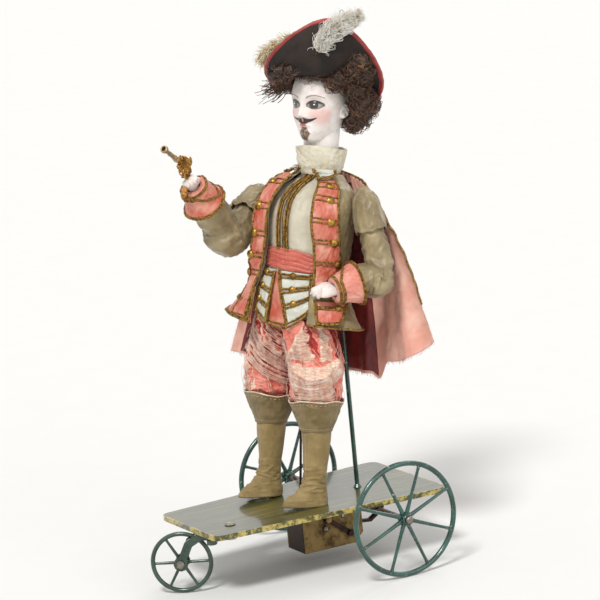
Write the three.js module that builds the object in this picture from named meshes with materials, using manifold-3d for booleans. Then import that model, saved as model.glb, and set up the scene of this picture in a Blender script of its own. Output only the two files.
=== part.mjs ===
// A clockwork automaton doll: a cavalier in a silk costume, standing on a painted board with three
// iron wheels. Millimetres, +Z up, forward is -Y and the figure's left is +X.
import * as THREE from "three";
import { mergeVertices } from "three/addons/utils/BufferGeometryUtils.js";
import Module from "manifold-3d";

const wasm = await Module();
wasm.setup();

// Clearances
const gap = 0.3;
const overrun = 2;
const workspace = 100;
const weld_distance = 1e-4;
const probe_height = 0.2;

// Board
const board_top = 40;
const board_thickness = 3.2;
const board_front_y = -108;
const board_rear_y = 47;
const board_front_half_width = 36.5;
const board_rear_half_width = 44.5;
const board_corner_radius = 7;

// Wheels and axles
const rear_wheel_radius = 35;
const rear_wheel_x = 72;
const rear_spoke_count = 8;
const front_wheel_radius = 18.8;
const front_spoke_count = 6;
const rim_radius = 1.6;
const rim_sides = 6;
const rim_steps = 26;
const spoke_hub_radius = 1.25;
const spoke_rim_radius = 0.85;
const rear_hub_radius = 3.6;
const rear_hub_length = 8;
const front_hub_radius = 2.8;
const front_hub_length = 6.4;
const rear_axle_radius = 1.5;
const axle_cap_radius = 2.4;
const axle_cap_length = 2;
const front_axle_radius = 1.2;

// Front fork, which swings on a bolt through the board
const fork_pivot_x = 18;
const fork_pivot_y = -88.6;
const fork_reach = 31;
const fork_steer_deg = -35;
const fork_plate_thickness = 3;
const fork_plate_half_width = 6;
const fork_plate_overhang = 2;
const fork_arm_root = 8;
const fork_arm_start = 1;
const fork_arm_bend = 3.5;
const fork_arm_width = 5;
const fork_arm_thickness = 1.7;
const fork_boss_radius = 4.4;
const fork_tab_length = 14;
const fork_tab_half_width = 3;
const pivot_bolt_radius = 1.5;
const pivot_head_radius = 3.6;
const pivot_head_height = 1.1;
const pivot_nut_height = 2;

// Clockwork under the board
const motor_front_y = -36.3;
const motor_rear_y = 4.5;
const motor_bottom = 8.5;
const motor_half_width = 11;
const motor_plate_thickness = 1;
const motor_chamfer = 6;
const pillar_radius = 1.6;
const gear_module = 0.6;
const great_wheel_teeth = 38;
const second_pinion_teeth = 8;
const second_wheel_teeth = 30;
const axle_pinion_teeth = 9;
const gear_thickness = 1.6;
const second_arbor_y = -8.5;
const great_arbor_y = -21.1;
const arbor_radius = 1;
const winding_arbor_radius = 1.5;
const winding_square = 2.2;
const winding_end_length = 5;
const barrel_radius = 10;
const barrel_length = 8;
const ratchet_radius = 5;
const ratchet_teeth = 12;
const click_length = 5;
const click_width = 1.6;
const click_boss_radius = 2;
const click_line_shares = [
  [1, 1],
  [0.4, 0.2],
  [0.12, -0.3],
];
const cam_radius = 3;
const cam_throw = 1.1;
const lever_length = 18.4;
const lever_width = 3;
const lever_thickness = 1.6;
const lever_angle_deg = -36.8;
const lever_pivot_y = -20;
const lever_pivot_z = 27;
const lever_knob_radius = 1.9;
const lever_screw_radius = 1.3;
const lever_screw_head = 1;
const stay_width = 4;
const stay_thickness = 1.6;
const stay_reach = 27;
const stay_line_shares = [
  [-0.074, 0.441],
  [0.259, 0.404],
  [0.556, 0.588],
  [0.741, 1],
  [1, 1],
];
const strap_x = 30;
const strap_width = 6;
const strap_half_length = 9;
const strap_thickness = 1;
const pinion_room = 1;

// Support rod behind the figure
const support_x = 2.7;
const support_y = 7.8;
const support_radius = 1.4;
const support_top = 197;
const support_flange_radius = 2.6;
const support_flange_height = 2;
const support_nut_radius = 3;
const support_nut_height = 2.4;

// Figure: where it stands, and how its parts lean back and turn
const stand_x = -1;
const stand_y = -36;
const leg_lean_deg = 6.5;
const leg_turn_deg = 14;
const hip_height = 111;
const hip_back = 3;
const body_lean_deg = 14.5;
const body_turn_deg = 32;
const head_lean_deg = 6;
const head_turn_deg = 15;

// Boots and breeches, by height up the leg
const leg_spacing = 40;
const ankle_radius = 6.6;
const ankle_height = 17;
const calf_radius = 9;
const calf_back = 1;
const cuff_bottom_height = 46;
const cuff_top_height = 65;
const cuff_top_radius = 17;
const cuff_thickness = 1.2;
const shank_top_height = 58;
const shank_top_radius = 8.4;
const foot_length = 29;
const foot_heel = 8;
const foot_half_width = 6.4;
const foot_height = 9;
const foot_turn_deg = -18;
const foot_sink = 3;
const foot_station_shares = [0, 0.12, 0.35, 0.62, 0.85, 1];
const foot_width_shares = [0.62, 0.95, 0.95, 1, 0.72, 0.3];
const foot_height_shares = [1.6, 1.7, 1.5, 0.85, 0.5, 0.22];
const foot_sole_share = 0.35;
const foot_hole_length = 15;
const foot_hole_width = 8;
const breeches_hem_height = 63.5;
const breeches_hem_radius = 12.6;
const breeches_radius = 16.2;
const breeches_top_half_width = 26;
const breeches_half_depth = 16.5;
const breeches_fold_count = 9;
const breeches_fold_depth = 0.7;

// Push rod that works the arm
const push_rod_radius = 0.8;
const push_rod_back = 7;
const push_rod_top = 172;
const push_rod_foot_z = 35.3;
const push_rod_travel = 3.2;

// Trunk, by share of its height
const trunk_height = 88;
const trunk_half_width = 25;
const trunk_half_depth = 19;
const trunk_squareness = 2.3;
const trunk_height_shares = [-0.2, 0, 0.18, 0.36, 0.52, 0.68, 0.8, 0.89, 0.95, 1];
const trunk_width_shares = [1.05, 1, 0.98, 0.96, 1, 1.02, 1.0, 0.86, 0.58, 0.42];
const trunk_depth_shares = [0.98, 0.93, 0.92, 0.9, 0.98, 1.05, 0.98, 0.76, 0.6, 0.55];
const trunk_back_shares = [0, 0, 0, 0.01, -0.06, -0.12, -0.05, 0.12, 0.24, 0.3];
const cloth_thickness = 1.1;
const cloth_gap = 0.5;
const sash_bottom = 29;
const sash_top = 41;
const sash_tuck_deg = 12;
const jacket_bottom = -2;
const jacket_top = 83;
const jacket_left_edge_deg = 34;
const jacket_right_edge_deg = -44;
const jacket_collar_edge_deg = 22;
const skirt_flare = 15;
const skirt_top = 27;
const facing_width_deg = 38;
const facing_bottom = 17;
const facing_top = 82;
const peplum_bottom = -3;
const peplum_top = 15;
const peplum_extra_deg = 14;
const armpit_bottom = 36;
const flap_top = 26;
const flap_bottom = -6;
const flap_flare = 3.5;
const flap_left_edges_deg = [-14, 33];
const flap_right_edges_deg = [-43, -17];
const neck_back = 6;

// Collar
const collar_bottom = -1.5;
const collar_height = 15.5;
const collar_bottom_radius = 11.9;
const collar_top_radius = 14.8;
const collar_thickness = 1;

// Arms, in the trunk's frame
const shoulder_x = 37.5;
const left_shoulder_x = 36.2;
const right_shoulder_z = 67;
const left_shoulder_z = 72;
const left_shoulder_back = 1;
const shoulder_radius = 8.6;
const right_elbow = new THREE.Vector3(-40.5, -21, 42);
const right_wrist = new THREE.Vector3(-49, -58, 71.5);
const left_elbow = new THREE.Vector3(50.5, 3, 34.5);
const left_wrist = new THREE.Vector3(33, -20.5, 22);
const elbow_radius = 11.5;
const left_elbow_radius = 10;
const forearm_radius = 11;
const left_forearm_radius = 10;
const wrist_radius = 4.4;
const cuff_radius = 12.4;
const cuff_hand_radius = 8.2;
const cuff_length = 15;
const cuff_wall = 1.1;
const sleeve_flat = 28.6;
const shoulder_pin_radius = 1.1;
const crank_length = 6;
const crank_x = -3.4;
const crank_room_outward = 3.1;
const crank_room_inward = 4.9;
const crank_room_forward = 3;
const crank_room_below = 5;
const hand_length = 14;
const hand_half_width = 4.6;
const hand_half_thickness = 2.6;
const finger_radius = 1.25;
const finger_count = 4;
const finger_step = 0.8;
const hand_root_length = 4;
const hand_room_length = 5;
const right_palm_side = new THREE.Vector3(0.9, -0.3, -0.3);
const left_palm_side = new THREE.Vector3(0.2, 0.9, -0.2);
const grip_share = 0.75;

// Pistol
const pistol_rise_deg = 20;
const pistol_turn_deg = -2;
const pistol_barrel_radius = 1.5;
const pistol_barrel_length = 17;
const pistol_muzzle_radius = 2.3;
const pistol_lock_length = 13;
const pistol_lock_thickness = 3.2;
const pistol_butt_radius = 1.7;
const pistol_butt_length = 12.5;
const pistol_butt_top = new THREE.Vector3(0, -2, 3.4);
const pistol_lock_z = 4.6;
const pistol_lock_height = 4;
const lock_room_half_width = 2.4;
const lock_room_back = 3;
const lock_room_bottom = 1;
const lock_room_top = 9;
const hammer_height = 6;
const hammer_width = 1.6;

// Cape, from the shoulders to the hem
const cape_thickness = 1;
const cape_drop = 108;
const cape_shoulder_z = 79;
const cape_shoulder_back = 7.75;
const cape_yoke_back = 11.5;
const cape_swell = 4;
const cape_shoulder_half_width = 30;
const cape_hem_half_width = 66;
const cape_hem_shift = 17;
const cape_back = 22;
const cape_hem_back = 33;
const cape_corner_rise = 27;
const cape_fold_count = 4;
const cape_fold_depth = 3.2;

// Head, in its own frame from the seat of the neck
const neck_radius = 9.6;
const neck_flare = 0.8;
const neck_flare_height = 6;
const neck_waist_height = 15;
const neck_top_height = 35;
const neck_top_back = 2;
const neck_clearance = 1.5;
const head_centre_z = 43;
const head_half_width = 15.6;
const head_half_depth = 19;
const head_half_height = 23.5;
const head_squareness = 2.15;
const head_height_shares = [-1, -0.92, -0.72, -0.45, -0.1, 0.25, 0.6, 0.86, 0.97];
const head_width_shares = [0.36, 0.5, 0.68, 0.84, 0.97, 1, 0.86, 0.53, 0.26];
const head_front_shares = [0.62, 0.78, 0.86, 0.92, 0.94, 0.98, 0.86, 0.5, 0.2];
const head_back_shares = [0.1, 0.3, 0.6, 0.84, 0.98, 1, 0.9, 0.6, 0.3];
const chin_z = 23.5;
const chin_forward = 11;
const chin_radius = 4;
const nose_length = 4.2;
const nose_z = 35;
const nose_forward_shares = [-0.714, 0.119, 0.55, -0.476];
const nose_rise_shares = [2.143, 1.19, 0.143, -0.476];
const nose_radius_shares = [0.238, 0.357, 0.524, 0.333];
const ear_radius = 2.2;
const ear_back = 2.5;
const ear_z = 37;
const ear_room_radius = 6.2;
const ear_outward_shares = [-0.455, 0.273, -0.182];
const ear_rise_shares = [-1.818, 0, 2.045];
const ear_radius_shares = [0.545, 1, 0.636];
const hair_curl_radius = 9;
const hair_fringe_radius = 2.6;
const hair_curl_shares = [
  [1.385, 0.211, 0.831, 1.25],
  [1.513, 0.316, 0.627, 1.2],
  [0.936, 0.789, 0.525, 1.05],
  [0, 1, 0.627, 1.2],
  [-0.936, 0.684, 0.712, 1.1],
  [-1.192, 0.105, 0.898, 1],
  [-1.128, -0.474, 0.949, 0.7],
  [-0.256, 0.895, 0.864, 1.15],
  [1.128, -0.316, 0.949, 0.75],
];
const hair_fringe_shares = [
  [-1.256, 0, 0.932],
  [-0.75, -0.72, 0.966],
  [0, -0.98, 0.992],
  [0.75, -0.72, 0.966],
  [1.256, 0, 0.932],
];
const hat_z = 59;
const hat_crown_radius = 17.5;
const hat_crown_height = 15;
const hat_side_width = 15;
const hat_front_width = 39;
const hat_back_width = 22;
const hat_front_rise_deg = 74;
const hat_back_droop_deg = 28;
const hat_front_turn_deg = 37;
const hat_droop_turn_deg = 165;
const hat_thickness = 1.4;
const feather_width = 13;
const feather_thickness = 5;
const feather_front_turns_deg = [8, 14, 20, 28, 34];
const feather_front_reach_shares = [0.4, 0.55, 0.75, 0.95, 1.1];
const feather_back_turns_deg = [10, 28, 46, 64, 82];
const feather_back_rise = 1.2;

// Places worked out from the sizes above
const DEG = Math.PI / 180;
const board_under = board_top - board_thickness;
const deck_under = board_under - gap;
const rear_axle_z = rear_wheel_radius;
const front_axle_z = front_wheel_radius;
const axle_mesh = (gear_module * (second_wheel_teeth + axle_pinion_teeth)) / 2;
const second_arbor_z = rear_axle_z - Math.sqrt(axle_mesh ** 2 - second_arbor_y ** 2);
const great_mesh = (gear_module * (great_wheel_teeth + second_pinion_teeth)) / 2;
const great_drop = Math.sqrt(great_mesh ** 2 - (great_arbor_y - second_arbor_y) ** 2);
const great_arbor_z = second_arbor_z - great_drop;
const plate_inner_x = motor_half_width - motor_plate_thickness;
const great_wheel_x = plate_inner_x - gap - gear_thickness;
const barrel_x = great_wheel_x - gap - barrel_length;
const second_wheel_x = -plate_inner_x + gear_thickness;
const cam_x = barrel_x - gap - gear_thickness;
const layer = cloth_gap + cloth_thickness;

// Materials, one for each finish of the real toy
function finish(color, roughness, metalness = 0) {
  return new THREE.MeshStandardMaterial({ color, roughness, metalness });
}
const wheel_green = finish(0x1f5248, 0.45, 0.2);
const board_paint = finish(0x5b5a1c, 0.5);
const brass = finish(0xa8854a, 0.4, 0.9);
const dark_steel = finish(0x2b2724, 0.5, 0.8);
const bright_steel = finish(0xb9b6ae, 0.35, 0.9);
const gilt = finish(0xb98a3c, 0.35, 0.9);
const boot_cloth = finish(0x9c8257, 0.9);
const coral_silk = finish(0xd9745f, 0.55);
const pink_silk = finish(0xe0a18c, 0.65);
const taupe_satin = finish(0x8f8266, 0.5);
const cream_satin = finish(0xc9bfa2, 0.55);
const bisque = finish(0xe9dcd4, 0.45);
const hair = finish(0x3f2513, 0.9);
const black_felt = finish(0x1d1512, 0.9);
const ostrich = finish(0xd9cdb4, 0.95);

// Solids from three.js geometry, joined and cut with manifold-3d
function solid(geometry, matrix) {
  const plain = geometry.index ? geometry.toNonIndexed() : geometry.clone();
  for (const name of Object.keys(plain.attributes)) {
    if (name !== "position") plain.deleteAttribute(name);
  }
  if (matrix) plain.applyMatrix4(matrix);
  const merged = mergeVertices(plain, weld_distance);
  const vertProperties = merged.attributes.position.array;
  const triVerts = new Uint32Array(merged.index.array);
  const made = new wasm.Manifold(new wasm.Mesh({ numProp: 3, vertProperties, triVerts }));
  if (made.volume() > 0) return made;
  return new wasm.Manifold(new wasm.Mesh({ numProp: 3, vertProperties, triVerts: triVerts.reverse() }));
}

function join(first, ...others) {
  return others.reduce((sum, other) => sum.add(other), first);
}

function cut(first, ...tools) {
  return tools.reduce((rest, tool) => rest.subtract(tool), first);
}

function geometryOf(body) {
  const mesh = body.getMesh();
  const positions = new Float32Array(mesh.numVert * 3);
  for (let i = 0; i < mesh.numVert; i += 1) {
    const start = i * mesh.numProp;
    positions.set(mesh.vertProperties.subarray(start, start + 3), i * 3);
  }
  return new THREE.BufferGeometry()
    .setAttribute("position", new THREE.BufferAttribute(positions, 3))
    .setIndex(new THREE.BufferAttribute(mesh.triVerts, 1));
}

function piece(parent, name, shape, material) {
  const geometry = shape.isBufferGeometry ? shape : geometryOf(shape);
  const mesh = new THREE.Mesh(geometry, material);
  mesh.name = name;
  parent.add(mesh);
  return mesh;
}

function at(x, y, z) {
  return new THREE.Matrix4().makeTranslation(x, y, z);
}

function turnedTo(direction, origin) {
  const up = new THREE.Vector3(0, 0, 1);
  const turn = new THREE.Quaternion().setFromUnitVectors(up, direction.clone().normalize());
  return new THREE.Matrix4().compose(origin, turn, new THREE.Vector3(1, 1, 1));
}

function box(low, high) {
  const size = new THREE.Vector3().subVectors(high, low);
  const centre = new THREE.Vector3().addVectors(low, high).multiplyScalar(0.5);
  return solid(new THREE.BoxGeometry(size.x, size.y, size.z), at(centre.x, centre.y, centre.z));
}

function vec(x, y, z) {
  return new THREE.Vector3(x, y, z);
}

// A round bar from one point to another, with a radius at each end
function bar(from, to, radius, sides = 12, endRadius = radius) {
  const along = new THREE.Vector3().subVectors(to, from);
  const bars = new THREE.CylinderGeometry(endRadius, radius, along.length(), sides);
  bars.rotateX(Math.PI / 2);
  const middle = new THREE.Vector3().addVectors(from, to).multiplyScalar(0.5);
  return solid(bars, turnedTo(along, middle));
}

function barX(x0, x1, y, z, radius, sides = 12) {
  return bar(vec(x0, y, z), vec(x1, y, z), radius, sides);
}

// A profile of radius and height pairs, turned about +Z
function turned(profile, sides) {
  const points = profile.map(([radius, height]) => new THREE.Vector2(radius, height));
  const lathe = new THREE.LatheGeometry(points, sides);
  return lathe.rotateX(Math.PI / 2);
}

function ball(centre, radius, detail = 8) {
  return solid(new THREE.SphereGeometry(radius, detail * 2, detail), at(centre.x, centre.y, centre.z));
}

// A flat outline in (Y, Z), given thickness along +X from x
function plateX(shape, x, thickness) {
  const geometry = new THREE.ExtrudeGeometry(shape, { depth: thickness, bevelEnabled: false });
  const swap = new THREE.Matrix4().set(0, 0, 1, x, 1, 0, 0, 0, 0, 1, 0, 0, 0, 0, 0, 1);
  return solid(geometry, swap);
}

// A flat outline in (X, Y), given thickness along +Z from z
function plateZ(shape, z, thickness) {
  const geometry = new THREE.ExtrudeGeometry(shape, {
    depth: thickness,
    bevelEnabled: false,
    curveSegments: 6,
  });
  return solid(geometry, at(0, 0, z));
}

// A band of even width along an open line of points, for bent straps
function bandShape(points, width) {
  const line = points.map(([y, z]) => new THREE.Vector2(y, z));
  const sides = line.map((point, i) => {
    const before = line[Math.max(i - 1, 0)];
    const after = line[Math.min(i + 1, line.length - 1)];
    const along = new THREE.Vector2().subVectors(after, before).normalize();
    return new THREE.Vector2(-along.y, along.x).multiplyScalar(width / 2);
  });
  const left = line.map((point, i) => point.clone().add(sides[i]));
  const right = line.map((point, i) => point.clone().sub(sides[i])).reverse();
  return new THREE.Shape([...left, ...right]);
}

// A tube along a curve
function tube(curve, radius, sides, steps) {
  const section = new THREE.Shape();
  for (let i = 0; i < sides; i += 1) {
    const angle = (2 * Math.PI * i) / sides;
    const [x, y] = [radius * Math.cos(angle), radius * Math.sin(angle)];
    if (i === 0) section.moveTo(x, y);
    else section.lineTo(x, y);
  }
  return solid(new THREE.ExtrudeGeometry(section, { steps, extrudePath: curve }));
}

// A closed skin over rings of points, each ring with the same count, capped at both ends
function loft(rings) {
  const count = rings[0].length;
  const positions = [];
  const faces = [];
  for (const ring of rings) for (const point of ring) positions.push(point.x, point.y, point.z);
  for (let r = 0; r + 1 < rings.length; r += 1) {
    for (let i = 0; i < count; i += 1) {
      const a = r * count + i;
      const b = r * count + ((i + 1) % count);
      faces.push(a, b, b + count, a, b + count, a + count);
    }
  }
  const ends = [rings[0], rings[rings.length - 1]];
  ends.forEach((ring, end) => {
    const centre = ring.reduce((sum, point) => sum.add(point), vec(0, 0, 0)).divideScalar(count);
    const hub = positions.length / 3;
    positions.push(centre.x, centre.y, centre.z);
    const start = end ? (rings.length - 1) * count : 0;
    for (let i = 0; i < count; i += 1) {
      const a = start + i;
      const b = start + ((i + 1) % count);
      if (end) faces.push(a, b, hub);
      else faces.push(b, a, hub);
    }
  });
  const geometry = new THREE.BufferGeometry();
  geometry.setAttribute("position", new THREE.Float32BufferAttribute(positions, 3));
  geometry.setIndex(faces);
  return solid(geometry);
}

// A thin closed skin: point(u, v, offset) gives the place on the cloth and off it
function skin(point, inner, outer, across, down) {
  const positions = [];
  const faces = [];
  const sheet = (across + 1) * (down + 1);
  for (const offset of [inner, outer]) {
    for (let j = 0; j <= down; j += 1) {
      for (let i = 0; i <= across; i += 1) {
        const place = point(i / across, j / down, offset);
        positions.push(place.x, place.y, place.z);
      }
    }
  }
  const index = (i, j, side) => side * sheet + j * (across + 1) + i;
  const quad = (a, b, c, d) => faces.push(a, b, c, a, c, d);
  for (let j = 0; j < down; j += 1) {
    for (let i = 0; i < across; i += 1) {
      quad(index(i, j, 0), index(i, j + 1, 0), index(i + 1, j + 1, 0), index(i + 1, j, 0));
      quad(index(i, j, 1), index(i + 1, j, 1), index(i + 1, j + 1, 1), index(i, j + 1, 1));
    }
    quad(index(0, j, 0), index(0, j, 1), index(0, j + 1, 1), index(0, j + 1, 0));
    const last = across;
    quad(index(last, j, 0), index(last, j + 1, 0), index(last, j + 1, 1), index(last, j, 1));
  }
  for (let i = 0; i < across; i += 1) {
    quad(index(i, 0, 0), index(i + 1, 0, 0), index(i + 1, 0, 1), index(i, 0, 1));
    quad(index(i, down, 0), index(i, down, 1), index(i + 1, down, 1), index(i + 1, down, 0));
  }
  const geometry = new THREE.BufferGeometry();
  geometry.setAttribute("position", new THREE.Float32BufferAttribute(positions, 3));
  geometry.setIndex(faces);
  return solid(geometry);
}

// A value read off a smooth line through a table
function readOff(places, values, place) {
  const last = places.length - 1;
  let i = 0;
  while (i < last - 1 && place > places[i + 1]) i += 1;
  const share = THREE.MathUtils.clamp((place - places[i]) / (places[i + 1] - places[i]), 0, 1);
  const before = values[Math.max(i - 1, 0)];
  const after = values[Math.min(i + 2, last)];
  const [a, b] = [values[i], values[i + 1]];
  const slopeA = (b - before) / 2;
  const slopeB = (after - a) / 2;
  const cubic = 2 * share ** 3 - 3 * share ** 2;
  const startPull = share ** 3 - 2 * share ** 2 + share;
  const endPull = share ** 3 - share ** 2;
  return a * (1 + cubic) - b * cubic + slopeA * startPull + slopeB * endPull;
}

// An oval ring in a plane of +Z, squarer as the power grows past 2
function ovalPoint(angle, halfWidth, halfDepth, power) {
  const [s, c] = [Math.sin(angle), Math.cos(angle)];
  const x = halfWidth * Math.sign(s) * Math.abs(s) ** (2 / power);
  const y = -halfDepth * Math.sign(c) * Math.abs(c) ** (2 / power);
  return new THREE.Vector2(x, y);
}

function ovalRing(centre, halfWidth, halfDepth, z, sides, power = 2) {
  return Array.from({ length: sides }, (_, i) => {
    const point = ovalPoint((2 * Math.PI * i) / sides, halfWidth, halfDepth, power);
    return vec(centre.x + point.x, centre.y + point.y, z);
  });
}

// A limb: round rings square to a line through its joints
function limb(points, radii, sides) {
  const rings = points.map((point, i) => {
    const before = points[Math.max(i - 1, 0)];
    const after = points[Math.min(i + 1, points.length - 1)];
    const along = new THREE.Vector3().subVectors(after, before).normalize();
    const side = new THREE.Vector3().crossVectors(vec(1, 0, 0), along).normalize();
    const other = new THREE.Vector3().crossVectors(along, side);
    return Array.from({ length: sides }, (_, k) => {
      const angle = (2 * Math.PI * k) / sides;
      return point
        .clone()
        .addScaledVector(side, radii[i] * Math.cos(angle))
        .addScaledVector(other, radii[i] * Math.sin(angle));
    });
  });
  return loft(rings);
}

// Frames of the figure
function framed(parent, x, y, z, lean, turn) {
  const group = new THREE.Group();
  group.position.set(x, y, z);
  group.rotation.set(-lean * DEG, 0, turn * DEG, "XYZ");
  parent.add(group);
  return group;
}

const toy = new THREE.Group();
const legs = framed(toy, stand_x, stand_y, board_top, leg_lean_deg, leg_turn_deg);
const lean = leg_lean_deg * DEG;
const hip_y = stand_y + hip_height * Math.sin(lean) + hip_back;
const hip_z = board_top + hip_height * Math.cos(lean);
const upper = framed(toy, stand_x, hip_y, hip_z, body_lean_deg, body_turn_deg);
toy.updateMatrixWorld(true);
const neck_seat = upper.localToWorld(vec(0, neck_back, trunk_height));
const headGroup = framed(toy, neck_seat.x, neck_seat.y, neck_seat.z, head_lean_deg, head_turn_deg);
const fork = framed(toy, fork_pivot_x, fork_pivot_y, 0, 0, fork_steer_deg);
toy.updateMatrixWorld(true);

function moved(body, from, to) {
  const matrix = new THREE.Matrix4();
  if (to) matrix.copy(to.matrixWorld).invert();
  if (from) matrix.multiply(from.matrixWorld);
  return solid(geometryOf(body), matrix);
}

// Wheels
function wheel(x, y, z, radius, hubRadius, hubLength, axleRadius, spokes) {
  const rim = new THREE.TorusGeometry(radius - rim_radius, rim_radius, rim_sides, rim_steps);
  rim.rotateY(Math.PI / 2);
  let made = solid(rim, at(x, y, z));
  for (let i = 0; i < spokes; i += 1) {
    const angle = (2 * Math.PI * (i + 0.5)) / spokes;
    const direction = vec(0, Math.cos(angle), Math.sin(angle));
    const from = vec(x, y, z).addScaledVector(direction, hubRadius * 0.7);
    const to = vec(x, y, z).addScaledVector(direction, radius - rim_radius);
    made = join(made, bar(from, to, spoke_hub_radius, 4, spoke_rim_radius));
  }
  const half = hubLength / 2;
  const hub = barX(x - half, x + half, y, z, hubRadius);
  const bore = barX(x - half - overrun, x + half + overrun, y, z, axleRadius + gap);
  return cut(join(made, hub), bore);
}

function addRunningGear() {
  const hub = [rear_hub_radius, rear_hub_length, rear_axle_radius, rear_spoke_count];
  const left = wheel(rear_wheel_x, 0, rear_axle_z, rear_wheel_radius, ...hub);
  const right = wheel(-rear_wheel_x, 0, rear_axle_z, rear_wheel_radius, ...hub);
  piece(toy, "rear_wheel_left", left, wheel_green);
  piece(toy, "rear_wheel_right", right, wheel_green);
  const end = rear_wheel_x + rear_hub_length / 2 + gap;
  const cap = end + axle_cap_length;
  const axle = join(
    barX(-cap, cap, 0, rear_axle_z, rear_axle_radius),
    barX(end, cap, 0, rear_axle_z, axle_cap_radius),
    barX(-cap, -end, 0, rear_axle_z, axle_cap_radius),
  );
  piece(toy, "rear_axle", axle, bright_steel);
  for (const [side, sign] of [["left", 1], ["right", -1]]) {
    piece(toy, "axle_strap_" + side, axleStrap(sign * strap_x), dark_steel);
  }
}

// A strap under the board that hangs the rear axle
function axleStrap(x) {
  const belly = rear_axle_radius + gap + stay_thickness;
  const [x0, x1] = [x - strap_width / 2, x + strap_width / 2];
  const flange = box(
    vec(x0, -strap_half_length, deck_under - strap_thickness),
    vec(x1, strap_half_length, deck_under),
  );
  const round = barX(x0, x1, 0, rear_axle_z, belly);
  const above = box(
    vec(x0 - overrun, -belly - overrun, deck_under),
    vec(x1 + overrun, belly + overrun, board_top),
  );
  const bore = barX(x0 - overrun, x1 + overrun, 0, rear_axle_z, rear_axle_radius + gap);
  return cut(join(flange, round), above, bore);
}

// Board, with its corners rounded and holes for what passes through it
function boardOutline() {
  const [y0, y1, r] = [board_front_y, board_rear_y, board_corner_radius];
  const [w0, w1] = [board_front_half_width, board_rear_half_width];
  const shape = new THREE.Shape();
  shape.moveTo(-w0 + r, y0);
  shape.lineTo(w0 - r, y0);
  shape.quadraticCurveTo(w0, y0, w0, y0 + r);
  shape.lineTo(w1, y1 - r);
  shape.quadraticCurveTo(w1, y1, w1 - r, y1);
  shape.lineTo(-w1 + r, y1);
  shape.quadraticCurveTo(-w1, y1, -w1, y1 - r);
  shape.lineTo(-w0, y0 + r);
  shape.quadraticCurveTo(-w0, y0, -w0 + r, y0);
  return shape;
}

function footHole(side) {
  const oval = new THREE.Shape();
  oval.absellipse(0, 0, foot_hole_width / 2, foot_hole_length / 2, 0, 2 * Math.PI);
  const place = legs.localToWorld(vec((side * leg_spacing) / 2, -foot_length / 3, 0));
  const turn = new THREE.Matrix4().makeRotationZ((leg_turn_deg + foot_turn_deg) * DEG);
  const geometry = new THREE.ExtrudeGeometry(oval, {
    depth: board_thickness + 2 * overrun,
    bevelEnabled: false,
    curveSegments: 9,
  });
  return solid(geometry, at(place.x, place.y, board_under - overrun).multiply(turn));
}

function pushRodLine(height) {
  return legs.localToWorld(vec(0, push_rod_back, height));
}

function pushRodBore(from, to) {
  return bar(pushRodLine(from), pushRodLine(to), push_rod_radius + gap, 8);
}

function addBoard() {
  const pinion = gear_module * (axle_pinion_teeth / 2 + 1) + gap;
  const pocket = box(
    vec(second_wheel_x - gear_thickness - pinion_room, -pinion, board_under - overrun),
    vec(second_wheel_x + pinion_room, pinion, rear_axle_z + pinion + gap),
  );
  const board = cut(
    plateZ(boardOutline(), board_under, board_thickness),
    pocket,
    footHole(1),
    footHole(-1),
    pushRodBore(-board_thickness - overrun, overrun),
    bar(
      vec(support_x, support_y, 0),
      vec(support_x, support_y, board_top + overrun),
      support_radius + gap,
    ),
    bar(
      vec(fork_pivot_x, fork_pivot_y, 0),
      vec(fork_pivot_x, fork_pivot_y, board_top + overrun),
      pivot_bolt_radius + gap,
    ),
  );
  piece(toy, "board", board, board_paint);
}

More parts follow.
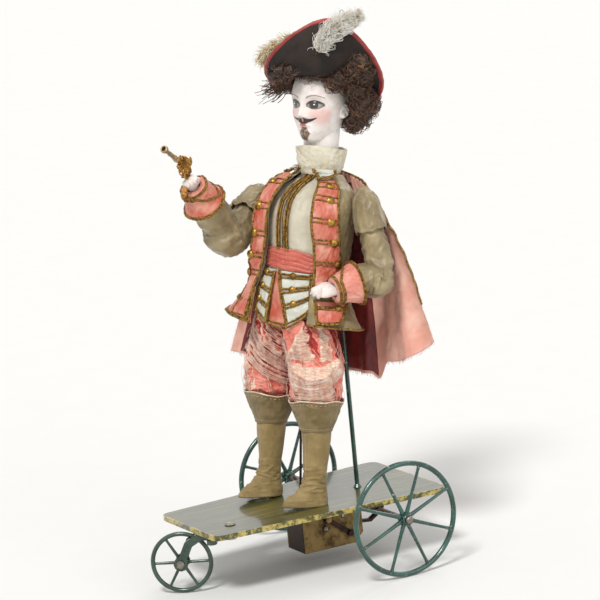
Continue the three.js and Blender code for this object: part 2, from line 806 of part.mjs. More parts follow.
// Front fork: a plate under the board and two arms down to the axle
function addFork() {
  const plate_top = deck_under;
  const plate_bottom = plate_top - fork_plate_thickness;
  const wheel_y = -fork_reach;
  const front = wheel_y + Math.sqrt(front_wheel_radius ** 2 - (plate_bottom - front_axle_z) ** 2);
  const inner = front_hub_length / 2 + gap;
  const outer = inner + fork_arm_thickness;
  const w = fork_plate_half_width;
  const crown = new THREE.Shape();
  crown.absarc(0, 0, w, 0, Math.PI);
  crown.lineTo(-outer, front + fork_plate_overhang);
  crown.lineTo(outer, front + fork_plate_overhang);
  const tab_y = front / 2;
  const tab = new THREE.Shape();
  tab.moveTo(0, tab_y - fork_tab_half_width);
  tab.absarc(fork_tab_length, tab_y, fork_tab_half_width, -Math.PI / 2, Math.PI / 2);
  tab.lineTo(0, tab_y + fork_tab_half_width);
  const mid_z = plate_bottom + fork_plate_thickness / 2;
  const armLine = [
    [front + fork_arm_root, mid_z],
    [front + fork_arm_start, mid_z],
    [(front + wheel_y - fork_arm_start) / 2, (mid_z + front_axle_z) / 2 + fork_arm_bend],
    [wheel_y, front_axle_z],
  ];
  const bolt = bar(vec(0, 0, 0), vec(0, 0, board_top), pivot_bolt_radius + gap);
  let made = join(
    plateZ(crown, plate_bottom, fork_plate_thickness),
    plateZ(tab, plate_bottom - fork_plate_thickness / 3, fork_plate_thickness),
  );
  for (const x of [inner, -outer]) {
    const arm = plateX(bandShape(armLine, fork_arm_width), x, fork_arm_thickness);
    const boss = barX(x, x + fork_arm_thickness, wheel_y, front_axle_z, fork_boss_radius);
    made = join(made, arm, boss);
  }
  const above = box(vec(-w * 4, -fork_reach, plate_top), vec(w * 4, w * 2, board_top));
  const bore = barX(-outer - overrun, outer + overrun, wheel_y, front_axle_z, front_axle_radius + gap);
  piece(fork, "front_fork", cut(made, above, bolt, bore), wheel_green);
  const head = axle_cap_length / 2;
  const pin = join(
    barX(-outer - gap - head, outer + gap + head, wheel_y, front_axle_z, front_axle_radius),
    barX(outer + gap, outer + gap + head, wheel_y, front_axle_z, axle_cap_radius),
    barX(-outer - gap - head, -outer - gap, wheel_y, front_axle_z, axle_cap_radius),
  );
  piece(fork, "front_axle", pin, brass);
  const hub = [front_hub_radius, front_hub_length, front_axle_radius, front_spoke_count];
  const made_wheel = wheel(0, wheel_y, front_axle_z, front_wheel_radius, ...hub);
  piece(fork, "front_wheel", made_wheel, wheel_green);
  const [px, py] = [fork_pivot_x, fork_pivot_y];
  const nut_bottom = plate_bottom - gap - pivot_nut_height;
  const shank_top = board_top + gap;
  const bolt_head = turned(
    [
      [0, shank_top],
      [pivot_head_radius, shank_top],
      [pivot_head_radius * 0.8, shank_top + pivot_head_height * 0.7],
      [0, shank_top + pivot_head_height],
    ],
    12,
  );
  const pivot = join(
    solid(bolt_head, at(px, py, 0)),
    bar(vec(px, py, nut_bottom), vec(px, py, shank_top + gap), pivot_bolt_radius),
    bar(vec(px, py, nut_bottom), vec(px, py, plate_bottom - gap), pivot_head_radius, 6),
  );
  piece(toy, "fork_pivot_bolt", pivot, bright_steel);
}

// Gears, with teeth cut short so that they run free
function gearShape(teeth, phase) {
  const pitch = (gear_module * teeth) / 2;
  const [tip, root] = [pitch + 0.75 * gear_module, pitch - 1.05 * gear_module];
  const tooth_shares = [
    [-0.36, root],
    [-0.12, tip],
    [0.12, tip],
    [0.36, root],
  ];
  const shape = new THREE.Shape();
  for (let i = 0; i < teeth; i += 1) {
    for (const [share, radius] of tooth_shares) {
      const angle = (2 * Math.PI * (i + share + phase)) / teeth;
      const [y, z] = [radius * Math.cos(angle), radius * Math.sin(angle)];
      if (i === 0 && share === tooth_shares[0][0]) shape.moveTo(y, z);
      else shape.lineTo(y, z);
    }
  }
  return shape;
}

function gear(teeth, phase, x, y, z, thickness, bore) {
  const body = solid(geometryOf(plateX(gearShape(teeth, phase), x, thickness)), at(0, y, z));
  return cut(body, barX(x - overrun, x + thickness + overrun, y, z, bore));
}

// A wheel's phase, so that one of its gaps meets a tooth of the gear it turns with
function meshPhase(teeth, otherTeeth, otherPhase, angle) {
  const facing = (angle / (2 * Math.PI)) * otherTeeth - otherPhase;
  const tooth_here = ((angle + Math.PI) / (2 * Math.PI)) * teeth;
  return tooth_here + facing + 0.5;
}

function motorPlate(x, holes) {
  const [y0, y1, z0, z1, c] = [
    motor_front_y,
    motor_rear_y,
    motor_bottom,
    deck_under,
    motor_chamfer,
  ];
  const outline = new THREE.Shape([
    new THREE.Vector2(y0, z0),
    new THREE.Vector2(y1 - c, z0),
    new THREE.Vector2(y1, z0 + c),
    new THREE.Vector2(y1, z1),
    new THREE.Vector2(y0, z1),
  ]);
  const far = x + motor_plate_thickness + overrun;
  const bores = holes.map(([y, z, r]) => barX(x - overrun, far, y, z, r));
  return cut(plateX(outline, x, motor_plate_thickness), ...bores);
}

function addMotor() {
  const holes = [
    [0, rear_axle_z, rear_axle_radius + gap],
    [second_arbor_y, second_arbor_z, arbor_radius + gap],
    [great_arbor_y, great_arbor_z, winding_arbor_radius + gap],
  ];
  piece(toy, "motor_plate_left", motorPlate(plate_inner_x, holes), brass);
  piece(toy, "motor_plate_right", motorPlate(-motor_half_width, holes), brass);
  const face = plate_inner_x - gap;
  const front = box(
    vec(-face, motor_front_y, motor_bottom),
    vec(face, motor_front_y + motor_plate_thickness, deck_under),
  );
  piece(toy, "motor_front_plate", front, dark_steel);
  const [y, z] = [motor_rear_y - motor_chamfer, motor_bottom + 2 * pillar_radius];
  piece(toy, "rear_pillar", barX(-face, face, y, z, pillar_radius, 12), brass);
}

function addTrain() {
  const axle_angle = Math.atan2(second_arbor_z - rear_axle_z, second_arbor_y);
  const great_angle = Math.atan2(great_arbor_z - second_arbor_z, great_arbor_y - second_arbor_y);
  const wheel_phase = meshPhase(second_wheel_teeth, axle_pinion_teeth, 0, axle_angle);
  const great_phase = meshPhase(great_wheel_teeth, second_pinion_teeth, 0, great_angle);
  const t = gear_thickness;
  const pinion_x = second_wheel_x - t;
  const axle_pinion = gear(axle_pinion_teeth, 0, pinion_x, 0, rear_axle_z, t, rear_axle_radius + gap);
  piece(toy, "axle_pinion", axle_pinion, brass);
  const [sy, sz] = [second_arbor_y, second_arbor_z];
  const second = gear(second_wheel_teeth, wheel_phase, pinion_x, sy, sz, t, arbor_radius + gap);
  piece(toy, "second_wheel", second, brass);
  const end = motor_half_width + gap;
  const solid_pinion = plateX(gearShape(second_pinion_teeth, 0), great_wheel_x, t);
  const arbor = join(
    barX(-end, end, sy, sz, arbor_radius, 12),
    solid(geometryOf(solid_pinion), at(0, sy, sz)),
  );
  piece(toy, "second_arbor", arbor, bright_steel);
  const cam_disc = barX(cam_x, cam_x + t, sy, sz - cam_throw, cam_radius);
  const cam_bore = barX(cam_x - overrun, cam_x + t + overrun, sy, sz, arbor_radius + gap);
  piece(toy, "lift_cam", cut(cam_disc, cam_bore), brass);
  const [gy, gz] = [great_arbor_y, great_arbor_z];
  const free = winding_arbor_radius + gap;
  const great = gear(great_wheel_teeth, great_phase, great_wheel_x, gy, gz, t, free);
  piece(toy, "great_wheel", great, brass);
  const drum = barX(barrel_x, barrel_x + barrel_length, gy, gz, barrel_radius, 24);
  const drum_end = barrel_x + barrel_length + overrun;
  const drum_bore = barX(barrel_x - overrun, drum_end, gy, gz, free);
  piece(toy, "spring_barrel", cut(drum, drum_bore), brass);
  const key_end = -motor_half_width - 2 * gap - gear_thickness - winding_end_length;
  const square = box(
    vec(key_end, gy - winding_square / 2, gz - winding_square / 2),
    vec(-motor_half_width, gy + winding_square / 2, gz + winding_square / 2),
  );
  const winding = join(
    barX(-motor_half_width - gap - t, motor_half_width + gap, gy, gz, winding_arbor_radius, 12),
    square,
  );
  piece(toy, "winding_arbor", winding, bright_steel);
  addRatchet(gy, gz);
}

// Ratchet on the winding arbor outside the right plate, and the click that holds it
function addRatchet(y, z) {
  const shape = new THREE.Shape();
  for (let i = 0; i < ratchet_teeth; i += 1) {
    const angle = (2 * Math.PI * i) / ratchet_teeth;
    const [outer, inner] = [ratchet_radius, ratchet_radius * 0.82];
    const next = angle + (2 * Math.PI * 0.9) / ratchet_teeth;
    if (i === 0) shape.moveTo(outer * Math.cos(angle), outer * Math.sin(angle));
    else shape.lineTo(outer * Math.cos(angle), outer * Math.sin(angle));
    shape.lineTo(inner * Math.cos(next), inner * Math.sin(next));
  }
  const x = -motor_half_width - gap - gear_thickness;
  const body = solid(geometryOf(plateX(shape, x, gear_thickness)), at(0, y, z));
  const free = winding_arbor_radius + gap;
  const bore = barX(x - overrun, x + gear_thickness + overrun, y, z, free);
  piece(toy, "ratchet_wheel", cut(body, bore), bright_steel);
  const reach = y + ratchet_radius + gap;
  const line = click_line_shares.map(([back, up]) => [
    reach + back * click_length,
    z + up * click_length,
  ]);
  const pawl = join(
    plateX(bandShape(line, click_width), x, gear_thickness),
    barX(x, x + gear_thickness, ...line[0], click_boss_radius),
  );
  piece(toy, "click", pawl, bright_steel);
}

// Stop lever on the outside of the left plate, its pivot screw, and the dark stay behind the motor
function addLeverAndStay() {
  const x = motor_half_width + gap;
  const [y, z] = [lever_pivot_y, lever_pivot_z];
  const angle = lever_angle_deg * DEG;
  const end = vec(x, y + lever_length * Math.cos(angle), z + lever_length * Math.sin(angle));
  const line = [
    [y, z],
    [end.y, end.z],
  ];
  const lever = cut(
    join(
      plateX(bandShape(line, lever_width), x, lever_thickness),
      barX(x, x + lever_thickness, y, z, lever_width * 0.8),
      barX(x, x + lever_thickness * 2, end.y, end.z, lever_knob_radius, 12),
    ),
    barX(x - overrun, x + lever_thickness + overrun, y, z, lever_screw_radius + gap),
  );
  piece(toy, "stop_lever", lever, dark_steel);
  const outside = x + lever_thickness + gap;
  const screw = join(
    barX(x, outside + lever_screw_head, y, z, lever_screw_radius),
    barX(outside, outside + lever_screw_head, y, z, lever_screw_radius * 1.6),
  );
  piece(toy, "stop_lever_screw", screw, brass);
  const stay_x = plate_inner_x - gap - stay_width;
  const stay_rise = deck_under - stay_thickness / 2 - motor_bottom;
  const stayLine = stay_line_shares.map(([back, up]) => [
    motor_rear_y + back * stay_reach,
    motor_bottom + up * stay_rise,
  ]);
  const stay = plateX(bandShape(stayLine, stay_thickness), stay_x, stay_width);
  const over = box(
    vec(stay_x - overrun, motor_rear_y, deck_under),
    vec(stay_x + stay_width + overrun, board_rear_y, board_top),
  );
  piece(toy, "rear_stay", cut(stay, over), dark_steel);
}

// Support rod: through the board, with a flange on it and a nut below, up into the figure's back
function supportBore() {
  const [x, y] = [support_x, support_y];
  return bar(vec(x, y, board_top), vec(x, y, support_top + gap), support_radius + gap);
}

function addSupport() {
  const [x, y] = [support_x, support_y];
  const low = deck_under - support_nut_height;
  const flange = board_top + gap;
  const rod = join(
    bar(vec(x, y, low), vec(x, y, support_top), support_radius),
    bar(
      vec(x, y, flange),
      vec(x, y, flange + support_flange_height),
      support_flange_radius,
      16,
      support_radius,
    ),
  );
  piece(toy, "support_rod", rod, wheel_green);
  const nut = cut(
    bar(vec(x, y, low), vec(x, y, deck_under), support_nut_radius, 6),
    bar(vec(x, y, low - overrun), vec(x, y, deck_under + overrun), support_radius + gap),
  );
  piece(toy, "support_rod_nut", nut, bright_steel);
}

// Push rod: a wire up between the legs, its foot bent back over the cam
function addPushRod() {
  const low = (push_rod_foot_z - board_top) / Math.cos(lean);
  const bend = pushRodLine(low);
  const tip = vec(cam_x + gear_thickness / 2, second_arbor_y, push_rod_foot_z);
  const wire = join(
    bar(pushRodLine(push_rod_top), bend, push_rod_radius, 8),
    bar(bend, tip, push_rod_radius, 8),
    ball(bend, push_rod_radius * 1.05, 4),
  );
  piece(toy, "push_rod", wire, dark_steel);
}

// Boots, in the legs' frame
function addBoots() {
  const floor = box(
    vec(-workspace, -workspace, -workspace),
    vec(workspace, workspace, board_top + gap),
  );
  for (const [side, sign] of [["left", 1], ["right", -1]]) {
    const x = (sign * leg_spacing) / 2;
    const ankle = new THREE.Vector2(x, 0);
    const calf = new THREE.Vector2(x, calf_back);
    const shin = (ankle_radius + calf_radius) / 2;
    const sides = 14;
    const shank = loft([
      ovalRing(ankle, ankle_radius, ankle_radius, foot_height / 2, sides),
      ovalRing(ankle, ankle_radius, ankle_radius, ankle_height, sides),
      ovalRing(calf, shin, shin, (ankle_height + cuff_bottom_height) / 2, sides),
      ovalRing(calf, calf_radius, calf_radius, cuff_bottom_height - cuff_thickness, sides),
      ovalRing(calf, shank_top_radius, shank_top_radius, shank_top_height, sides),
    ]);
    const foot = bootFoot(x);
    const boot = moved(join(shank, foot), legs, null);
    piece(legs, "boot_" + side, moved(cut(boot, floor), null, legs), boot_cloth);
    piece(legs, "boot_cuff_" + side, bootCuff(x), boot_cloth);
  }
}

// A foot: half ovals from heel to toe on a flat sole
function bootFoot(x) {
  const rings = foot_station_shares.map((share, i) => {
    const y = foot_heel - share * foot_length;
    const half = foot_half_width * foot_width_shares[i];
    const height = foot_height * foot_height_shares[i];
    return Array.from({ length: 12 }, (_, k) => {
      const angle = (2 * Math.PI * k) / 12;
      const up = Math.max(Math.cos(angle), -foot_sole_share) + foot_sole_share;
      return vec(-half * Math.sin(angle), y, (height * up) / (1 + foot_sole_share));
    });
  });
  const turn = new THREE.Matrix4().makeRotationZ(foot_turn_deg * DEG);
  return solid(geometryOf(loft(rings)), at(x, 0, -foot_sink).multiply(turn));
}

function bootCuff(x) {
  const [z0, z1, t] = [cuff_bottom_height, cuff_top_height, cuff_thickness];
  const inner = calf_radius + gap;
  const rise = (z1 - z0) / 2;
  const profile = [
    [inner, z0],
    [inner + t, z0],
    [(inner + cuff_top_radius) / 2 + t, z0 + rise],
    [cuff_top_radius, z1],
    [cuff_top_radius - t, z1],
    [(inner + cuff_top_radius) / 2, z0 + rise],
    [inner, z0 + 2 * t],
    [inner, z0],
  ];
  return solid(turned(profile, 18), at(x, calf_back, 0));
}

// Breeches: two gathered legs that meet on the middle line under the trunk
function addBreeches() {
  const far = trunk_height;
  const seat = moved(box(vec(-far, -far, -gap), vec(far, far, far)), upper, legs);
  const bore = moved(pushRodBore(0, push_rod_top + push_rod_travel), null, legs);
  const support = moved(supportBore(), null, legs);
  const skirts = moved(skirtRoom(far), upper, legs);
  const top = hip_height + breeches_half_depth / 2;
  const height_shares = [0, 0.06, 0.3, 0.6, 0.85, 1];
  const grow_shares = [0, 0.85, 1, 1, 1, 1];
  const sides = 27;
  for (const [side, sign] of [["left", 1], ["right", -1]]) {
    const rings = height_shares.map((share, i) => {
      const z = THREE.MathUtils.lerp(breeches_hem_height, top, share);
      const radius = THREE.MathUtils.lerp(breeches_hem_radius, breeches_radius, grow_shares[i]);
      const inward = THREE.MathUtils.smoothstep(share, height_shares[2], 1);
      const edge = THREE.MathUtils.lerp(leg_spacing / 2 + radius, breeches_top_half_width, inward);
      const depth = THREE.MathUtils.lerp(radius, breeches_half_depth, inward);
      const depth_fold = i > 0 && i < 4 ? breeches_fold_depth : 0;
      return Array.from({ length: sides }, (_, k) => {
        const angle = (2 * Math.PI * k) / sides;
        const fold = Math.cos(breeches_fold_count * angle + i) * depth_fold;
        const point = ovalPoint(angle, radius + fold, depth + fold, 2);
        return vec(sign * (edge - radius) + point.x, point.y + calf_back, z);
      });
    });
    const middle = box(
      vec(sign > 0 ? -far : -gap / 2, -far, 0),
      vec(sign > 0 ? gap / 2 : far, far, 2 * far),
    );
    const fill = box(
      vec(sign > 0 ? 0 : -breeches_top_half_width / 2, -breeches_half_depth / 2, top - breeches_radius),
      vec(sign > 0 ? breeches_top_half_width / 2 : 0, breeches_half_depth / 2, top),
    );
    const leg = cut(join(loft(rings), fill), middle, seat, skirts, bore, support);
    piece(legs, "breeches_" + side, leg, coral_silk);
  }
}

// The space round the bottom of the trunk that the skirts hang in
function skirtRoom(far) {
  const low = flap_bottom - 3 * layer;
  const core = loft([low, 0].map((z) => trunkRing(z, 24, 0)));
  return cut(box(vec(-far, -far, low + gap), vec(far, far, 0)), core);
}

// Trunk surface: angle 0 is the front, growing towards the figure's left
function trunkBase(angle, z) {
  const share = z / trunk_height;
  const width = trunk_half_width * readOff(trunk_height_shares, trunk_width_shares, share);
  const depth = trunk_half_depth * readOff(trunk_height_shares, trunk_depth_shares, share);
  const back = trunk_half_depth * readOff(trunk_height_shares, trunk_back_shares, share);
  const point = ovalPoint(angle, width, depth, trunk_squareness);
  return vec(point.x, point.y + back, z);
}

function trunkRing(z, sides, offset) {
  return Array.from({ length: sides }, (_, i) => {
    const place = trunkPoint((2 * Math.PI * i) / sides, z, offset);
    return vec(place.x, place.y, z);
  });
}

function trunkPoint(angle, z, offset) {
  const place = trunkBase(angle, z);
  const step = 0.02;
  const across = trunkBase(angle + step, z).sub(trunkBase(angle - step, z));
  const up = trunkBase(angle, z + probe_height).sub(trunkBase(angle, z - probe_height));
  const normal = across.cross(up).normalize();
  return place.addScaledVector(normal, offset);
}

function flareAt(angle, z) {
  const below = THREE.MathUtils.clamp((skirt_top - z) / (skirt_top - jacket_bottom), 0, 1);
  return skirt_flare * below ** 1.4 * Math.sin(angle) ** 2;
}

function pinBore() {
  const below = right_shoulder_z - crank_length - crank_room_below;
  const low = vec(crank_x - crank_room_outward, -crank_length - crank_room_forward, below);
  const high = vec(crank_x + crank_room_inward, crank_length, right_shoulder_z + crank_length);
  return join(
    barX(-shoulder_x - overrun, crank_x, 0, right_shoulder_z, shoulder_pin_radius + gap),
    box(low, high),
  );
}

function seatBox() {
  return box(vec(-workspace, -workspace, -gap), vec(workspace, workspace, workspace));
}

function addTrunk() {
  const levels = trunk_height_shares.filter((share) => share >= 0);
  const whole = loft(levels.map((share) => trunkRing(share * trunk_height, 28, -gap)));
  const seat_top = moved(seatBox(), headGroup, upper);
  const rod = moved(pushRodBore(0, push_rod_top + push_rod_travel + gap), null, upper);
  const support = moved(supportBore(), null, upper);
  piece(upper, "trunk", cut(whole, seat_top, rod, support, pinBore()), cream_satin);
}

// A patch of cloth laid round the trunk between two angles and two heights
function patch(left, right, bottom, top, level, across, down, flare = () => 0) {
  const place = (u, v, offset) => {
    const z = THREE.MathUtils.lerp(top, bottom, v);
    const from = left(v) * DEG;
    const to = right(v) * DEG;
    const angle = THREE.MathUtils.lerp(from, to, u);
    return trunkPoint(angle, z, offset + flare(angle, z, u, v));
  };
  const inner = gap + level * layer;
  return skin(place, inner, inner + cloth_thickness, across, down);
}

function addJacket() {
  const support = moved(supportBore(), null, upper);
  const pin = pinBore();
  const sashFrom = () => jacket_right_edge_deg - sash_tuck_deg;
  const sashTo = () => jacket_left_edge_deg + sash_tuck_deg;
  const sash = patch(sashFrom, sashTo, sash_bottom, sash_top, 0, 12, 2);
  piece(upper, "sash", sash, coral_silk);
  const opening = (edge, v) =>
    THREE.MathUtils.lerp(Math.sign(edge) * jacket_collar_edge_deg, edge, Math.min(v * 1.6, 1));
  const left = (v) => opening(jacket_left_edge_deg, v);
  const right = (v) => 360 + opening(jacket_right_edge_deg, v);
  const coat = patch(left, right, jacket_bottom, jacket_top, 1, 22, 10, flareAt);
  const far = trunk_height;
  const side = box(vec(-far, -far, armpit_bottom), vec(gap - sleeve_flat, far, far));
  piece(upper, "jacket", cut(coat, support, pin, side), taupe_satin);
  const edges = { left: [left, 1], right: [(v) => right(v) - 360, -1] };
  for (const [name, [edge, sign]] of Object.entries(edges)) {
    const outer = (v) => edge(v) + sign * facing_width_deg;
    const [from, to] = sign > 0 ? [edge, outer] : [outer, edge];
    const strip = patch(from, to, facing_bottom, facing_top, 2, 4, 9, flareAt);
    piece(upper, "facing_" + name, cut(strip, side), coral_silk);
    const wide = facing_width_deg + peplum_extra_deg;
    const tabFrom = () => sign * (Math.abs(edge(1)) + (sign > 0 ? 0 : wide));
    const tabTo = () => sign * (Math.abs(edge(1)) + (sign > 0 ? wide : 0));
    const tab = patch(tabFrom, tabTo, peplum_bottom, peplum_top, 2, 6, 3, (angle, z) =>
      flareAt(angle, z) + 2 * gap,
    );
    piece(upper, "peplum_" + name, tab, coral_silk);
  }
  const swing = (angle, z, u, v) => flap_flare * v;
  const flaps = { left: flap_left_edges_deg, right: flap_right_edges_deg };
  for (const [side, [from, to]] of Object.entries(flaps)) {
    const flap = patch(() => from, () => to, flap_bottom, flap_top, 0, 4, 4, swing);
    piece(upper, "waistcoat_flap_" + side, flap, cream_satin);
  }
}

// Sleeves, cuffs, hands
function sleeve(shoulder, elbow, wrist, elbowRadius, forearmRadius, inside) {
  const toElbow = new THREE.Vector3().subVectors(elbow, shoulder);
  const toWrist = new THREE.Vector3().subVectors(wrist, elbow);
  const length_out = toWrist.length();
  const end = elbow.clone().addScaledVector(toWrist, 1 - (cuff_length * 0.8) / length_out);
  const points = [
    shoulder.clone().addScaledVector(toElbow, -0.22),
    shoulder.clone().addScaledVector(toElbow, -0.08),
    shoulder.clone().addScaledVector(toElbow, 0.35),
    shoulder.clone().addScaledVector(toElbow, 0.8),
    elbow.clone().addScaledVector(toElbow, 0.1).addScaledVector(toWrist, 0.08),
    elbow.clone().addScaledVector(toWrist, 0.3),
    end.clone().addScaledVector(toWrist, -0.04),
    end,
  ];
  const r = [
    shoulder_radius * 0.5,
    shoulder_radius * 0.92,
    shoulder_radius,
    elbowRadius * 0.92,
    elbowRadius,
    forearmRadius,
    forearm_radius * 1.06,
    cuff_hand_radius * 0.8,
  ];
  return cut(limb(points, r, 14), inside);
}

// The flat wall that the moving arm turns against
function armWall() {
  const far = trunk_height;
  return box(vec(-sleeve_flat, -far, -far), vec(0, far, 2 * far));
}

// A flared cuff turned back over the sleeve: open at the elbow end
function cuff(elbow, wrist) {
  const along = new THREE.Vector3().subVectors(wrist, elbow).normalize();
  const start = wrist.clone().addScaledVector(along, -cuff_length);
  const t = cuff_wall;
  const profile = [
    [wrist_radius + gap, cuff_length],
    [wrist_radius + gap, cuff_length - 2 * t],
    [cuff_hand_radius - t, cuff_length - 2 * t],
    [cuff_radius - t, 0],
    [cuff_radius, 0],
    [cuff_hand_radius, cuff_length],
    [wrist_radius + gap, cuff_length],
  ];
  return solid(turned(profile, 18), turnedTo(along, start));
}

function hand(frame, curl) {
  const palm_share = 0.5;
  const palm = hand_length * palm_share;
  const [w, t] = [hand_half_width, hand_half_thickness];
  const origin = new THREE.Vector2(0, 0);
  const body = loft([
    ovalRing(origin, w * 0.75, t * 1.1, -hand_root_length, 10),
    ovalRing(origin, w * 0.72, t * 1.05, 0, 10),
    ovalRing(origin, w, t, palm * 0.55, 10),
    ovalRing(origin, w * 0.95, t * 0.85, palm, 10),
  ]);
  const fingers = [];
  for (let i = 0; i < finger_count; i += 1) {
    const x = w * (-0.72 + (1.44 * i) / (finger_count - 1));
    const length = hand_length - palm - Math.abs(i - 1.4) * finger_step;
    const knuckle = vec(x, 0, palm * 0.9);
    const middle = knuckle.clone().add(vec(0, curl * length * 0.45, length * 0.5));
    const bent = length * (0.5 - Math.abs(curl) * 0.4);
    const tip = middle.clone().add(vec(0, curl * length * 0.65, bent));
    const radii = [finger_radius * 1.1, finger_radius, finger_radius * 0.7];
    fingers.push(limb([knuckle, middle, tip], radii, 5));
  }
  const root = vec(-w * 0.9, 0, palm * 0.2);
  const knuckle = root.clone().add(vec(-w * 0.35, curl * finger_radius * 1.6, palm * 0.4));
  const tip = knuckle.clone().add(vec(w * 0.15, curl * finger_radius * 2.4, palm * 0.4));
  const radii = [finger_radius * 1.3, finger_radius * 1.1, finger_radius * 0.8];
  const thumb = limb([root, knuckle, tip], radii, 5);
  return solid(geometryOf(join(body, ...fingers, thumb)), frame);
}

function handFrame(elbow, wrist, palmSide) {
  const along = new THREE.Vector3().subVectors(wrist, elbow).normalize();
  const across = palmSide.clone().addScaledVector(along, -palmSide.dot(along)).normalize();
  const side = new THREE.Vector3().crossVectors(across, along);
  return new THREE.Matrix4().makeBasis(side, across, along).setPosition(wrist);
}

const rightArm = new THREE.Group();
rightArm.position.set(-shoulder_x, 0, right_shoulder_z);
upper.add(rightArm);
toy.updateMatrixWorld(true);

function toArm(body) {
  return moved(body, upper, rightArm);
}

// Pistol, in the right hand
function pistolFrame() {
  const direction = new THREE.Vector3().subVectors(right_wrist, right_elbow).normalize();
  const grip = right_wrist.clone().addScaledVector(direction, hand_length * grip_share);
  const turn = new THREE.Euler(pistol_rise_deg * -DEG, 0, pistol_turn_deg * DEG, "ZXY");
  return new THREE.Matrix4().makeRotationFromEuler(turn).setPosition(grip);
}

function butt(extra) {
  return bar(
    vec(0, pistol_butt_length * 0.4, -pistol_butt_length * 0.75),
    pistol_butt_top,
    pistol_butt_radius * 0.9 + extra,
    12,
    pistol_butt_radius * 1.1 + extra,
  );
}

function addPistol() {
  const frame = pistolFrame();
  const lock_z = pistol_lock_z;
  const [front, h] = [-pistol_lock_length, pistol_lock_height];
  const lock = new THREE.Shape();
  lock.moveTo(h * 0.5, lock_z - h * 0.55);
  lock.quadraticCurveTo(front / 2, lock_z - h * 0.85, front, lock_z - h * 0.25);
  lock.lineTo(front, lock_z + h * 0.3);
  lock.quadraticCurveTo(front / 2, lock_z + h * 0.65, h * 0.65, lock_z + h * 0.5);
  const hammer = bandShape(
    [
      [-hammer_width * 0.625, lock_z + h * 0.25],
      [hammer_width * 0.75, lock_z + hammer_height * 0.6],
      [-hammer_width * 0.875, lock_z + hammer_height],
    ],
    hammer_width,
  );
  const pommel = vec(0, pistol_butt_length * 0.43, -pistol_butt_length * 0.8);
  const knob = ball(pommel, pistol_butt_radius * 1.3, 6);
  const stock = join(
    plateX(lock, -pistol_lock_thickness / 2, pistol_lock_thickness),
    plateX(hammer, -hammer_width / 2, hammer_width),
    butt(0),
    knob,
  );
  const muzzle = -pistol_lock_length - gap;
  const profile = [
    [0, 0],
    [pistol_barrel_radius * 1.25, 0],
    [pistol_barrel_radius, 2 * pistol_barrel_radius],
    [pistol_barrel_radius * 0.85, pistol_barrel_length - 2 * pistol_muzzle_radius],
    [pistol_muzzle_radius, pistol_barrel_length - pistol_muzzle_radius],
    [pistol_muzzle_radius, pistol_barrel_length],
    [pistol_muzzle_radius / 2, pistol_barrel_length],
    [pistol_muzzle_radius / 2, pistol_barrel_length - 2 * pistol_muzzle_radius],
    [0, pistol_barrel_length - 2 * pistol_muzzle_radius],
  ];
  const forward = turnedTo(vec(0, -1, 0), vec(0, muzzle, lock_z));
  const barrel = solid(turned(profile, 12), forward);
  piece(rightArm, "pistol_stock", toArm(solid(geometryOf(stock), frame)), gilt);
  piece(rightArm, "pistol_barrel", toArm(solid(geometryOf(barrel), frame)), bright_steel);
}

function addArms() {
  const rightShoulder = vec(-shoulder_x, 0, right_shoulder_z);
  const leftShoulder = vec(left_shoulder_x, left_shoulder_back, left_shoulder_z);
  const frame = pistolFrame();
  const rightHand = hand(handFrame(right_elbow, right_wrist, right_palm_side), 0.55);
  const buttRoom = join(butt(gap), ball(pistol_butt_top, pistol_butt_radius * 1.1 + gap, 6));
  const grip = solid(geometryOf(buttRoom), frame);
  const lockBox = box(
    vec(-lock_room_half_width, -pistol_lock_length - overrun, lock_room_bottom),
    vec(lock_room_half_width, lock_room_back, lock_room_top),
  );
  const lockRoom = solid(geometryOf(lockBox), frame);
  const rightCuff = cuff(right_elbow, right_wrist);
  const rightRadii = [elbow_radius, forearm_radius];
  const rightLimb = sleeve(rightShoulder, right_elbow, right_wrist, ...rightRadii, armWall());
  const rightSleeve = cut(rightLimb, armRoom(right_elbow, right_wrist));
  const pin = shoulderPin();
  const pin_end = -shoulder_x - 2 * gap - shoulder_pin_radius;
  const pin_hole = shoulder_pin_radius + gap;
  const pin_room = barX(pin_end, overrun - sleeve_flat, 0, right_shoulder_z, pin_hole, 12);
  piece(rightArm, "sleeve_right", toArm(cut(rightSleeve, pin_room)), taupe_satin);
  piece(rightArm, "cuff_right", toArm(rightCuff), coral_silk);
  piece(rightArm, "hand_right", toArm(largest(cut(rightHand, grip, lockRoom))), bisque);
  piece(rightArm, "shoulder_pin", toArm(pin), dark_steel);
  const leftHand = hand(handFrame(left_elbow, left_wrist, left_palm_side), 0.6);
  const leftRadii = [left_elbow_radius, left_forearm_radius];
  const leftRoom = trunkGrown(2 * layer + gap);
  const leftLimb = sleeve(leftShoulder, left_elbow, left_wrist, ...leftRadii, leftRoom);
  const leftSleeve = largest(cut(leftLimb, armRoom(left_elbow, left_wrist)));
  piece(upper, "sleeve_left", leftSleeve, taupe_satin);
  piece(upper, "cuff_left", cuff(left_elbow, left_wrist), coral_silk);
  piece(upper, "hand_left", leftHand, bisque);
}

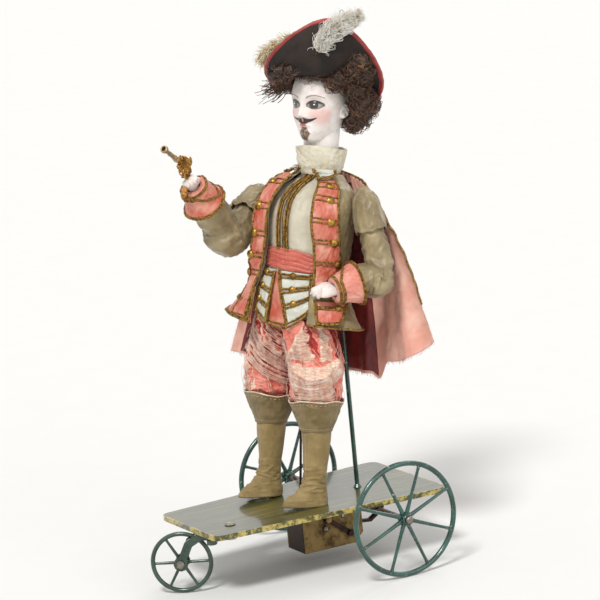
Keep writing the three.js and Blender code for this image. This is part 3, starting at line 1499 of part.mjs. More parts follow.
// Room inside a sleeve's end for the cuff round it and the hand that runs into it
function armRoom(elbow, wrist) {
  const along = new THREE.Vector3().subVectors(wrist, elbow).normalize();
  const start = wrist.clone().addScaledVector(along, -cuff_length - gap);
  const shell = turned(
    [
      [cuff_radius - cuff_wall - gap, 0],
      [cuff_radius + overrun * 2, 0],
      [cuff_radius + overrun * 2, cuff_length * 2],
      [0, cuff_length * 2],
      [0, cuff_length - 2 * cuff_wall - 2 * gap],
      [cuff_hand_radius - cuff_wall - gap, cuff_length - 2 * cuff_wall - 2 * gap],
      [cuff_radius - cuff_wall - gap, 0],
    ],
    16,
  );
  const rootRadius = Math.max(hand_half_width, hand_half_thickness) * 0.8 + gap;
  const from = wrist.clone().addScaledVector(along, -hand_room_length);
  const to = wrist.clone().addScaledVector(along, hand_room_length);
  const root = bar(from, to, rootRadius, 8);
  return join(solid(shell, turnedTo(along, start)), root);
}

// Shoulder pin with the crank that the push rod works, inside the trunk
function shoulderPin() {
  return join(
    barX(-shoulder_x, crank_x, 0, right_shoulder_z, shoulder_pin_radius, 12),
    bar(
      vec(crank_x, 0, right_shoulder_z),
      vec(crank_x, -crank_length * 0.7, right_shoulder_z - crank_length * 0.7),
      shoulder_pin_radius * 0.9,
      8,
    ),
    ball(vec(crank_x, 0, right_shoulder_z), shoulder_pin_radius * 1.2, 5),
  );
}

// Cape, hanging from the shoulders behind the figure, its left corner thrown out past the arm
function addCape() {
  const base = (across, down) => {
    const side = 2 * across - 1;
    const middle = 1 - side ** 2;
    const yoke = vec(
      cape_shoulder_half_width * side,
      cape_shoulder_back + cape_yoke_back * Math.sign(middle) * Math.abs(middle) ** 0.7,
      cape_shoulder_z + (cape_yoke_back * middle) / 3,
    );
    const hem = vec(
      cape_hem_half_width * side + cape_hem_shift,
      THREE.MathUtils.lerp(cape_hem_back, cape_back, side ** 2),
      cape_shoulder_z - cape_drop + cape_corner_rise * Math.max(side, 0) ** 3,
    );
    const place = yoke.lerp(hem, down);
    place.y += cape_swell * Math.sin(Math.PI * Math.min(down, 1)) * middle;
    place.y += cape_fold_depth * down * Math.cos(2 * Math.PI * cape_fold_count * across);
    return place;
  };
  const place = (u, v, offset) => {
    const step = 0.01;
    const across = base(u + step, v).sub(base(u - step, v));
    const downward = base(u, v + step).sub(base(u, Math.max(v - step, 0)));
    const normal = across.cross(downward).normalize();
    return base(u, v).addScaledVector(normal, offset);
  };
  piece(upper, "cape", skin(place, 0, cape_thickness, 22, 8), pink_silk);
}

// Collar: a stiff band round the neck and two points that lie on the shoulders
function addCollar() {
  const [r0, r1, t] = [collar_bottom_radius, collar_top_radius, collar_thickness];
  const top = collar_bottom + collar_height;
  const profile = [
    [r0 - t, collar_bottom],
    [r0, collar_bottom],
    [r1, top],
    [r1 - t, top],
    [r0 - t, collar_bottom],
  ];
  const band = solid(turned(profile, 24));
  const keep = cut(band, moved(trunkGrown(3 * layer + gap), upper, headGroup));
  piece(headGroup, "collar", largest(keep), cream_satin);
}

function trunkGrown(extra) {
  const sides = 20;
  const levels = trunk_height_shares.filter((share) => share >= 0);
  const rings = levels.map((share) =>
    Array.from({ length: sides }, (_, i) =>
      trunkPoint((2 * Math.PI * i) / sides, share * trunk_height, extra),
    ),
  );
  return loft(rings);
}

function largest(body) {
  const parts = body.decompose();
  return parts.reduce((best, next) => (next.volume() > best.volume() ? next : best));
}

// Head and neck in one piece of bisque
function headSolid(extra) {
  const sides = 20;
  const rings = head_height_shares.map((share, i) => {
    const z = head_centre_z + share * (head_half_height + extra);
    return Array.from({ length: sides }, (_, k) => {
      const angle = (2 * Math.PI * k) / sides;
      const depth_shares = Math.cos(angle) > 0 ? head_front_shares : head_back_shares;
      const depth = head_half_depth * depth_shares[i] + extra;
      const width = head_half_width * head_width_shares[i] + extra;
      const point = ovalPoint(angle, width, depth, head_squareness);
      return vec(point.x, point.y, z);
    });
  });
  return loft(rings);
}

function addHead() {
  const [r, foot, waist] = [neck_radius, neck_radius + neck_flare, neck_radius * 0.92];
  const axis = new THREE.Vector2(0, 0);
  const neck = loft([
    ovalRing(axis, foot, foot, gap, 16),
    ovalRing(axis, r, r, neck_flare_height, 16),
    ovalRing(axis, waist, waist, neck_waist_height, 16),
    ovalRing(new THREE.Vector2(0, neck_top_back), r, r * 1.05, neck_top_height, 16),
  ]);
  const front = -head_half_depth * 0.9;
  const noseLine = nose_forward_shares.map((share, i) =>
    vec(0, front - nose_length * share, nose_z + nose_length * nose_rise_shares[i]),
  );
  const noseRadii = nose_radius_shares.map((share) => nose_length * share);
  const nose = limb(noseLine, noseRadii, 8);
  const chin = ball(vec(0, -chin_forward, chin_z), chin_radius, 4);
  const earRadii = ear_radius_shares.map((share) => ear_radius * share);
  const ears = [1, -1].map((sign) => {
    const line = ear_outward_shares.map((share, i) => {
      const x = sign * (head_half_width + ear_radius * share);
      return vec(x, ear_back, ear_z + ear_radius * ear_rise_shares[i]);
    });
    return limb(line, earRadii, 6);
  });
  piece(headGroup, "head", join(headSolid(0), neck, nose, chin, ...ears), bisque);
}

// Hat: a low crown and a wide brim, turned up steeply on one side
function brimBase(angle, s) {
  const away = angle - hat_front_turn_deg * DEG;
  const facing = Math.cos(away);
  const up = Math.max(facing, 0) ** 1.3;
  const down = Math.max(Math.cos(angle - hat_droop_turn_deg * DEG), 0);
  const rise = (hat_front_rise_deg * up - hat_back_droop_deg * down) * DEG;
  const wider = (hat_front_width - hat_side_width) * up + (hat_back_width - hat_side_width) * down;
  const width = hat_side_width + wider;
  const curl = THREE.MathUtils.lerp(0.35, 1, s);
  const out = hat_crown_radius + width * s * Math.cos(rise * curl);
  const z = hat_z + width * s * Math.sin(rise * curl);
  return vec(out * Math.sin(angle), -out * Math.cos(angle), z);
}

function brimPoint(u, v, offset) {
  const angle = u * 2 * Math.PI;
  const step = 0.01;
  const across = brimBase(angle + step, v).sub(brimBase(angle - step, v));
  const outward = brimBase(angle, v + step).sub(brimBase(angle, v - step));
  const normal = across.cross(outward).normalize();
  return brimBase(angle, v).addScaledVector(normal, offset);
}

// The brim as a closed ring of skin, half a thickness and a little more to each side
function brimSolid(extra) {
  const [around, down] = [26, 4];
  const half = hat_thickness / 2 + extra;
  const lanes = [];
  for (let j = 0; j <= down; j += 1) lanes.push([j / down, half]);
  for (let j = down; j >= 0; j -= 1) lanes.push([j / down, -half]);
  const positions = [];
  const faces = [];
  for (const [v, offset] of lanes) {
    for (let i = 0; i < around; i += 1) {
      const place = brimPoint(i / around, v, offset);
      positions.push(place.x, place.y, place.z);
    }
  }
  for (let r = 0; r < lanes.length; r += 1) {
    for (let i = 0; i < around; i += 1) {
      const next = (r + 1) % lanes.length;
      const [a, b] = [r * around + i, r * around + ((i + 1) % around)];
      const [c, d] = [next * around + ((i + 1) % around), next * around + i];
      faces.push(a, b, c, a, c, d);
    }
  }
  const geometry = new THREE.BufferGeometry();
  geometry.setAttribute("position", new THREE.Float32BufferAttribute(positions, 3));
  geometry.setIndex(faces);
  return solid(geometry);
}

function addHat() {
  const [r, h, t] = [hat_crown_radius, hat_crown_height, hat_thickness];
  const crownProfile = [
    [r + t, hat_z - t],
    [r + t * 0.6, hat_z + h * 0.75],
    [r * 0.82, hat_z + h],
    [0, hat_z + h * 1.04],
    [0, hat_z + h * 1.04 - t],
    [r * 0.78, hat_z + h - t],
    [r - t * 0.4, hat_z + h * 0.7],
    [r - t * 0.2, hat_z - t],
    [r + t, hat_z - t],
  ];
  const crown = solid(turned(crownProfile, 18));
  piece(headGroup, "hat", join(brimSolid(0), crown), black_felt);
}

// Hair: curls bunched at both sides and the back of the head, under the hat
function addHair() {
  const onHead = ([x, y, z]) => vec(x * head_half_width, y * head_half_depth, z * hat_z);
  const balls = hair_curl_shares.map((shares) => {
    const place = onHead(shares);
    const geometry = new THREE.IcosahedronGeometry(hair_curl_radius * shares[3], 1);
    return solid(geometry, at(place.x, place.y, place.z));
  });
  const line = new THREE.CatmullRomCurve3(hair_fringe_shares.map(onHead));
  const fringe = tube(line, hair_fringe_radius, 5, 10);
  const above = box(
    vec(-workspace, -workspace, hat_z - hat_thickness - gap),
    vec(workspace, workspace, 2 * workspace),
  );
  const hatRoom = join(above, droopRoom());
  const made = cut(join(...balls, fringe), headRoom(), hatRoom);
  piece(headGroup, "wig", largest(made), hair);
}

function headRoom() {
  const top = vec(0, neck_top_back / 2, head_centre_z);
  const neck = bar(vec(0, 0, 0), top, neck_radius + neck_clearance, 8);
  const ears = [1, -1].map((sign) =>
    ball(vec(sign * head_half_width, ear_back, ear_z), ear_room_radius, 4),
  );
  return join(headSolid(gap), neck, ...ears);
}

// The space that the drooping part of the brim takes
function droopRoom() {
  const around = 20;
  const low = Array.from({ length: around }, (_, i) => {
    const angle = (2 * Math.PI * i) / around;
    return brimBase(angle, 1).add(vec(0, 0, -hat_thickness - gap));
  });
  const near = Array.from({ length: around }, (_, i) => {
    const angle = (2 * Math.PI * i) / around;
    return brimBase(angle, 0).add(vec(0, 0, -hat_thickness - gap));
  });
  const top = low.map((point) => vec(point.x, point.y, workspace));
  return loft([near, low, top]);
}

// Feathers on the hat: curled plumes as plain tapered forms
function plume(points) {
  const shares = [0.35, 0.9, 1, 0.85, 0.4];
  const curve = new THREE.CatmullRomCurve3(points);
  const rings = shares.map((share, i) => {
    const place = curve.getPoint(i / (shares.length - 1));
    const along = curve.getTangent(i / (shares.length - 1));
    const side = new THREE.Vector3().crossVectors(along, vec(0, 1, 0.2)).normalize();
    const other = new THREE.Vector3().crossVectors(side, along);
    return Array.from({ length: 12 }, (_, k) => {
      const angle = (2 * Math.PI * k) / 12;
      return place
        .clone()
        .addScaledVector(side, (feather_width / 2) * share * Math.cos(angle))
        .addScaledVector(other, (feather_thickness / 2) * share * Math.sin(angle));
    });
  });
  return loft(rings);
}

function addFeathers() {
  const up = hat_front_turn_deg * DEG;
  const lift = feather_thickness / 2 + hat_thickness + gap;
  const onBrim = (angle, share) => {
    const place = brimBase(up + angle * DEG, share);
    const outward = vec(Math.sin(up + angle * DEG), -Math.cos(up + angle * DEG), -0.25);
    return place.addScaledVector(outward, lift);
  };
  const front = feather_front_turns_deg.map((angle, i) => onBrim(angle, feather_front_reach_shares[i]));
  const cleared = largest(cut(plume(front), brimSolid(gap)));
  piece(headGroup, "feather_front", cleared, ostrich);
  const r = hat_crown_radius + feather_thickness / 2 + hat_thickness + gap;
  const behind = feather_back_turns_deg.map((angle, i) => {
    const turn = -angle * DEG;
    const z = hat_z + hat_thickness + feather_width / 2 + i * feather_back_rise;
    return vec(r * Math.sin(turn), -r * Math.cos(turn), z);
  });
  piece(headGroup, "feather_back", plume(behind), ostrich);
}

addRunningGear();
addBoard();
addFork();
addMotor();
addTrain();
addLeverAndStay();
addSupport();
addPushRod();
addBoots();
addBreeches();
addTrunk();
addJacket();
addArms();
addPistol();
addCape();
addCollar();
addHead();
addHat();
addHair();
addFeathers();

// The toy stands on its wheels, with its origin under the middle of its box
const bounds = new THREE.Box3().setFromObject(toy, true);
const middle = bounds.getCenter(vec(0, 0, 0));
toy.position.set(-middle.x, -middle.y, -bounds.min.z);

export default toy;
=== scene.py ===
import bpy
import math
import numpy as np
from mathutils import Matrix, Vector


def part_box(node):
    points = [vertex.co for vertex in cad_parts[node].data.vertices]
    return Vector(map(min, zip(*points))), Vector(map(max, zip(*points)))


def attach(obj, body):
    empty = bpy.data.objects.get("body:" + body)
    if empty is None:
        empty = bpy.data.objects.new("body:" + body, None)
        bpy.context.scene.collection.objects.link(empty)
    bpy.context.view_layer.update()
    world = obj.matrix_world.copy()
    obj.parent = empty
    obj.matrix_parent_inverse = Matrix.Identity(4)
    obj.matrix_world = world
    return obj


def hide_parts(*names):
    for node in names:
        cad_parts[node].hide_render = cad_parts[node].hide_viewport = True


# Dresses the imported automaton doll: finer pieces, cloth and finishes round the fixed frame.
# Lengths are millimetres in the toy's own frame, whose origin is on the floor under the rear axle.

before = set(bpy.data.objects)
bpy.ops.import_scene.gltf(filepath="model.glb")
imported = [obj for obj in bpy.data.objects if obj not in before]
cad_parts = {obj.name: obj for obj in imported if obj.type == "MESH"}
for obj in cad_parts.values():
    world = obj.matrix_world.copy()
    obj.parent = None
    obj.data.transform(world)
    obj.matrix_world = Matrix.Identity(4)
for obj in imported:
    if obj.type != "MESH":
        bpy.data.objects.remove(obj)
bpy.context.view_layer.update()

MM = 0.001
rear_wheel_radius = 35
axle_low, axle_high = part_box("rear_axle")
home = np.array((axle_low + axle_high) / 2) / MM - (0, 0, rear_wheel_radius)

gap = 0.3
TAU = 2 * math.pi


# Places and turns


def shifted(x, y, z):
    made = np.eye(4)
    made[:3, 3] = (x, y, z)
    return made


def turned(axis, degrees):
    made = np.eye(4)
    made[:3, :3] = Matrix.Rotation(math.radians(degrees), 3, axis)
    return made


def framed(x, y, z, lean, turn):
    return shifted(x, y, z) @ turned("X", -lean) @ turned("Z", turn)


def unit(vector):
    vector = np.asarray(vector, float)
    return vector / np.maximum(np.linalg.norm(vector, axis=-1, keepdims=True), 1e-12)


def along(direction, origin, across=(0, 0, 1)):
    """A frame at origin whose Z runs along the direction and whose Y leans towards across."""
    z = unit(direction)
    y = unit(np.asarray(across, float) - z * np.dot(across, z))
    made = np.eye(4)
    made[:3, 0], made[:3, 1], made[:3, 2] = np.cross(y, z), y, z
    made[:3, 3] = origin
    return made


def carried(points, matrix):
    return np.asarray(points, float) @ matrix[:3, :3].T + matrix[:3, 3]


def lerp(a, b, share):
    return a + (b - a) * share


def ease(low, high, value):
    share = np.clip((value - low) / (high - low), 0, 1)
    return share * share * (3 - 2 * share)


def bell(value, middle, width):
    return np.exp(-(((value - middle) / width) ** 2))


def xyz(x, y, z):
    """Three arrays as one array of points."""
    return np.stack(np.broadcast_arrays(x, y, z), axis=-1)


def round_angles(sides):
    return np.arange(sides) * TAU / sides


def circle(angles):
    return xyz(np.cos(angles), np.sin(angles), 0)


def off_angle(angle, middle):
    """The signed way from one angle to another, in radians."""
    return (angle - middle + math.pi) % TAU - math.pi


def shares_of(columns, rows):
    """Shares from 0 to 1 along the columns and along the rows of a grid."""
    return np.meshgrid(np.linspace(0, 1, columns), np.linspace(0, 1, rows))


def closed(loop, extra=1):
    return np.concatenate([loop, loop[:extra]])


UPRIGHT_X = along((1, 0, 0), (0, 0, 0))
LEGS = framed(-1, -36, 40, 6.5, 14)
UPPER = framed(-1, -20.434, 150.287, 14.5, 32)
HEAD = framed(*carried((0, 6, 88), UPPER), 6, 15)
FACE = HEAD @ turned("Z", 9)
FORK = framed(18, -88.6, 0, 0, -35)

eye_x = 7.2
eye_z = 42.4
lash_z = 33.0
lash_rise = 0.046


# Shapes


class Shape:
    """Points and faces of a mesh in millimetres, and the material's own coordinates."""

    def __init__(self, points, faces, local=None):
        self.points = np.asarray(points, float).reshape(-1, 3)
        self.faces = faces
        self.local = self.points if local is None else np.asarray(local, float).reshape(-1, 3)

    def moved(self, matrix):
        return Shape(carried(self.points, matrix), self.faces, self.local)


def joined(shapes):
    start, faces = 0, []
    for shape in shapes:
        faces += [face + start for face in shape.faces]
        start += len(shape.points)
    points = np.concatenate([shape.points for shape in shapes])
    return Shape(points, faces, np.concatenate([shape.local for shape in shapes]))


def quads(rows, columns, closed):
    index = np.arange(rows * columns).reshape(rows, columns)
    right = np.roll(index, -1, axis=1) if closed else index[:, 1:]
    left = index if closed else index[:, :-1]
    faces = np.stack([left[:-1], right[:-1], right[1:], left[1:]], axis=-1)
    return faces.reshape(-1, 4)


def woven(points, closed=False, local=None, out=None):
    """A grid of points, rows by columns, as an open cloth whose faces look the way out points."""
    faces = quads(*points.shape[:2], closed)
    if out is not None and (normals_of(points, closed) * out).sum() < 0:
        faces = faces[:, ::-1]
    return Shape(points, [faces], local)


def lofted(rings, local=None, start_cap=True, end_cap=True):
    """Rings of points, first to last, as a closed body."""
    rings = np.asarray(rings, float)
    rows, columns = rings.shape[:2]
    faces = [quads(rows, columns, True)]
    if start_cap:
        faces.append(np.arange(columns)[::-1].reshape(1, -1))
    if end_cap:
        faces.append(((rows - 1) * columns + np.arange(columns)).reshape(1, -1))
    return Shape(rings, faces, local)


def lathed(profile, sides=48, start_cap=True, end_cap=True):
    """A profile of (radius, height) turned about Z."""
    angles = round_angles(sides)
    ring = circle(angles)
    rings = [ring * radius + (0, 0, height) for radius, height in profile]
    return lofted(rings, None, start_cap, end_cap)


def rounded(profile, steps=4, share=0.3):
    """A profile with each inner corner cut to a curve."""
    profile = [np.asarray(p, float) for p in profile]
    made = [profile[0]]
    for before, here, after in zip(profile, profile[1:], profile[2:]):
        start, end = lerp(here, before, share), lerp(here, after, share)
        for k in range(steps + 1):
            t = k / steps
            made.append((1 - t) ** 2 * start + 2 * t * (1 - t) * here + t * t * end)
    return made + [profile[-1]]


def smooth_path(points, count):
    """Count points on a smooth line through the given ones."""
    points = np.asarray(points, float)
    padded = np.concatenate([[2 * points[0] - points[1]], points, [2 * points[-1] - points[-2]]])
    at = np.linspace(0, len(points) - 1, count)
    i = np.minimum(at.astype(int), len(points) - 2)
    t = (at - i)[:, None]
    a, b, c, d = padded[i], padded[i + 1], padded[i + 2], padded[i + 3]
    square, cube = 2 * a - 5 * b + 4 * c - d, 3 * b - a - 3 * c + d
    return 0.5 * (2 * b + (c - a) * t + square * t**2 + cube * t**3)


def smooth_run(values, count):
    """Count numbers on a smooth curve through the given ones."""
    return smooth_path([(value, 0, 0) for value in values], count)[:, 0]


def tube(path, radii, sides=8, flat=1.0, up=None):
    """A round or flattened tube along a path of points, with its ends closed."""
    path = np.asarray(path, float)
    radii = np.broadcast_to(np.asarray(radii, float), (len(path),))
    tangents = unit(np.gradient(path, axis=0))
    first = np.asarray(up if up is not None else (0.21, 0.37, 0.91), float)
    normals = np.empty_like(path)
    for i, tangent in enumerate(tangents):
        first = first - tangent * np.dot(first, tangent)
        first = first / max(np.linalg.norm(first), 1e-9)
        normals[i] = first
    sideways = np.cross(normals, tangents)
    angles = round_angles(sides)
    rings = (
        path[:, None]
        + sideways[:, None] * np.cos(angles)[None, :, None] * radii[:, None, None]
        + normals[:, None] * np.sin(angles)[None, :, None] * radii[:, None, None] * flat
    )
    return lofted(rings)


def cord(path, normals, radius=0.36, pitch=1.9, strands=2, sides=4):
    """A twisted metal-thread cord laid along a path, just proud of the cloth under it."""
    path = np.asarray(path, float)
    steps = np.linalg.norm(np.diff(path, axis=0), axis=1)
    run = np.concatenate([[0], np.cumsum(steps)])
    count = max(int(run[-1] / pitch * 6), 4)
    at = np.linspace(0, run[-1], count)
    line = np.stack([np.interp(at, run, path[:, k]) for k in range(3)], axis=-1)
    up = unit(np.stack([np.interp(at, run, normals[:, k]) for k in range(3)], axis=-1))
    sideways = unit(np.cross(unit(np.gradient(line, axis=0)), up))
    made = []
    for strand in range(strands):
        angle = (at / pitch * TAU + strand * TAU / strands)[:, None]
        offset = sideways * np.cos(angle) + up * (np.sin(angle) + 1)
        made.append(tube(line + offset * radius * 0.75, radius, sides))
    return joined(made)


def waves(points, size, seed, octaves=2):
    """Smooth noise of about -1 to 1 over points, with features of a size in millimetres."""
    draw = np.random.default_rng(seed)
    points = np.asarray(points, float)
    total, weight = 0, 1
    for octave in range(octaves):
        scale = TAU / size * 2**octave
        for _ in range(5):
            direction = unit(draw.normal(size=3)) * scale
            bend = unit(draw.normal(size=3)) * scale * 0.6
            phase = draw.uniform(0, TAU, 2)
            warp = 1.3 * np.sin(points @ bend + phase[0])
            total = total + weight * np.sin(points @ direction + phase[1] + warp)
        weight *= 0.5
    return total / 3


def creases(points, size, seed, octaves=2):
    """Sharp soft-sided folds: 1 on the ridge and falling away on both sides."""
    return 1 - np.minimum(np.abs(waves(points, size, seed, octaves)) * 1.6, 1)


def normals_of(grid, closed=False):
    """Unit normals of a grid of points, rows by columns."""
    down = np.gradient(grid, axis=0)
    if closed:
        across = (np.roll(grid, -1, axis=1) - np.roll(grid, 1, axis=1)) / 2
    else:
        across = np.gradient(grid, axis=1)
    return unit(np.cross(across, down))


def piece(name, shape, place, finish, replaces=(), body="root", modifiers=()):
    """Makes one object of the doll, in place, riding on its body."""
    points = ((carried(shape.points, place) + home) * MM).astype(np.float32)
    mesh = bpy.data.meshes.new(name)
    loops = np.concatenate([face.ravel() for face in shape.faces]).astype(np.int32)
    sizes = np.concatenate([np.full(len(face), face.shape[1]) for face in shape.faces])
    mesh.vertices.add(len(points))
    mesh.vertices.foreach_set("co", points.ravel())
    mesh.loops.add(len(loops))
    mesh.loops.foreach_set("vertex_index", loops)
    mesh.polygons.add(len(sizes))
    mesh.polygons.foreach_set("loop_start", (np.cumsum(sizes) - sizes).astype(np.int32))
    mesh.polygons.foreach_set("loop_total", sizes.astype(np.int32))
    mesh.update(calc_edges=True)
    mesh.polygons.foreach_set("use_smooth", np.ones(len(sizes), bool))
    local = mesh.attributes.new("local", "FLOAT_VECTOR", "POINT")
    local.data.foreach_set("vector", shape.local.astype(np.float32).ravel())
    made = bpy.data.objects.new(name, mesh)
    bpy.context.scene.collection.objects.link(made)
    mesh.materials.append(FINISHES[finish])
    for kind, settings in modifiers:
        modifier = made.modifiers.new(kind.lower(), kind)
        for key, value in settings.items():
            setattr(modifier, key, value)
    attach(made, body)
    if replaces:
        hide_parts(*replaces)


def thickened(thickness, offset=-1):
    return [("SOLIDIFY", {"thickness": thickness * MM, "offset": offset, "use_even_offset": False})]


# Finishes


def tint(text):
    """A colour written as six hex digits, as Blender's linear numbers."""
    shares = [int(text[i : i + 2], 16) / 255 for i in (0, 2, 4)]
    made = [c / 12.92 if c <= 0.04045 else ((c + 0.055) / 1.055) ** 2.4 for c in shares]
    return (*made, 1)


def socket_of(group, key):
    enabled = [socket for socket in group if socket.enabled]
    if isinstance(key, int):
        return enabled[key]
    return next(socket for socket in enabled if key in (socket.name, socket.identifier))


def operator(operation, swapped=False):
    def apply(self, other):
        pair = (other, self) if swapped else (self, other)
        return self.math(operation, *pair)

    return apply


class Reading:
    """A socket of a finish, on which arithmetic adds Math nodes."""

    def __init__(self, finish, socket):
        self.finish = finish
        self.socket = socket

    def math(self, operation, *values, clamp=False):
        settings = {"operation": operation, "use_clamp": clamp}
        return self.finish.add("ShaderNodeMath", settings, dict(enumerate(values)))

    __add__, __radd__ = operator("ADD"), operator("ADD", True)
    __sub__, __rsub__ = operator("SUBTRACT"), operator("SUBTRACT", True)
    __mul__, __rmul__ = operator("MULTIPLY"), operator("MULTIPLY", True)
    __truediv__, __pow__ = operator("DIVIDE"), operator("POWER")
    most, least = operator("MAXIMUM"), operator("MINIMUM")

    def clamped(self):
        return self.math("ADD", self, 0, clamp=True)

    def absolute(self):
        return self.math("ABSOLUTE", self)

    def sine(self):
        return self.math("SINE", self)

    def between(self, low, high):
        """0 at low, 1 at high, with a soft start and end."""
        settings = {"interpolation_type": "SMOOTHSTEP"}
        inputs = {"Value": self, "From Min": low, "From Max": high}
        return self.finish.add("ShaderNodeMapRange", settings, inputs)


class Finish:
    """One procedural material: its shader and the nodes that feed it."""

    def __init__(self, name, **settings):
        self.material = bpy.data.materials.new(name)
        self.material.use_nodes = True
        self.tree = self.material.node_tree
        self.tree.nodes.clear()
        output = self.tree.nodes.new("ShaderNodeOutputMaterial")
        self.shader = self.tree.nodes.new("ShaderNodeBsdfPrincipled")
        self.tree.links.new(self.shader.outputs[0], output.inputs[0])
        for key, value in settings.items():
            self.set(key.replace("_", " "), value)

    def feed(self, socket, value):
        if isinstance(value, Reading):
            self.tree.links.new(value.socket, socket)
        elif isinstance(value, str):
            socket.default_value = tint(value)
        else:
            socket.default_value = value

    def set(self, key, value):
        self.feed(next(s for s in self.shader.inputs if s.name == key), value)

    def add(self, kind, settings=None, inputs=None, output=0):
        node = self.tree.nodes.new(kind)
        for key, value in (settings or {}).items():
            if key == "stops":
                self.stop(node.color_ramp, value)
            else:
                setattr(node, key, value)
        for key, value in (inputs or {}).items():
            self.feed(socket_of(node.inputs, key), value)
        return Reading(self, socket_of(node.outputs, output))

    def stop(self, ramp, stops):
        for place, _ in stops[2:]:
            ramp.elements.new(place)
        for element, (place, colour) in zip(ramp.elements, stops):
            element.position = place
            element.color = tint(colour)

    def local(self):
        """The piece's own coordinates in millimetres."""
        return self.add("ShaderNodeAttribute", {"attribute_name": "local"}, None, "Vector")

    def place(self):
        """Coordinates in millimetres that ride with the piece."""
        object_place = self.add("ShaderNodeTexCoord", None, None, "Object")
        settings = {"operation": "SCALE"}
        return self.add("ShaderNodeVectorMath", settings, {"Vector": object_place, "Scale": 1 / MM})

    def stretched(self, place, x, y, z):
        return self.add("ShaderNodeVectorMath", {"operation": "MULTIPLY"}, {0: place, 1: (x, y, z)})

    def parts(self, place):
        node = self.tree.nodes.new("ShaderNodeSeparateXYZ")
        self.tree.links.new(place.socket, node.inputs[0])
        return [Reading(self, output) for output in node.outputs]

    def noise(self, place, size, detail=3, rough=0.55, warp=0):
        inputs = {"Vector": place, "Scale": 1 / size, "Detail": detail, "Roughness": rough}
        inputs["Distortion"] = warp
        return self.add("ShaderNodeTexNoise", None, inputs, "Fac")

    def cells(self, place, size):
        inputs = {"Vector": place, "Scale": 1 / size}
        return self.add("ShaderNodeTexVoronoi", {"feature": "F1"}, inputs, "Distance")

    def blend(self, factor, first, second):
        inputs = {"Factor": factor, "A": first, "B": second}
        settings = {"data_type": "RGBA", "blend_type": "MIX"}
        return self.add("ShaderNodeMix", settings, inputs, "Result")

    def ramp(self, value, stops):
        return self.add("ShaderNodeValToRGB", {"stops": stops}, {"Fac": value}, "Color")

    def bump(self, height, depth, strength=1.0):
        """Feeds the shader's normal from a height of 0 to 1, depth in millimetres."""
        inputs = {"Height": height, "Distance": depth * MM, "Strength": strength}
        self.set("Normal", self.add("ShaderNodeBump", None, inputs, "Normal"))


def weave_of(finish, place, size):
    """Crossed threads of a plain weave, 0 to 1, over a cloth's own coordinates."""
    x, y, _ = finish.parts(place)
    warp = (x * (TAU / size)).sine()
    weft = (y * (TAU / size)).sine()
    return (warp * weft) * 0.5 + 0.5


def silk(name, colour, faded, stained, thread=0.35, rough=0.42, sheen=0.25, slub=0.5):
    """Old dress silk: fine weave, slubs, faded patches and brown stains."""
    finish = Finish(name, Sheen_Weight=sheen, Sheen_Roughness=0.4, Specular_IOR_Level=0.5)
    place = finish.local()
    broad = finish.noise(place, 16, 3)
    fine = finish.noise(finish.stretched(place, 1, 0.12, 1), 0.8, 3)
    mottle = finish.noise(place, 2.6, 4, 0.65)
    base = finish.blend(broad.between(0.35, 0.68), colour, faded)
    base = finish.blend(mottle.between(0.62, 0.85) * 0.55, base, stained)
    base = finish.blend(fine.between(0.3, 0.75) * 0.22 * slub, base, faded)
    finish.set("Base Color", base)
    finish.set("Roughness", (mottle * 0.25 + (rough - 0.12)).clamped())
    weave = weave_of(finish, place, thread)
    finish.bump(weave * 0.5 + fine * 0.5 + mottle * 1.2, 0.12, 0.5)
    return finish.material


def gilt_thread(name, colour="a8823e", dark="4a3415"):
    """Metal thread gone brown in its hollows."""
    finish = Finish(name, Metallic=0.75)
    place = finish.place()
    age = finish.noise(place, 1.4, 3)
    finish.set("Base Color", finish.blend(age.between(0.35, 0.7), colour, dark))
    finish.set("Roughness", age * 0.3 + 0.3)
    finish.bump(finish.noise(place, 0.25, 2), 0.1, 0.6)
    return finish.material


def worn_brass(name, colour, dark, rough=0.36, grain=0.6):
    """Old lacquered brass with brown bloom and fine scratches."""
    finish = Finish(name, Metallic=1.0)
    place = finish.place()
    bloom = finish.noise(place, 7, 5, 0.65)
    specks = finish.cells(place, 1.1)
    scratches = finish.noise(finish.stretched(place, 1, 0.08, 1), 0.7, 2)
    base = finish.blend(bloom.between(0.4, 0.7), colour, dark)
    base = finish.blend((1 - specks.between(0.05, 0.25)) * 0.5, base, dark)
    finish.set("Base Color", base)
    finish.set("Roughness", (bloom * 0.35 + (rough - 0.1) + scratches * 0.08).clamped())
    finish.bump(scratches * grain + bloom, 0.08, 0.5)
    return finish.material


def steel(name, colour, dark, rough=0.35, metallic=1.0):
    """Plain iron or steel with dark pits and a dull bloom."""
    finish = Finish(name, Metallic=metallic)
    place = finish.place()
    bloom = finish.noise(place, 4, 5, 0.6)
    pits = finish.noise(place, 0.9, 3)
    base = finish.blend(bloom.between(0.38, 0.68), colour, dark)
    finish.set("Base Color", finish.blend(pits.between(0.6, 0.8) * 0.6, base, dark))
    finish.set("Roughness", (bloom * 0.4 + (rough - 0.12)).clamped())
    finish.bump(pits, 0.08, 0.6)
    return finish.material


def enamel(name, colour, light, worn, rough=0.22):
    """Glossy old enamel on wire: mottled green, chipped to pale metal."""
    finish = Finish(name, Metallic=0.15, Coat_Roughness=0.12)
    place = finish.place()
    broad = finish.noise(place, 9, 4, 0.6)
    chips = finish.noise(place, 2.1, 5, 0.7)
    specks = finish.noise(place, 0.7, 3, 0.6)
    base = finish.blend(broad.between(0.35, 0.7), colour, light)
    chipped = (chips.between(0.6, 0.7) + specks.between(0.68, 0.78)).clamped()
    base = finish.blend(chipped * 0.85, base, worn)
    finish.set("Base Color", base)
    finish.set("Coat Weight", (1 - chipped) * 0.6)
    finish.set("Roughness", chipped * 0.25 + rough)
    finish.bump(broad * 0.7 + (1 - chipped) * 0.5, 0.12, 0.6)
    return finish.material


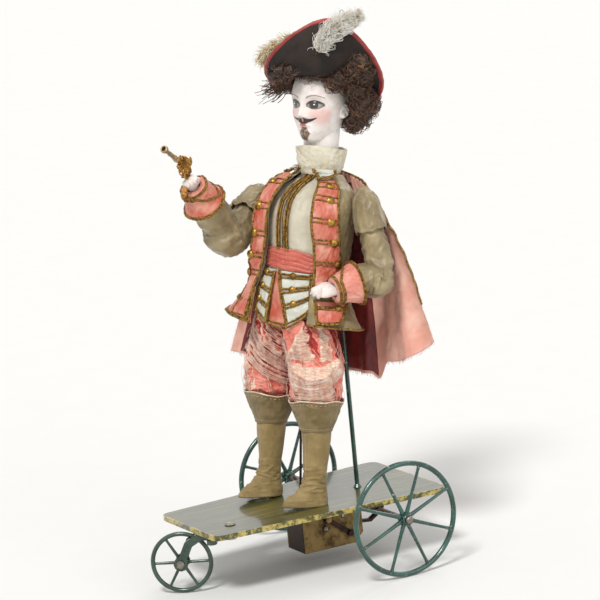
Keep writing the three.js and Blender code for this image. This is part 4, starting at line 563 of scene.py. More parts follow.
def board_paint(name):
    """Varnished olive paint on wood, streaked along its length and worn pale at the edges."""
    finish = Finish(name, Coat_Roughness=0.08, Coat_Weight=0.75)
    place = finish.place()
    streaks = finish.noise(finish.stretched(place, 1, 0.05, 1), 2.2, 5, 0.62, 0.6)
    fine = finish.noise(finish.stretched(place, 1, 0.03, 1), 0.6, 3, 0.6)
    clouds = finish.noise(place, 22, 3)
    base = finish.ramp(
        streaks,
        [
            (0.25, "1c210b"),
            (0.42, "38390f"),
            (0.55, "514f16"),
            (0.68, "776b22"),
            (0.85, "9a8430"),
        ],
    )
    base = finish.blend(clouds.between(0.42, 0.7) * 0.6, base, "2e3a10")
    base = finish.blend(fine.between(0.5, 0.75) * 0.35, base, "1f240c")
    near = edge_wear(finish, place) + finish.noise(place, 3, 3) * 1.6
    edge = 1 - near.between(0.9, 2.2)
    wear = finish.noise(place, 5, 4, 0.7).between(0.42, 0.6)
    base = finish.blend((edge * wear * 0.9).clamped(), base, "c9b35a")
    finish.set("Base Color", base)
    finish.set("Roughness", (fine * 0.25 + 0.22).clamped())
    finish.bump(streaks * 0.8 + fine * 0.6, 0.16, 0.5)
    return finish.material


def cloth_boot(name, colour, light, dark):
    """Waxed twill with fine diagonal ribs, specks and rubbed high places."""
    finish = Finish(name, Sheen_Weight=0.15, Sheen_Roughness=0.5)
    place = finish.local()
    x, y, _ = finish.parts(place)
    twill = ((x + y) * (TAU / 0.55)).sine() * 0.5 + 0.5
    broad = finish.noise(finish.place(), 8, 4, 0.6)
    specks = finish.noise(finish.place(), 0.5, 2)
    base = finish.blend(broad.between(0.35, 0.68), colour, light)
    base = finish.blend(specks.between(0.6, 0.78) * 0.5, base, dark)
    base = finish.blend(twill * 0.16, base, dark)
    finish.set("Base Color", base)
    finish.set("Roughness", (broad * 0.2 + 0.55).clamped())
    finish.bump(twill * 0.4 + specks * 0.6 + broad, 0.14, 0.5)
    return finish.material


def torn_silk(name):
    """The breeches' silk: coral, split into pale threads over deep red."""
    finish = Finish(name, Sheen_Weight=0.2, Sheen_Roughness=0.4)
    place = finish.local()
    _, _, torn = finish.parts(place)
    across = finish.noise(finish.stretched(place, 0.12, 1, 0), 0.55, 3)
    broad = finish.noise(finish.stretched(place, 1, 1, 0), 9, 4, 0.6)
    base = finish.blend(broad.between(0.36, 0.62), "ea9886", "d56856")
    base = finish.blend(broad.between(0.58, 0.7) * 0.6, base, "f0b7a2")
    pale = finish.blend(across.between(0.38, 0.6), "deb094", "f6e0cc")
    pale = finish.blend(broad.between(0.5, 0.66) * 0.5, pale, "e0947e")
    base = finish.blend((torn + across * 0.5).between(0.42, 0.62), base, pale)
    red = finish.blend(broad.between(0.4, 0.6), "8f1c16", "b8382c")
    base = finish.blend((0 - torn).between(0.12, 0.42), base, red)
    finish.set("Base Color", base)
    finish.set("Roughness", (broad * 0.25 + 0.4).clamped())
    finish.bump(across * torn.between(-0.1, 0.6) * 1.6 + broad * 0.5, 0.3, 0.6)
    return finish.material


def thread_finish(name, light, dark):
    finish = Finish(name, Sheen_Weight=0.4, Sheen_Roughness=0.35, Roughness=0.5)
    place = finish.place()
    base = finish.noise(place, 3, 3)
    finish.set("Base Color", finish.blend(base.between(0.35, 0.65), light, dark))
    return finish.material


def bisque_plain(name):
    finish = Finish(name, Subsurface_Weight=0.15, Subsurface_Scale=0.002, Coat_Weight=0.1)
    finish.set("Coat Roughness", 0.3)
    place = finish.place()
    mottle = finish.noise(place, 5, 4, 0.6)
    dirt = finish.noise(place, 1.3, 4, 0.7)
    base = finish.blend(mottle.between(0.4, 0.7), "efe6e0", "e2cfc6")
    finish.set("Base Color", finish.blend(dirt.between(0.6, 0.75) * 0.4, base, "a88c7c"))
    finish.set("Roughness", mottle * 0.2 + 0.35)
    finish.bump(dirt, 0.05, 0.4)
    return finish.material


def disc(x, z, middle, half, soft=0.3):
    """A soft-edged oval mask, 1 inside, over the face's plane."""
    dx = (x - middle[0]) / half[0]
    dz = (z - middle[1]) / half[1]
    reach = (dx * dx + dz * dz) ** 0.5
    return 1 - reach.between(1 - soft / 2, 1 + soft / 2)


def stroke(x, z, line, half, low, high, soft=0.3):
    """A painted stroke along z = line(x), its half thickness a reading, between two places in x."""
    off = (z - line).absolute()
    inside = 1 - (off / half.most(0.02)).between(1 - soft, 1 + soft)
    return inside * x.between(low - 0.25, low + 0.25) * (1 - x.between(high - 0.25, high + 0.25))


def face_paint(name):
    """White bisque with painted brows, lashes, moustache, tuft of beard, lips and rosy cheeks."""
    finish = Finish(name, Subsurface_Weight=0.12, Subsurface_Scale=0.002, Coat_Roughness=0.25)
    place = finish.local()
    x, y, z = finish.parts(place)
    ax = x.absolute()
    front = 1 - y.between(-9, -5)
    mottle = finish.noise(place, 6, 4, 0.6)
    dirt = finish.noise(place, 1.4, 4, 0.7)
    base = finish.blend(mottle.between(0.4, 0.7), "f2ebe6", "e6d8d0")
    base = finish.blend(dirt.between(0.64, 0.78) * 0.3, base, "b59c8c")
    blush = disc(ax, z, (10.2, 35.8), (5.2, 4.6), 1.5)
    shade = disc(ax, z, (7.2, 45.6), (4.8, 1.7), 1.2)
    brow_line = 48.2 - (ax - 7.5) * (ax - 7.5) * 0.075
    brow = stroke(ax, z, brow_line, 0.5 - (ax - 3) * 0.025, 2.8, 12.4, 0.5)
    lid_line = 44.65 - (ax - eye_x) * (ax - eye_x) * 0.1
    lid = stroke(ax, z, lid_line - 0.15, 0.95 + ax * 0, 2.4, 12, 0.4)
    low_line = 40.05 + (ax - eye_x) * (ax - eye_x) * 0.085
    low = stroke(ax, z, low_line, 0.28 + ax * 0, 2.8, 11.6, 0.5)
    upper = disc(ax, z, (1.1, 32.0), (2.2, 0.75), 0.4)
    under = disc(ax, z, (0, 30.45), (2.4, 0.85), 0.4)
    lips = upper.most(under)
    mouth = stroke(ax, z, 31.3 + ax * 0.03, 0.18 + ax * 0, -1, 2.7, 0.6)
    bend = (ax - 2).most(0)
    lash_line = lash_z + bend * bend * lash_rise
    lash = stroke(ax, z, lash_line, 1.65 - ax * 0.16, 0.4, 8.2, 0.3)
    beard_width = 4.1 - (z - 25.2).absolute() * 0.6
    beard = (1 - (ax / beard_width.most(0.05)).between(0.8, 1.05)) * z.between(20.2, 21.2)
    beard = beard * (1 - z.between(28.8, 29.3))
    hairs = finish.noise(finish.stretched(place, 1, 1, 0.12), 0.45, 2)
    brown = finish.blend(hairs.between(0.42, 0.6), "2a160c", "8c6a48")
    nostril = disc(ax, z, (1.6, 34.6), (0.8, 0.45), 0.6)
    for mask, strength, colour in (
        (blush, 0.5, "e2917f"),
        (shade, 0.3, "b08478"),
        (brow, 0.7, "5d4c44"),
        (lid, 0.92, "1e1410"),
        (low, 0.75, "3a2620"),
        (lips, 0.9, "b0403a"),
        (mouth, 0.8, "4a1614"),
        (lash, 1, "1a0f0c"),
        (beard, 0.95, brown),
        (nostril, 0.8, "a04a40"),
    ):
        base = finish.blend(mask * front * strength, base, colour)
    finish.set("Base Color", base)
    painted = lash.most(beard).most(lips)
    finish.set("Roughness", mottle * 0.2 + 0.32 - painted * 0.08)
    finish.set("Coat Weight", 0.15 + painted * 0.3)
    finish.bump(dirt, 0.04, 0.3)
    return finish.material


def eye_glaze(name):
    finish = Finish(name, Roughness=0.06, Coat_Weight=1.0, Coat_Roughness=0.02)
    x, z, _ = finish.parts(finish.local())
    base = finish.blend(disc(x, z, (0, -0.4), (4.0, 1.7), 0.7), "1e1411", "a8a09b")
    ring = disc(x, z, (-0.3, 0.05), (2.5, 2.4), 0.15)
    base = finish.blend(ring, base, "1c1410")
    iris = disc(x, z, (-0.3, 0.05), (2.0, 2.0), 0.3)
    base = finish.blend(iris, base, "33281e")
    base = finish.blend(disc(x, z, (-0.3, 0.05), (1.25, 1.25), 0.2), base, "070504")
    # A white dot on the iris: a painted highlight, the reflection of a lamp in the glass.
    base = finish.blend(disc(x, z, (0.1, 0.35), (0.5, 0.42), 0.3), base, "ffffff")
    # The upper part of the eye goes dark: painted shade of the upper lid over the glass.
    base = finish.blend(z.between(0.55, 1.15) * 0.92, base, "1e1410")
    finish.set("Base Color", base)
    return finish.material


def hair_finish(name, dark, light, gold):
    finish = Finish(name, Sheen_Weight=0.3, Sheen_Roughness=0.3)
    place = finish.place()
    streak = finish.noise(place, 2.2, 4, 0.65)
    broad = finish.noise(place, 7, 2)
    base = finish.blend(streak.between(0.38, 0.66), dark, light)
    finish.set("Base Color", finish.blend(broad.between(0.58, 0.75) * 0.6, base, gold))
    finish.set("Roughness", streak * 0.2 + 0.4)
    finish.bump(streak, 0.4, 0.8)
    return finish.material


def felt_nap(name):
    finish = Finish(name, Sheen_Weight=0.08, Sheen_Roughness=0.5)
    place = finish.place()
    nap = finish.noise(place, 0.6, 3, 0.7)
    broad = finish.noise(place, 12, 4)
    base = finish.blend(broad.between(0.4, 0.7), "150d0a", "2a1c14")
    finish.set("Base Color", finish.blend(nap.between(0.6, 0.8) * 0.35, base, "453022"))
    finish.set("Roughness", nap * 0.2 + 0.7)
    finish.bump(nap, 0.2, 0.8)
    return finish.material


def flue(name, pale, warm, dark):
    finish = Finish(name, Sheen_Weight=0.5, Sheen_Roughness=0.4, Roughness=0.65)
    place = finish.place()
    broad = finish.noise(place, 6, 3)
    fine = finish.noise(place, 1.1, 3)
    base = finish.blend(broad.between(0.42, 0.62), pale, warm)
    spots = (broad.between(0.6, 0.7) * 0.9 + fine.between(0.6, 0.8) * 0.3).clamped()
    finish.set("Base Color", finish.blend(spots, base, dark))
    return finish.material


FINISH_TABLE = {
    "wheel_green": [
        ("wheel_green", enamel, "173b34", "2a5a4e", "c9c8b8"),
        ("fork_green", enamel, "20382c", "35503c", "8a6c4c", 0.26),
    ],
    "bright_steel": [
        ("axle_steel", steel, "8f8580", "4c3430", 0.38),
        ("bright_steel", steel, "a8a49c", "5c5148", 0.32),
        ("bolt_metal", steel, "b5b1a4", "6c6450", 0.34),
        ("barrel_metal", worn_brass, "c9a668", "8c8a80", 0.26, 0.3),
    ],
    "dark_steel": [
        ("dark_steel", steel, "2a2725", "4a3325", 0.42, 0.85),
    ],
    "brass": [
        ("brass", worn_brass, "a8895a", "4f3d24"),
        ("plate_brass", worn_brass, "86704a", "3c2f1c", 0.42),
        ("gear_brass", worn_brass, "b8914a", "5a4220", 0.3),
    ],
    "board_paint": [
        ("board_paint", board_paint),
    ],
    "gilt": [
        ("gilt_thread", gilt_thread),
        ("button_brass", worn_brass, "a8823e", "5c4420", 0.28, 0.3),
        ("pistol_gilt", worn_brass, "c2944a", "6b4a1e", 0.3, 0.3),
    ],
    "boot_cloth": [
        ("boot_cloth", cloth_boot, "8c7646", "a68e5e", "54421f"),
        ("cuff_cloth", cloth_boot, "7a683e", "927d56", "463818"),
        ("cream_thread", thread_finish, "f2dec6", "d8b494"),
    ],
    "coral_silk": [
        ("breeches_silk", torn_silk),
        ("split_thread", thread_finish, "f4dccb", "e0ac94"),
        ("sash_silk", silk, "c45848", "d67a66", "8f2f26", 0.35, 0.34, 0.3),
        ("facing_silk", silk, "c24f38", "e4a48c", "8c1f14", 0.35, 0.34, 0.3),
        ("cuff_silk", silk, "da806c", "edaa98", "b04e3c", 0.35, 0.4, 0.3),
        ("hat_silk", silk, "8e1f1e", "b8443c", "6a1414", 0.35, 0.36, 0.3),
    ],
    "pink_silk": [
        ("cape_cloth", silk, "df9f8c", "ecbdaa", "bf6c5a", 0.5, 0.62, 0.35),
        # Deep red lining silk, its colour darkened further as painted shade of the body on the
        # cape's inside.
        ("lining_silk", silk, "5a0f0c", "7c1a14", "380606", 0.35, 0.5, 0.1),
        ("cape_thread", thread_finish, "e0a890", "c98070"),
    ],
    "taupe_satin": [
        ("jacket_satin", silk, "7f6e4c", "a6946e", "3e2f18", 0.4, 0.32, 0.3),
    ],
    "cream_satin": [
        ("shirt_satin", silk, "c6bda6", "d8d0bb", "948a6e", 0.4, 0.36, 0.2),
        ("flap_satin", silk, "c4c4b4", "dedfd4", "7e7650", 0.4, 0.34, 0.2),
        ("collar_linen", silk, "d2c9ae", "e6dfcc", "94793f", 0.5, 0.6, 0.2),
    ],
    "bisque": [
        ("bisque", bisque_plain),
        ("face_paint", face_paint),
        ("eye_glaze", eye_glaze),
    ],
    "hair": [
        ("hair_base", hair_finish, "1c0e06", "3e2412", "5c3a1c"),
        ("hair_strand", hair_finish, "341a0a", "7a4c26", "c08c48"),
    ],
    "black_felt": [
        ("black_felt", felt_nap),
    ],
    "ostrich": [
        ("ostrich_white", flue, "fbf8f0", "e8dfcc", "564c46"),
        ("ostrich_cream", flue, "efe2be", "d0b078", "a88450"),
    ],
}
FINISHES, SLOTS = {}, {}


def make_finishes():
    """Makes every finish and notes the slot of the record that it belongs to."""
    for slot, rows in FINISH_TABLE.items():
        for name, maker, *given in rows:
            FINISHES[name] = maker(name, *given)
            SLOTS[name] = slot


# The toy: wheels, board and motor


def spoked_wheel(radius, rim, spoke_radii, spokes, hub_radius, hub_half, bore):
    """A wire wheel turned about Z: rim, spokes let into it and a turned hub."""
    centre = radius - rim
    angles = round_angles(96)
    ring = circle(angles)
    turn = round_angles(18)
    rings = ring[:, None] * (centre + rim * np.cos(turn))[None, :, None]
    rings = rings + np.array([0, 0, rim]) * np.sin(turn)[None, :, None]
    made = [Shape(np.concatenate([rings, rings[:1]]), [quads(97, 18, True)])]
    for i in range(spokes):
        angle = TAU * (i + 0.5) / spokes
        way = np.array([np.cos(angle), np.sin(angle), 0])
        shares = np.array([0, 0.08, 0.2, 0.6, 0.86, 0.95, 1])
        reach = lerp(hub_radius * 0.6, centre, shares)
        thick = lerp(spoke_radii[0], spoke_radii[1], shares)
        thick = thick * np.array([1.35, 1.12, 1, 1, 1.02, 1.3, 1.75])
        made.append(tube(way * reach[:, None], thick, 10))
    lip = hub_radius * 0.78
    hub = [
        (bore, -hub_half),
        (lip, -hub_half),
        (hub_radius, -hub_half * 0.72),
        (hub_radius * 0.86, -hub_half * 0.4),
        (hub_radius * 1.12, 0),
        (hub_radius * 0.86, hub_half * 0.4),
        (hub_radius, hub_half * 0.72),
        (lip, hub_half),
        (bore, hub_half),
    ]
    made.append(lathed(rounded(hub), 40))
    return joined(made)


rear_wheel_reach = 72
front_wheel_radius = 18.8
front_axle_ahead = 31


def add_wheels():
    """The two driving wheels and the small wheel in the fork."""
    for side, sign in (("left", 1), ("right", -1)):
        wheel = spoked_wheel(rear_wheel_radius, 1.6, (1.25, 0.85), 8, 3.6, 4, 1.5)
        spun = UPRIGHT_X @ turned("Z", 90)
        place = shifted(sign * rear_wheel_reach, 0, rear_wheel_radius) @ spun
        name = "rear_wheel_" + side
        piece(name + "_wire", wheel, place, "wheel_green", [name], body="rear_axle_body")
    wheel = spoked_wheel(front_wheel_radius, 1.35, (1.05, 0.75), 6, 2.8, 3.2, 1.2)
    place = FORK @ shifted(0, -front_axle_ahead, front_wheel_radius) @ spun
    piece("front_wheel_wire", wheel, place, "fork_green", ["front_wheel"], body="front_wheel_body")


def turned_bar(length, radius, cap_radius, cap_length):
    """A rod along Z about its middle, with a domed and dented cap on each end."""
    half = length / 2
    end = [
        (radius, half - cap_length - 2),
        (radius, half - cap_length),
        (cap_radius, half - cap_length),
        (cap_radius, half - cap_length * 0.35),
        (cap_radius * 0.7, half),
        (cap_radius * 0.32, half - 0.12),
        (0.05, half - 0.45),
    ]
    profile = [(r, -z) for r, z in reversed(end)] + end
    return lathed(rounded(profile, 3), 32)


def add_axles():
    """The turned rear axle."""
    low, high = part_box("rear_axle")
    length = (high - low).x / MM
    bar = turned_bar(length, 1.5, 2.4, 2)
    place = shifted(0, 0, rear_wheel_radius) @ UPRIGHT_X
    piece("rear_axle_turned", bar, place, "axle_steel", ["rear_axle"], body="rear_axle_body")


board_ahead = 108
board_behind = 47
board_front_half = 36.5
board_rear_half = 44.5


def edge_wear(finish, place):
    """How near a point of the board is to its outline, in millimetres, as a reading."""
    x, y, _ = finish.parts(place)
    front, rear = home[1] - board_ahead, home[1] + board_behind
    half = (y - front) * ((board_rear_half - board_front_half) / (rear - front)) + board_front_half
    return (half - (x - home[0]).absolute()).least(y - front).least(rear - y)


def dress_nodes():
    """Gives the CAD pieces that stay their edges and finishes."""
    for finish, (edge, nodes) in CAD_FINISHES.items():
        for node in nodes.split():
            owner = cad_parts[node]
            for slot in owner.material_slots:
                slot.material = FINISHES[finish]
            weld = owner.modifiers.new("weld", "WELD")
            weld.merge_threshold = 0.02 * MM
            soften = owner.modifiers.new("soften", "BEVEL")
            soften.width = edge * MM
            soften.segments = 2
            soften.limit_method = "ANGLE"
            soften.angle_limit = math.radians(35)
            soften.harden_normals = False


# Legs: boots, cuffs and breeches, in the legs' frame


leg_x = 20.0
boot_height = 58
boot_cuff_low = 46
boot_cuff_height = 19
breeches_low = 62.6
breeches_top = 113.5


def ring_of(x_half, front, back, angles, middle=0.0, power=2.2):
    """An egg-shaped ring: half width, and how far it goes forward and back."""
    s, c = np.sin(angles), np.cos(angles)
    reach = np.where(c > 0, front, back)
    x = x_half * np.sign(s) * np.abs(s) ** (2 / power)
    y = -reach * np.sign(c) * np.abs(c) ** (2 / power)
    return xyz(x, y + middle, 0 * angles)


def add_boots():
    """Two tall boots with creased shafts and stitched seams."""
    heights = [0, 0.5, 1, 2, 4, 6, 8, 10, 12.5, 17, 24, 31.5, 40, 46, 58]
    fronts = [20.2, 20.8, 20.9, 20.6, 19.4, 17.2, 13.6, 10.6, 8.7, 6.9, 6.6, 6.9, 7.6, 8.0, 7.6]
    backs = [7.6, 8.1, 8.1, 7.9, 7.9, 7.7, 7.3, 7.0, 6.8, 6.6, 7.4, 8.6, 9.6, 10.0, 9.4]
    widths = [5.9, 6.4, 6.4, 6.3, 6.2, 5.9, 5.6, 5.6, 5.8, 6.5, 6.9, 7.8, 8.7, 9.0, 8.4]
    rows, sides = 96, 72
    z = boot_height * np.linspace(0, 1, rows) ** 1.35
    angles = round_angles(sides)
    for side, sign, seed in (("left", 1, 11), ("right", -1, 12)):
        rings = []
        for height in z:
            front, back, width = (np.interp(height, heights, t) for t in (fronts, backs, widths))
            ring = ring_of(width, front, back, angles, 0, 2.25)
            toe = ease(2, 20, -ring[:, 1]) * ease(14, 5, height)
            ring[:, 0] *= 1 + 0.06 * np.cos(angles) * ease(12, 6, height) - 0.2 * toe
            ring[:, 2] = height
            rings.append(ring)
        rings = np.array(rings)
        out = normals_of(rings, True)
        crease = creases(rings * (0.5, 0.5, 1.6), 9, seed) - 0.5
        ankle = bell(rings[..., 2], 14, 9) * (0.75 + 0.5 * np.cos(angles))
        drag = waves(rings * (1, 1, 0.35), 11, seed + 5)
        sole = ease(1.0, 2.2, rings[..., 2])
        seam = bell(off_angle(angles, 0), 0, 0.07)[None] * 0.28
        heel = bell(angles, math.pi, 0.34)[None] * ease(34, 28, rings[..., 2]) * 0.3
        lift = crease * ankle * 0.9 + drag * 0.22 + seam + heel
        rings = rings + out * (lift * sole)[..., None]
        local = xyz(angles * 8, rings[..., 2], 0)
        place = LEGS @ shifted(sign * leg_x, 0, gap) @ turned("Z", -18)
        boot = lofted(rings, local)
        piece("boot_" + side + "_cloth", boot, place, "boot_cloth", ["boot_" + side])
        stitches = []
        for line in (-0.14, 0.14):
            column = int(round((line % TAU) / TAU * sides)) % sides
            for row in range(30, 92, 2):
                here = rings[row, column] + out[row, column] * 0.12
                there = rings[row + 1, column] + out[row + 1, column] * 0.12
                stitch = [lerp(here, there, share) for share in (0, 0.45, 0.9)]
                stitches.append(tube(stitch, [0.08, 0.13, 0.08], 5))
        piece("boot_" + side + "_stitches", joined(stitches), place, "cream_thread")
        add_boot_cuff(side, sign, seed)


def add_boot_cuff(side, sign, seed):
    rows, sides = 40, 120
    angles = round_angles(sides)
    shares = np.linspace(0, 1, rows)
    profile_z = boot_cuff_low + boot_cuff_height * shares
    radius = lerp(9.6, 16.4, ease(-0.15, 1.1, shares)) + 0.6 * bell(shares, 1, 0.12)
    bend = 1 + 0.035 * np.cos(2 * angles + seed) + 0.02 * np.cos(3 * angles + 2 * seed)
    grid = np.empty((rows, sides, 3))
    spread = radius[:, None] * lerp(1, bend[None], shares[:, None])
    grid[..., 0] = spread * np.sin(angles)
    grid[..., 1] = -spread * np.cos(angles) + 1
    rim = 1.1 * np.sin(2 * angles + seed * 1.7) + 0.5 * np.sin(5 * angles)
    grid[..., 2] = profile_z[:, None] + rim[None] * (shares[:, None] ** 2)
    out = normals_of(grid, True)
    fold = creases(grid * (1, 1, 0.5), 12, seed + 3) * 0.55 + waves(grid, 5, seed + 8) * 0.12
    grid = grid + out * (fold * ease(0, 0.3, shares)[:, None])[..., None]
    local = xyz(angles * 14, grid[..., 2], 0)
    place = LEGS @ shifted(sign * leg_x, 0, 0)
    cuff = woven(grid, True, local)
    piece(
        "boot_cuff_" + side + "_cloth", cuff, place, "cuff_cloth", ["boot_cuff_" + side],
        modifiers=thickened(0.9),
    )
    stitches = []
    for row, every in ((rows - 5, 3), (4, 3)):
        for k in range(0, sides, every):
            ends = [grid[row, at] + out[row, at] * 0.1 for at in (k, (k + 1) % sides)]
            middle = (ends[0] + ends[1]) / 2 + out[row, k] * 0.1
            stitches.append(tube([ends[0], middle, ends[1]], [0.1, 0.17, 0.1], 5))
    hem = closed(grid[-1], 2)
    stitches.append(tube(hem - (0, 0, 0.1), 0.42, 6))
    piece("boot_cuff_" + side + "_stitches", joined(stitches), place, "cream_thread")


class Breeches:
    """One gathered leg: a surface by angle round the leg and height above the board."""

    def __init__(self, sign):
        self.sign = sign

    def point(self, angle, z, offset=0.0):
        angle, z = np.broadcast_arrays(np.asarray(angle, float), np.asarray(z, float))
        top = 111 + 16.5 / 2
        share = (z - 63.5) / (top - 63.5)
        grow = np.interp(share, [-0.1, 0, 0.06, 0.3, 1], [0, 0.1, 0.85, 1.02, 1])
        radius = lerp(12.6, 16.2, grow)
        inward = ease(0.3, 1, share)
        edge = lerp(leg_x + radius, 26, inward)
        depth = lerp(radius, 16.5, inward)
        pleat = 0.75 * np.cos(9 * angle + share * 5) * ease(1, 0.7, share)
        x = self.sign * (edge - radius) + np.sin(angle) * (radius + pleat + offset)
        y = 1 - np.cos(angle) * (depth + pleat + offset)
        x = np.where(self.sign * x > 0.2, x, self.sign * 0.2)
        return xyz(x, y, z)


def between(low, high, value, soft):
    return ease(low - soft, low + soft, value) * ease(high + soft, high - soft, value)


def tears_left(a, z):
    """Where the left leg's silk is split: above 0 pale threads, below 0 the deep red under them."""
    fan = np.clip((112 - z) / 21, 0, 1.2)
    first = between(45 - 70 * fan, 45 - 5 * fan, a, 3) * ease(89, 92, z)
    second = between(77 - 19 * fan, 77 + 20 * fan, a, 3) * ease(89, 92, z) * 0.7
    sag = 82 + ((a - 30) / 34) ** 2
    bundles = between(sag - 6, sag + 4, z, 1.5) * between(-45, 118, a, 6)
    low = 0.6 * between(60, 75, z, 1) * between(5, 85, a, 5)
    red = between(104, 132, a, 3) * ease(80, 86, z) + between(90, 95, a, 1.5) * ease(84, 80, z)
    red = red + between(-8, -3, a, 1.5) * ease(71, 69, z) + between(43, 56, a, 3) * ease(90, 95, z)
    return np.maximum.reduce([first, second, bundles * 0.9, low]) - np.clip(red, 0, 1) * 1.2


def tears_right(a, z):
    """The same for the right leg, whose strips run down towards the left leg."""
    run = z + 0.28 * a
    stripes = np.sin(TAU * (run + 1.2 * np.sin(a / 17)) / 7.5)
    upper = ease(79, 84, z - 0.05 * a) * between(-60, 100, a, 8)
    folds = between(-45, 2, a, 4) * (0.5 + 0.5 * np.sin(a / 3)) * ease(90, 80, z)
    gap_red = between(84, 97, a, 3) * ease(100, 90, z)
    return upper * np.where(stripes > 0, stripes, stripes * 1.1) + folds * 0.9 - gap_red


TEARS = {"left": tears_left, "right": tears_right}


def add_breeches():
    """Two padded breeches legs in split silk."""
    rows, sides = 150, 220
    angles = round_angles(sides)
    around = off_angle(angles, 0)
    for side, sign, seed in (("left", 1, 21), ("right", -1, 24)):
        leg = Breeches(sign)
        z = breeches_low + (breeches_top - breeches_low) * np.linspace(0, 1, rows) ** 0.9
        grid = leg.point(angles[None], z[:, None])
        out = normals_of(grid, True)
        ragged = grid * (1, 1, 1.4)
        shift = 5 * waves(ragged, 9, seed + 5)
        torn = TEARS[side](np.degrees(around)[None] + shift, z[:, None] + shift * 0.15)
        sag = creases(grid * (0.35, 0.35, 1.5), 13, seed) * bell(z, 78, 17)[:, None]
        drop = creases(grid * (1.5, 1.5, 0.3), 9, seed + 4) * bell(z, 100, 18)[:, None]
        low = 0.3 * waves(grid, 6, seed + 2) + 0.12 * waves(grid, 2.2, seed + 3)
        lift = 0.8 * sag + 0.7 * drop + low + 0.9 * torn - 0.9
        ends = ease(breeches_low, 66.5, z)[:, None]
        grid = grid + out * (lift * ends)[..., None]
        grid[..., 2] += (1.1 * np.sin(7 * angles + seed))[None] * ease(72, 63, z)[:, None]
        away = np.abs(grid[..., 0])
        grid[..., 0] = sign * np.where(sign * grid[..., 0] > 0.2, away, 0.2)
        local = xyz(around * 16 + sign * 100, grid[..., 2], torn)
        centre = np.array([sign * leg_x, 1.0, 63.0])
        inner = centre + (grid[:1] - centre) * (0.8, 0.8, 1) + (0, 0, 1.6)
        first = local[:1] * (1, 1, 0) - (0, 0, 1.0)
        made = lofted(np.concatenate([inner, grid]), np.concatenate([first, local]))
        name = "breeches_" + side
        piece(name + "_silk", made, LEGS, "breeches_silk", [name])
        add_threads(side, leg, seed)


def add_threads(side, leg, seed):
    """Cream silk threads that hang in bundles where the cloth has split."""
    draw = np.random.default_rng(seed)
    made = []
    if side == "left":
        runs = [((-38, 90 - 1.3 * k), (112, 92 - 1.2 * k), 13 - 0.5 * k, 8) for k in range(9)]
        runs += [((-16, 73 - 1.5 * k), (88, 74 - 1.4 * k), 1.0, 4) for k in range(6)]
        for k in range(18):
            runs.append(((45 - 3.6 * k, 110 - 1.1 * k), (45 - 0.3 * k, 110.6 - 1.1 * k), 0.6, 3))
        runs += [((70 - k, 106 - 1.5 * k), (78 + k, 106 - 1.5 * k), 0.5, 2) for k in range(10)]
    else:
        runs = [((-30 + 3 * k, 109 - 3.6 * k), (86, 85 - 2.2 * k), 2.0, 8) for k in range(7)]
        runs += [((20, 111 - 3 * k), (82, 106 - 5 * k), 2.0, 5) for k in range(5)]
        runs += [((-34, 78 - 3 * k), (-4, 82 - 3 * k), 0.8, 4) for k in range(5)]
    for (a0, z0), (a1, z1), sag, count in runs:
        for _ in range(count):
            s = np.linspace(0, 1, 18)
            a = lerp(a0, a1, s) + draw.normal(0, 2.2) + 1.5 * np.sin(7 * s + draw.uniform(0, TAU))
            z = lerp(z0, z1, s) - 4 * sag * s * (1 - s) + draw.normal(0, 0.55)
            loose = 0.6 + draw.uniform(0.1, 1.0) * np.sin(math.pi * s)
            line = leg.point(np.radians(a), np.maximum(z, 63.4), loose)
            made.append(tube(line, draw.uniform(0.1, 0.2), 3))
    for _ in range(60):
        a0, z0 = draw.uniform(-1.2, 2.2), draw.uniform(70, 106)
        s = np.linspace(0, 1, 12)
        a = a0 + draw.normal(0, 0.22) * s
        z = z0 - draw.uniform(4, 16) * s
        loose = 0.6 + draw.uniform(0.1, 1.4) * np.sin(math.pi * s * 0.8)
        made.append(tube(leg.point(a, np.maximum(z, 63.5), loose), draw.uniform(0.09, 0.14), 3))
    piece("breeches_" + side + "_threads", joined(made), LEGS, "split_thread")


# Trunk: shirt, sash, jacket, facings, skirts and waistcoat flaps, in the trunk's frame

TRUNK_HEIGHTS = [-0.2, 0, 0.18, 0.36, 0.52, 0.68, 0.8, 0.89, 0.95, 1]
TRUNK_WIDTHS = [1.05, 1, 0.98, 0.96, 1, 1.02, 1.0, 0.86, 0.58, 0.42]
TRUNK_DEPTHS = [0.98, 0.93, 0.92, 0.9, 0.98, 1.05, 0.98, 0.76, 0.6, 0.55]
TRUNK_BACKS = [0, 0, 0, 0.01, -0.06, -0.12, -0.05, 0.12, 0.24, 0.3]
trunk_height = 88
trunk_half_width = 25
trunk_half_depth = 19
trunk_power = 2.3
wall_x = -28.3


def read_off(places, values, at):
    """A smooth line through a table of shares, as the trunk's own solid has it."""
    places, values = np.asarray(places, float), np.asarray(values, float)
    i = np.clip(np.searchsorted(places, at, side="left") - 1, 0, len(places) - 2)
    s = np.clip((at - places[i]) / (places[i + 1] - places[i]), 0, 1)
    a, b = values[i], values[i + 1]
    slope_a = (b - values[np.maximum(i - 1, 0)]) / 2
    slope_b = (values[np.minimum(i + 2, len(places) - 1)] - a) / 2
    c = 2 * s**3 - 3 * s**2
    return a * (1 + c) - b * c + slope_a * (s**3 - 2 * s**2 + s) + slope_b * (s**3 - s**2)


def trunk_base(angle, z):
    share = z / trunk_height
    width = trunk_half_width * read_off(TRUNK_HEIGHTS, TRUNK_WIDTHS, share)
    depth = trunk_half_depth * read_off(TRUNK_HEIGHTS, TRUNK_DEPTHS, share)
    back = trunk_half_depth * read_off(TRUNK_HEIGHTS, TRUNK_BACKS, share)
    s, c = np.sin(angle), np.cos(angle)
    power = 2 / trunk_power
    x = width * np.sign(s) * np.abs(s) ** power
    y = back - depth * np.sign(c) * np.abs(c) ** power
    return xyz(x, y, z)


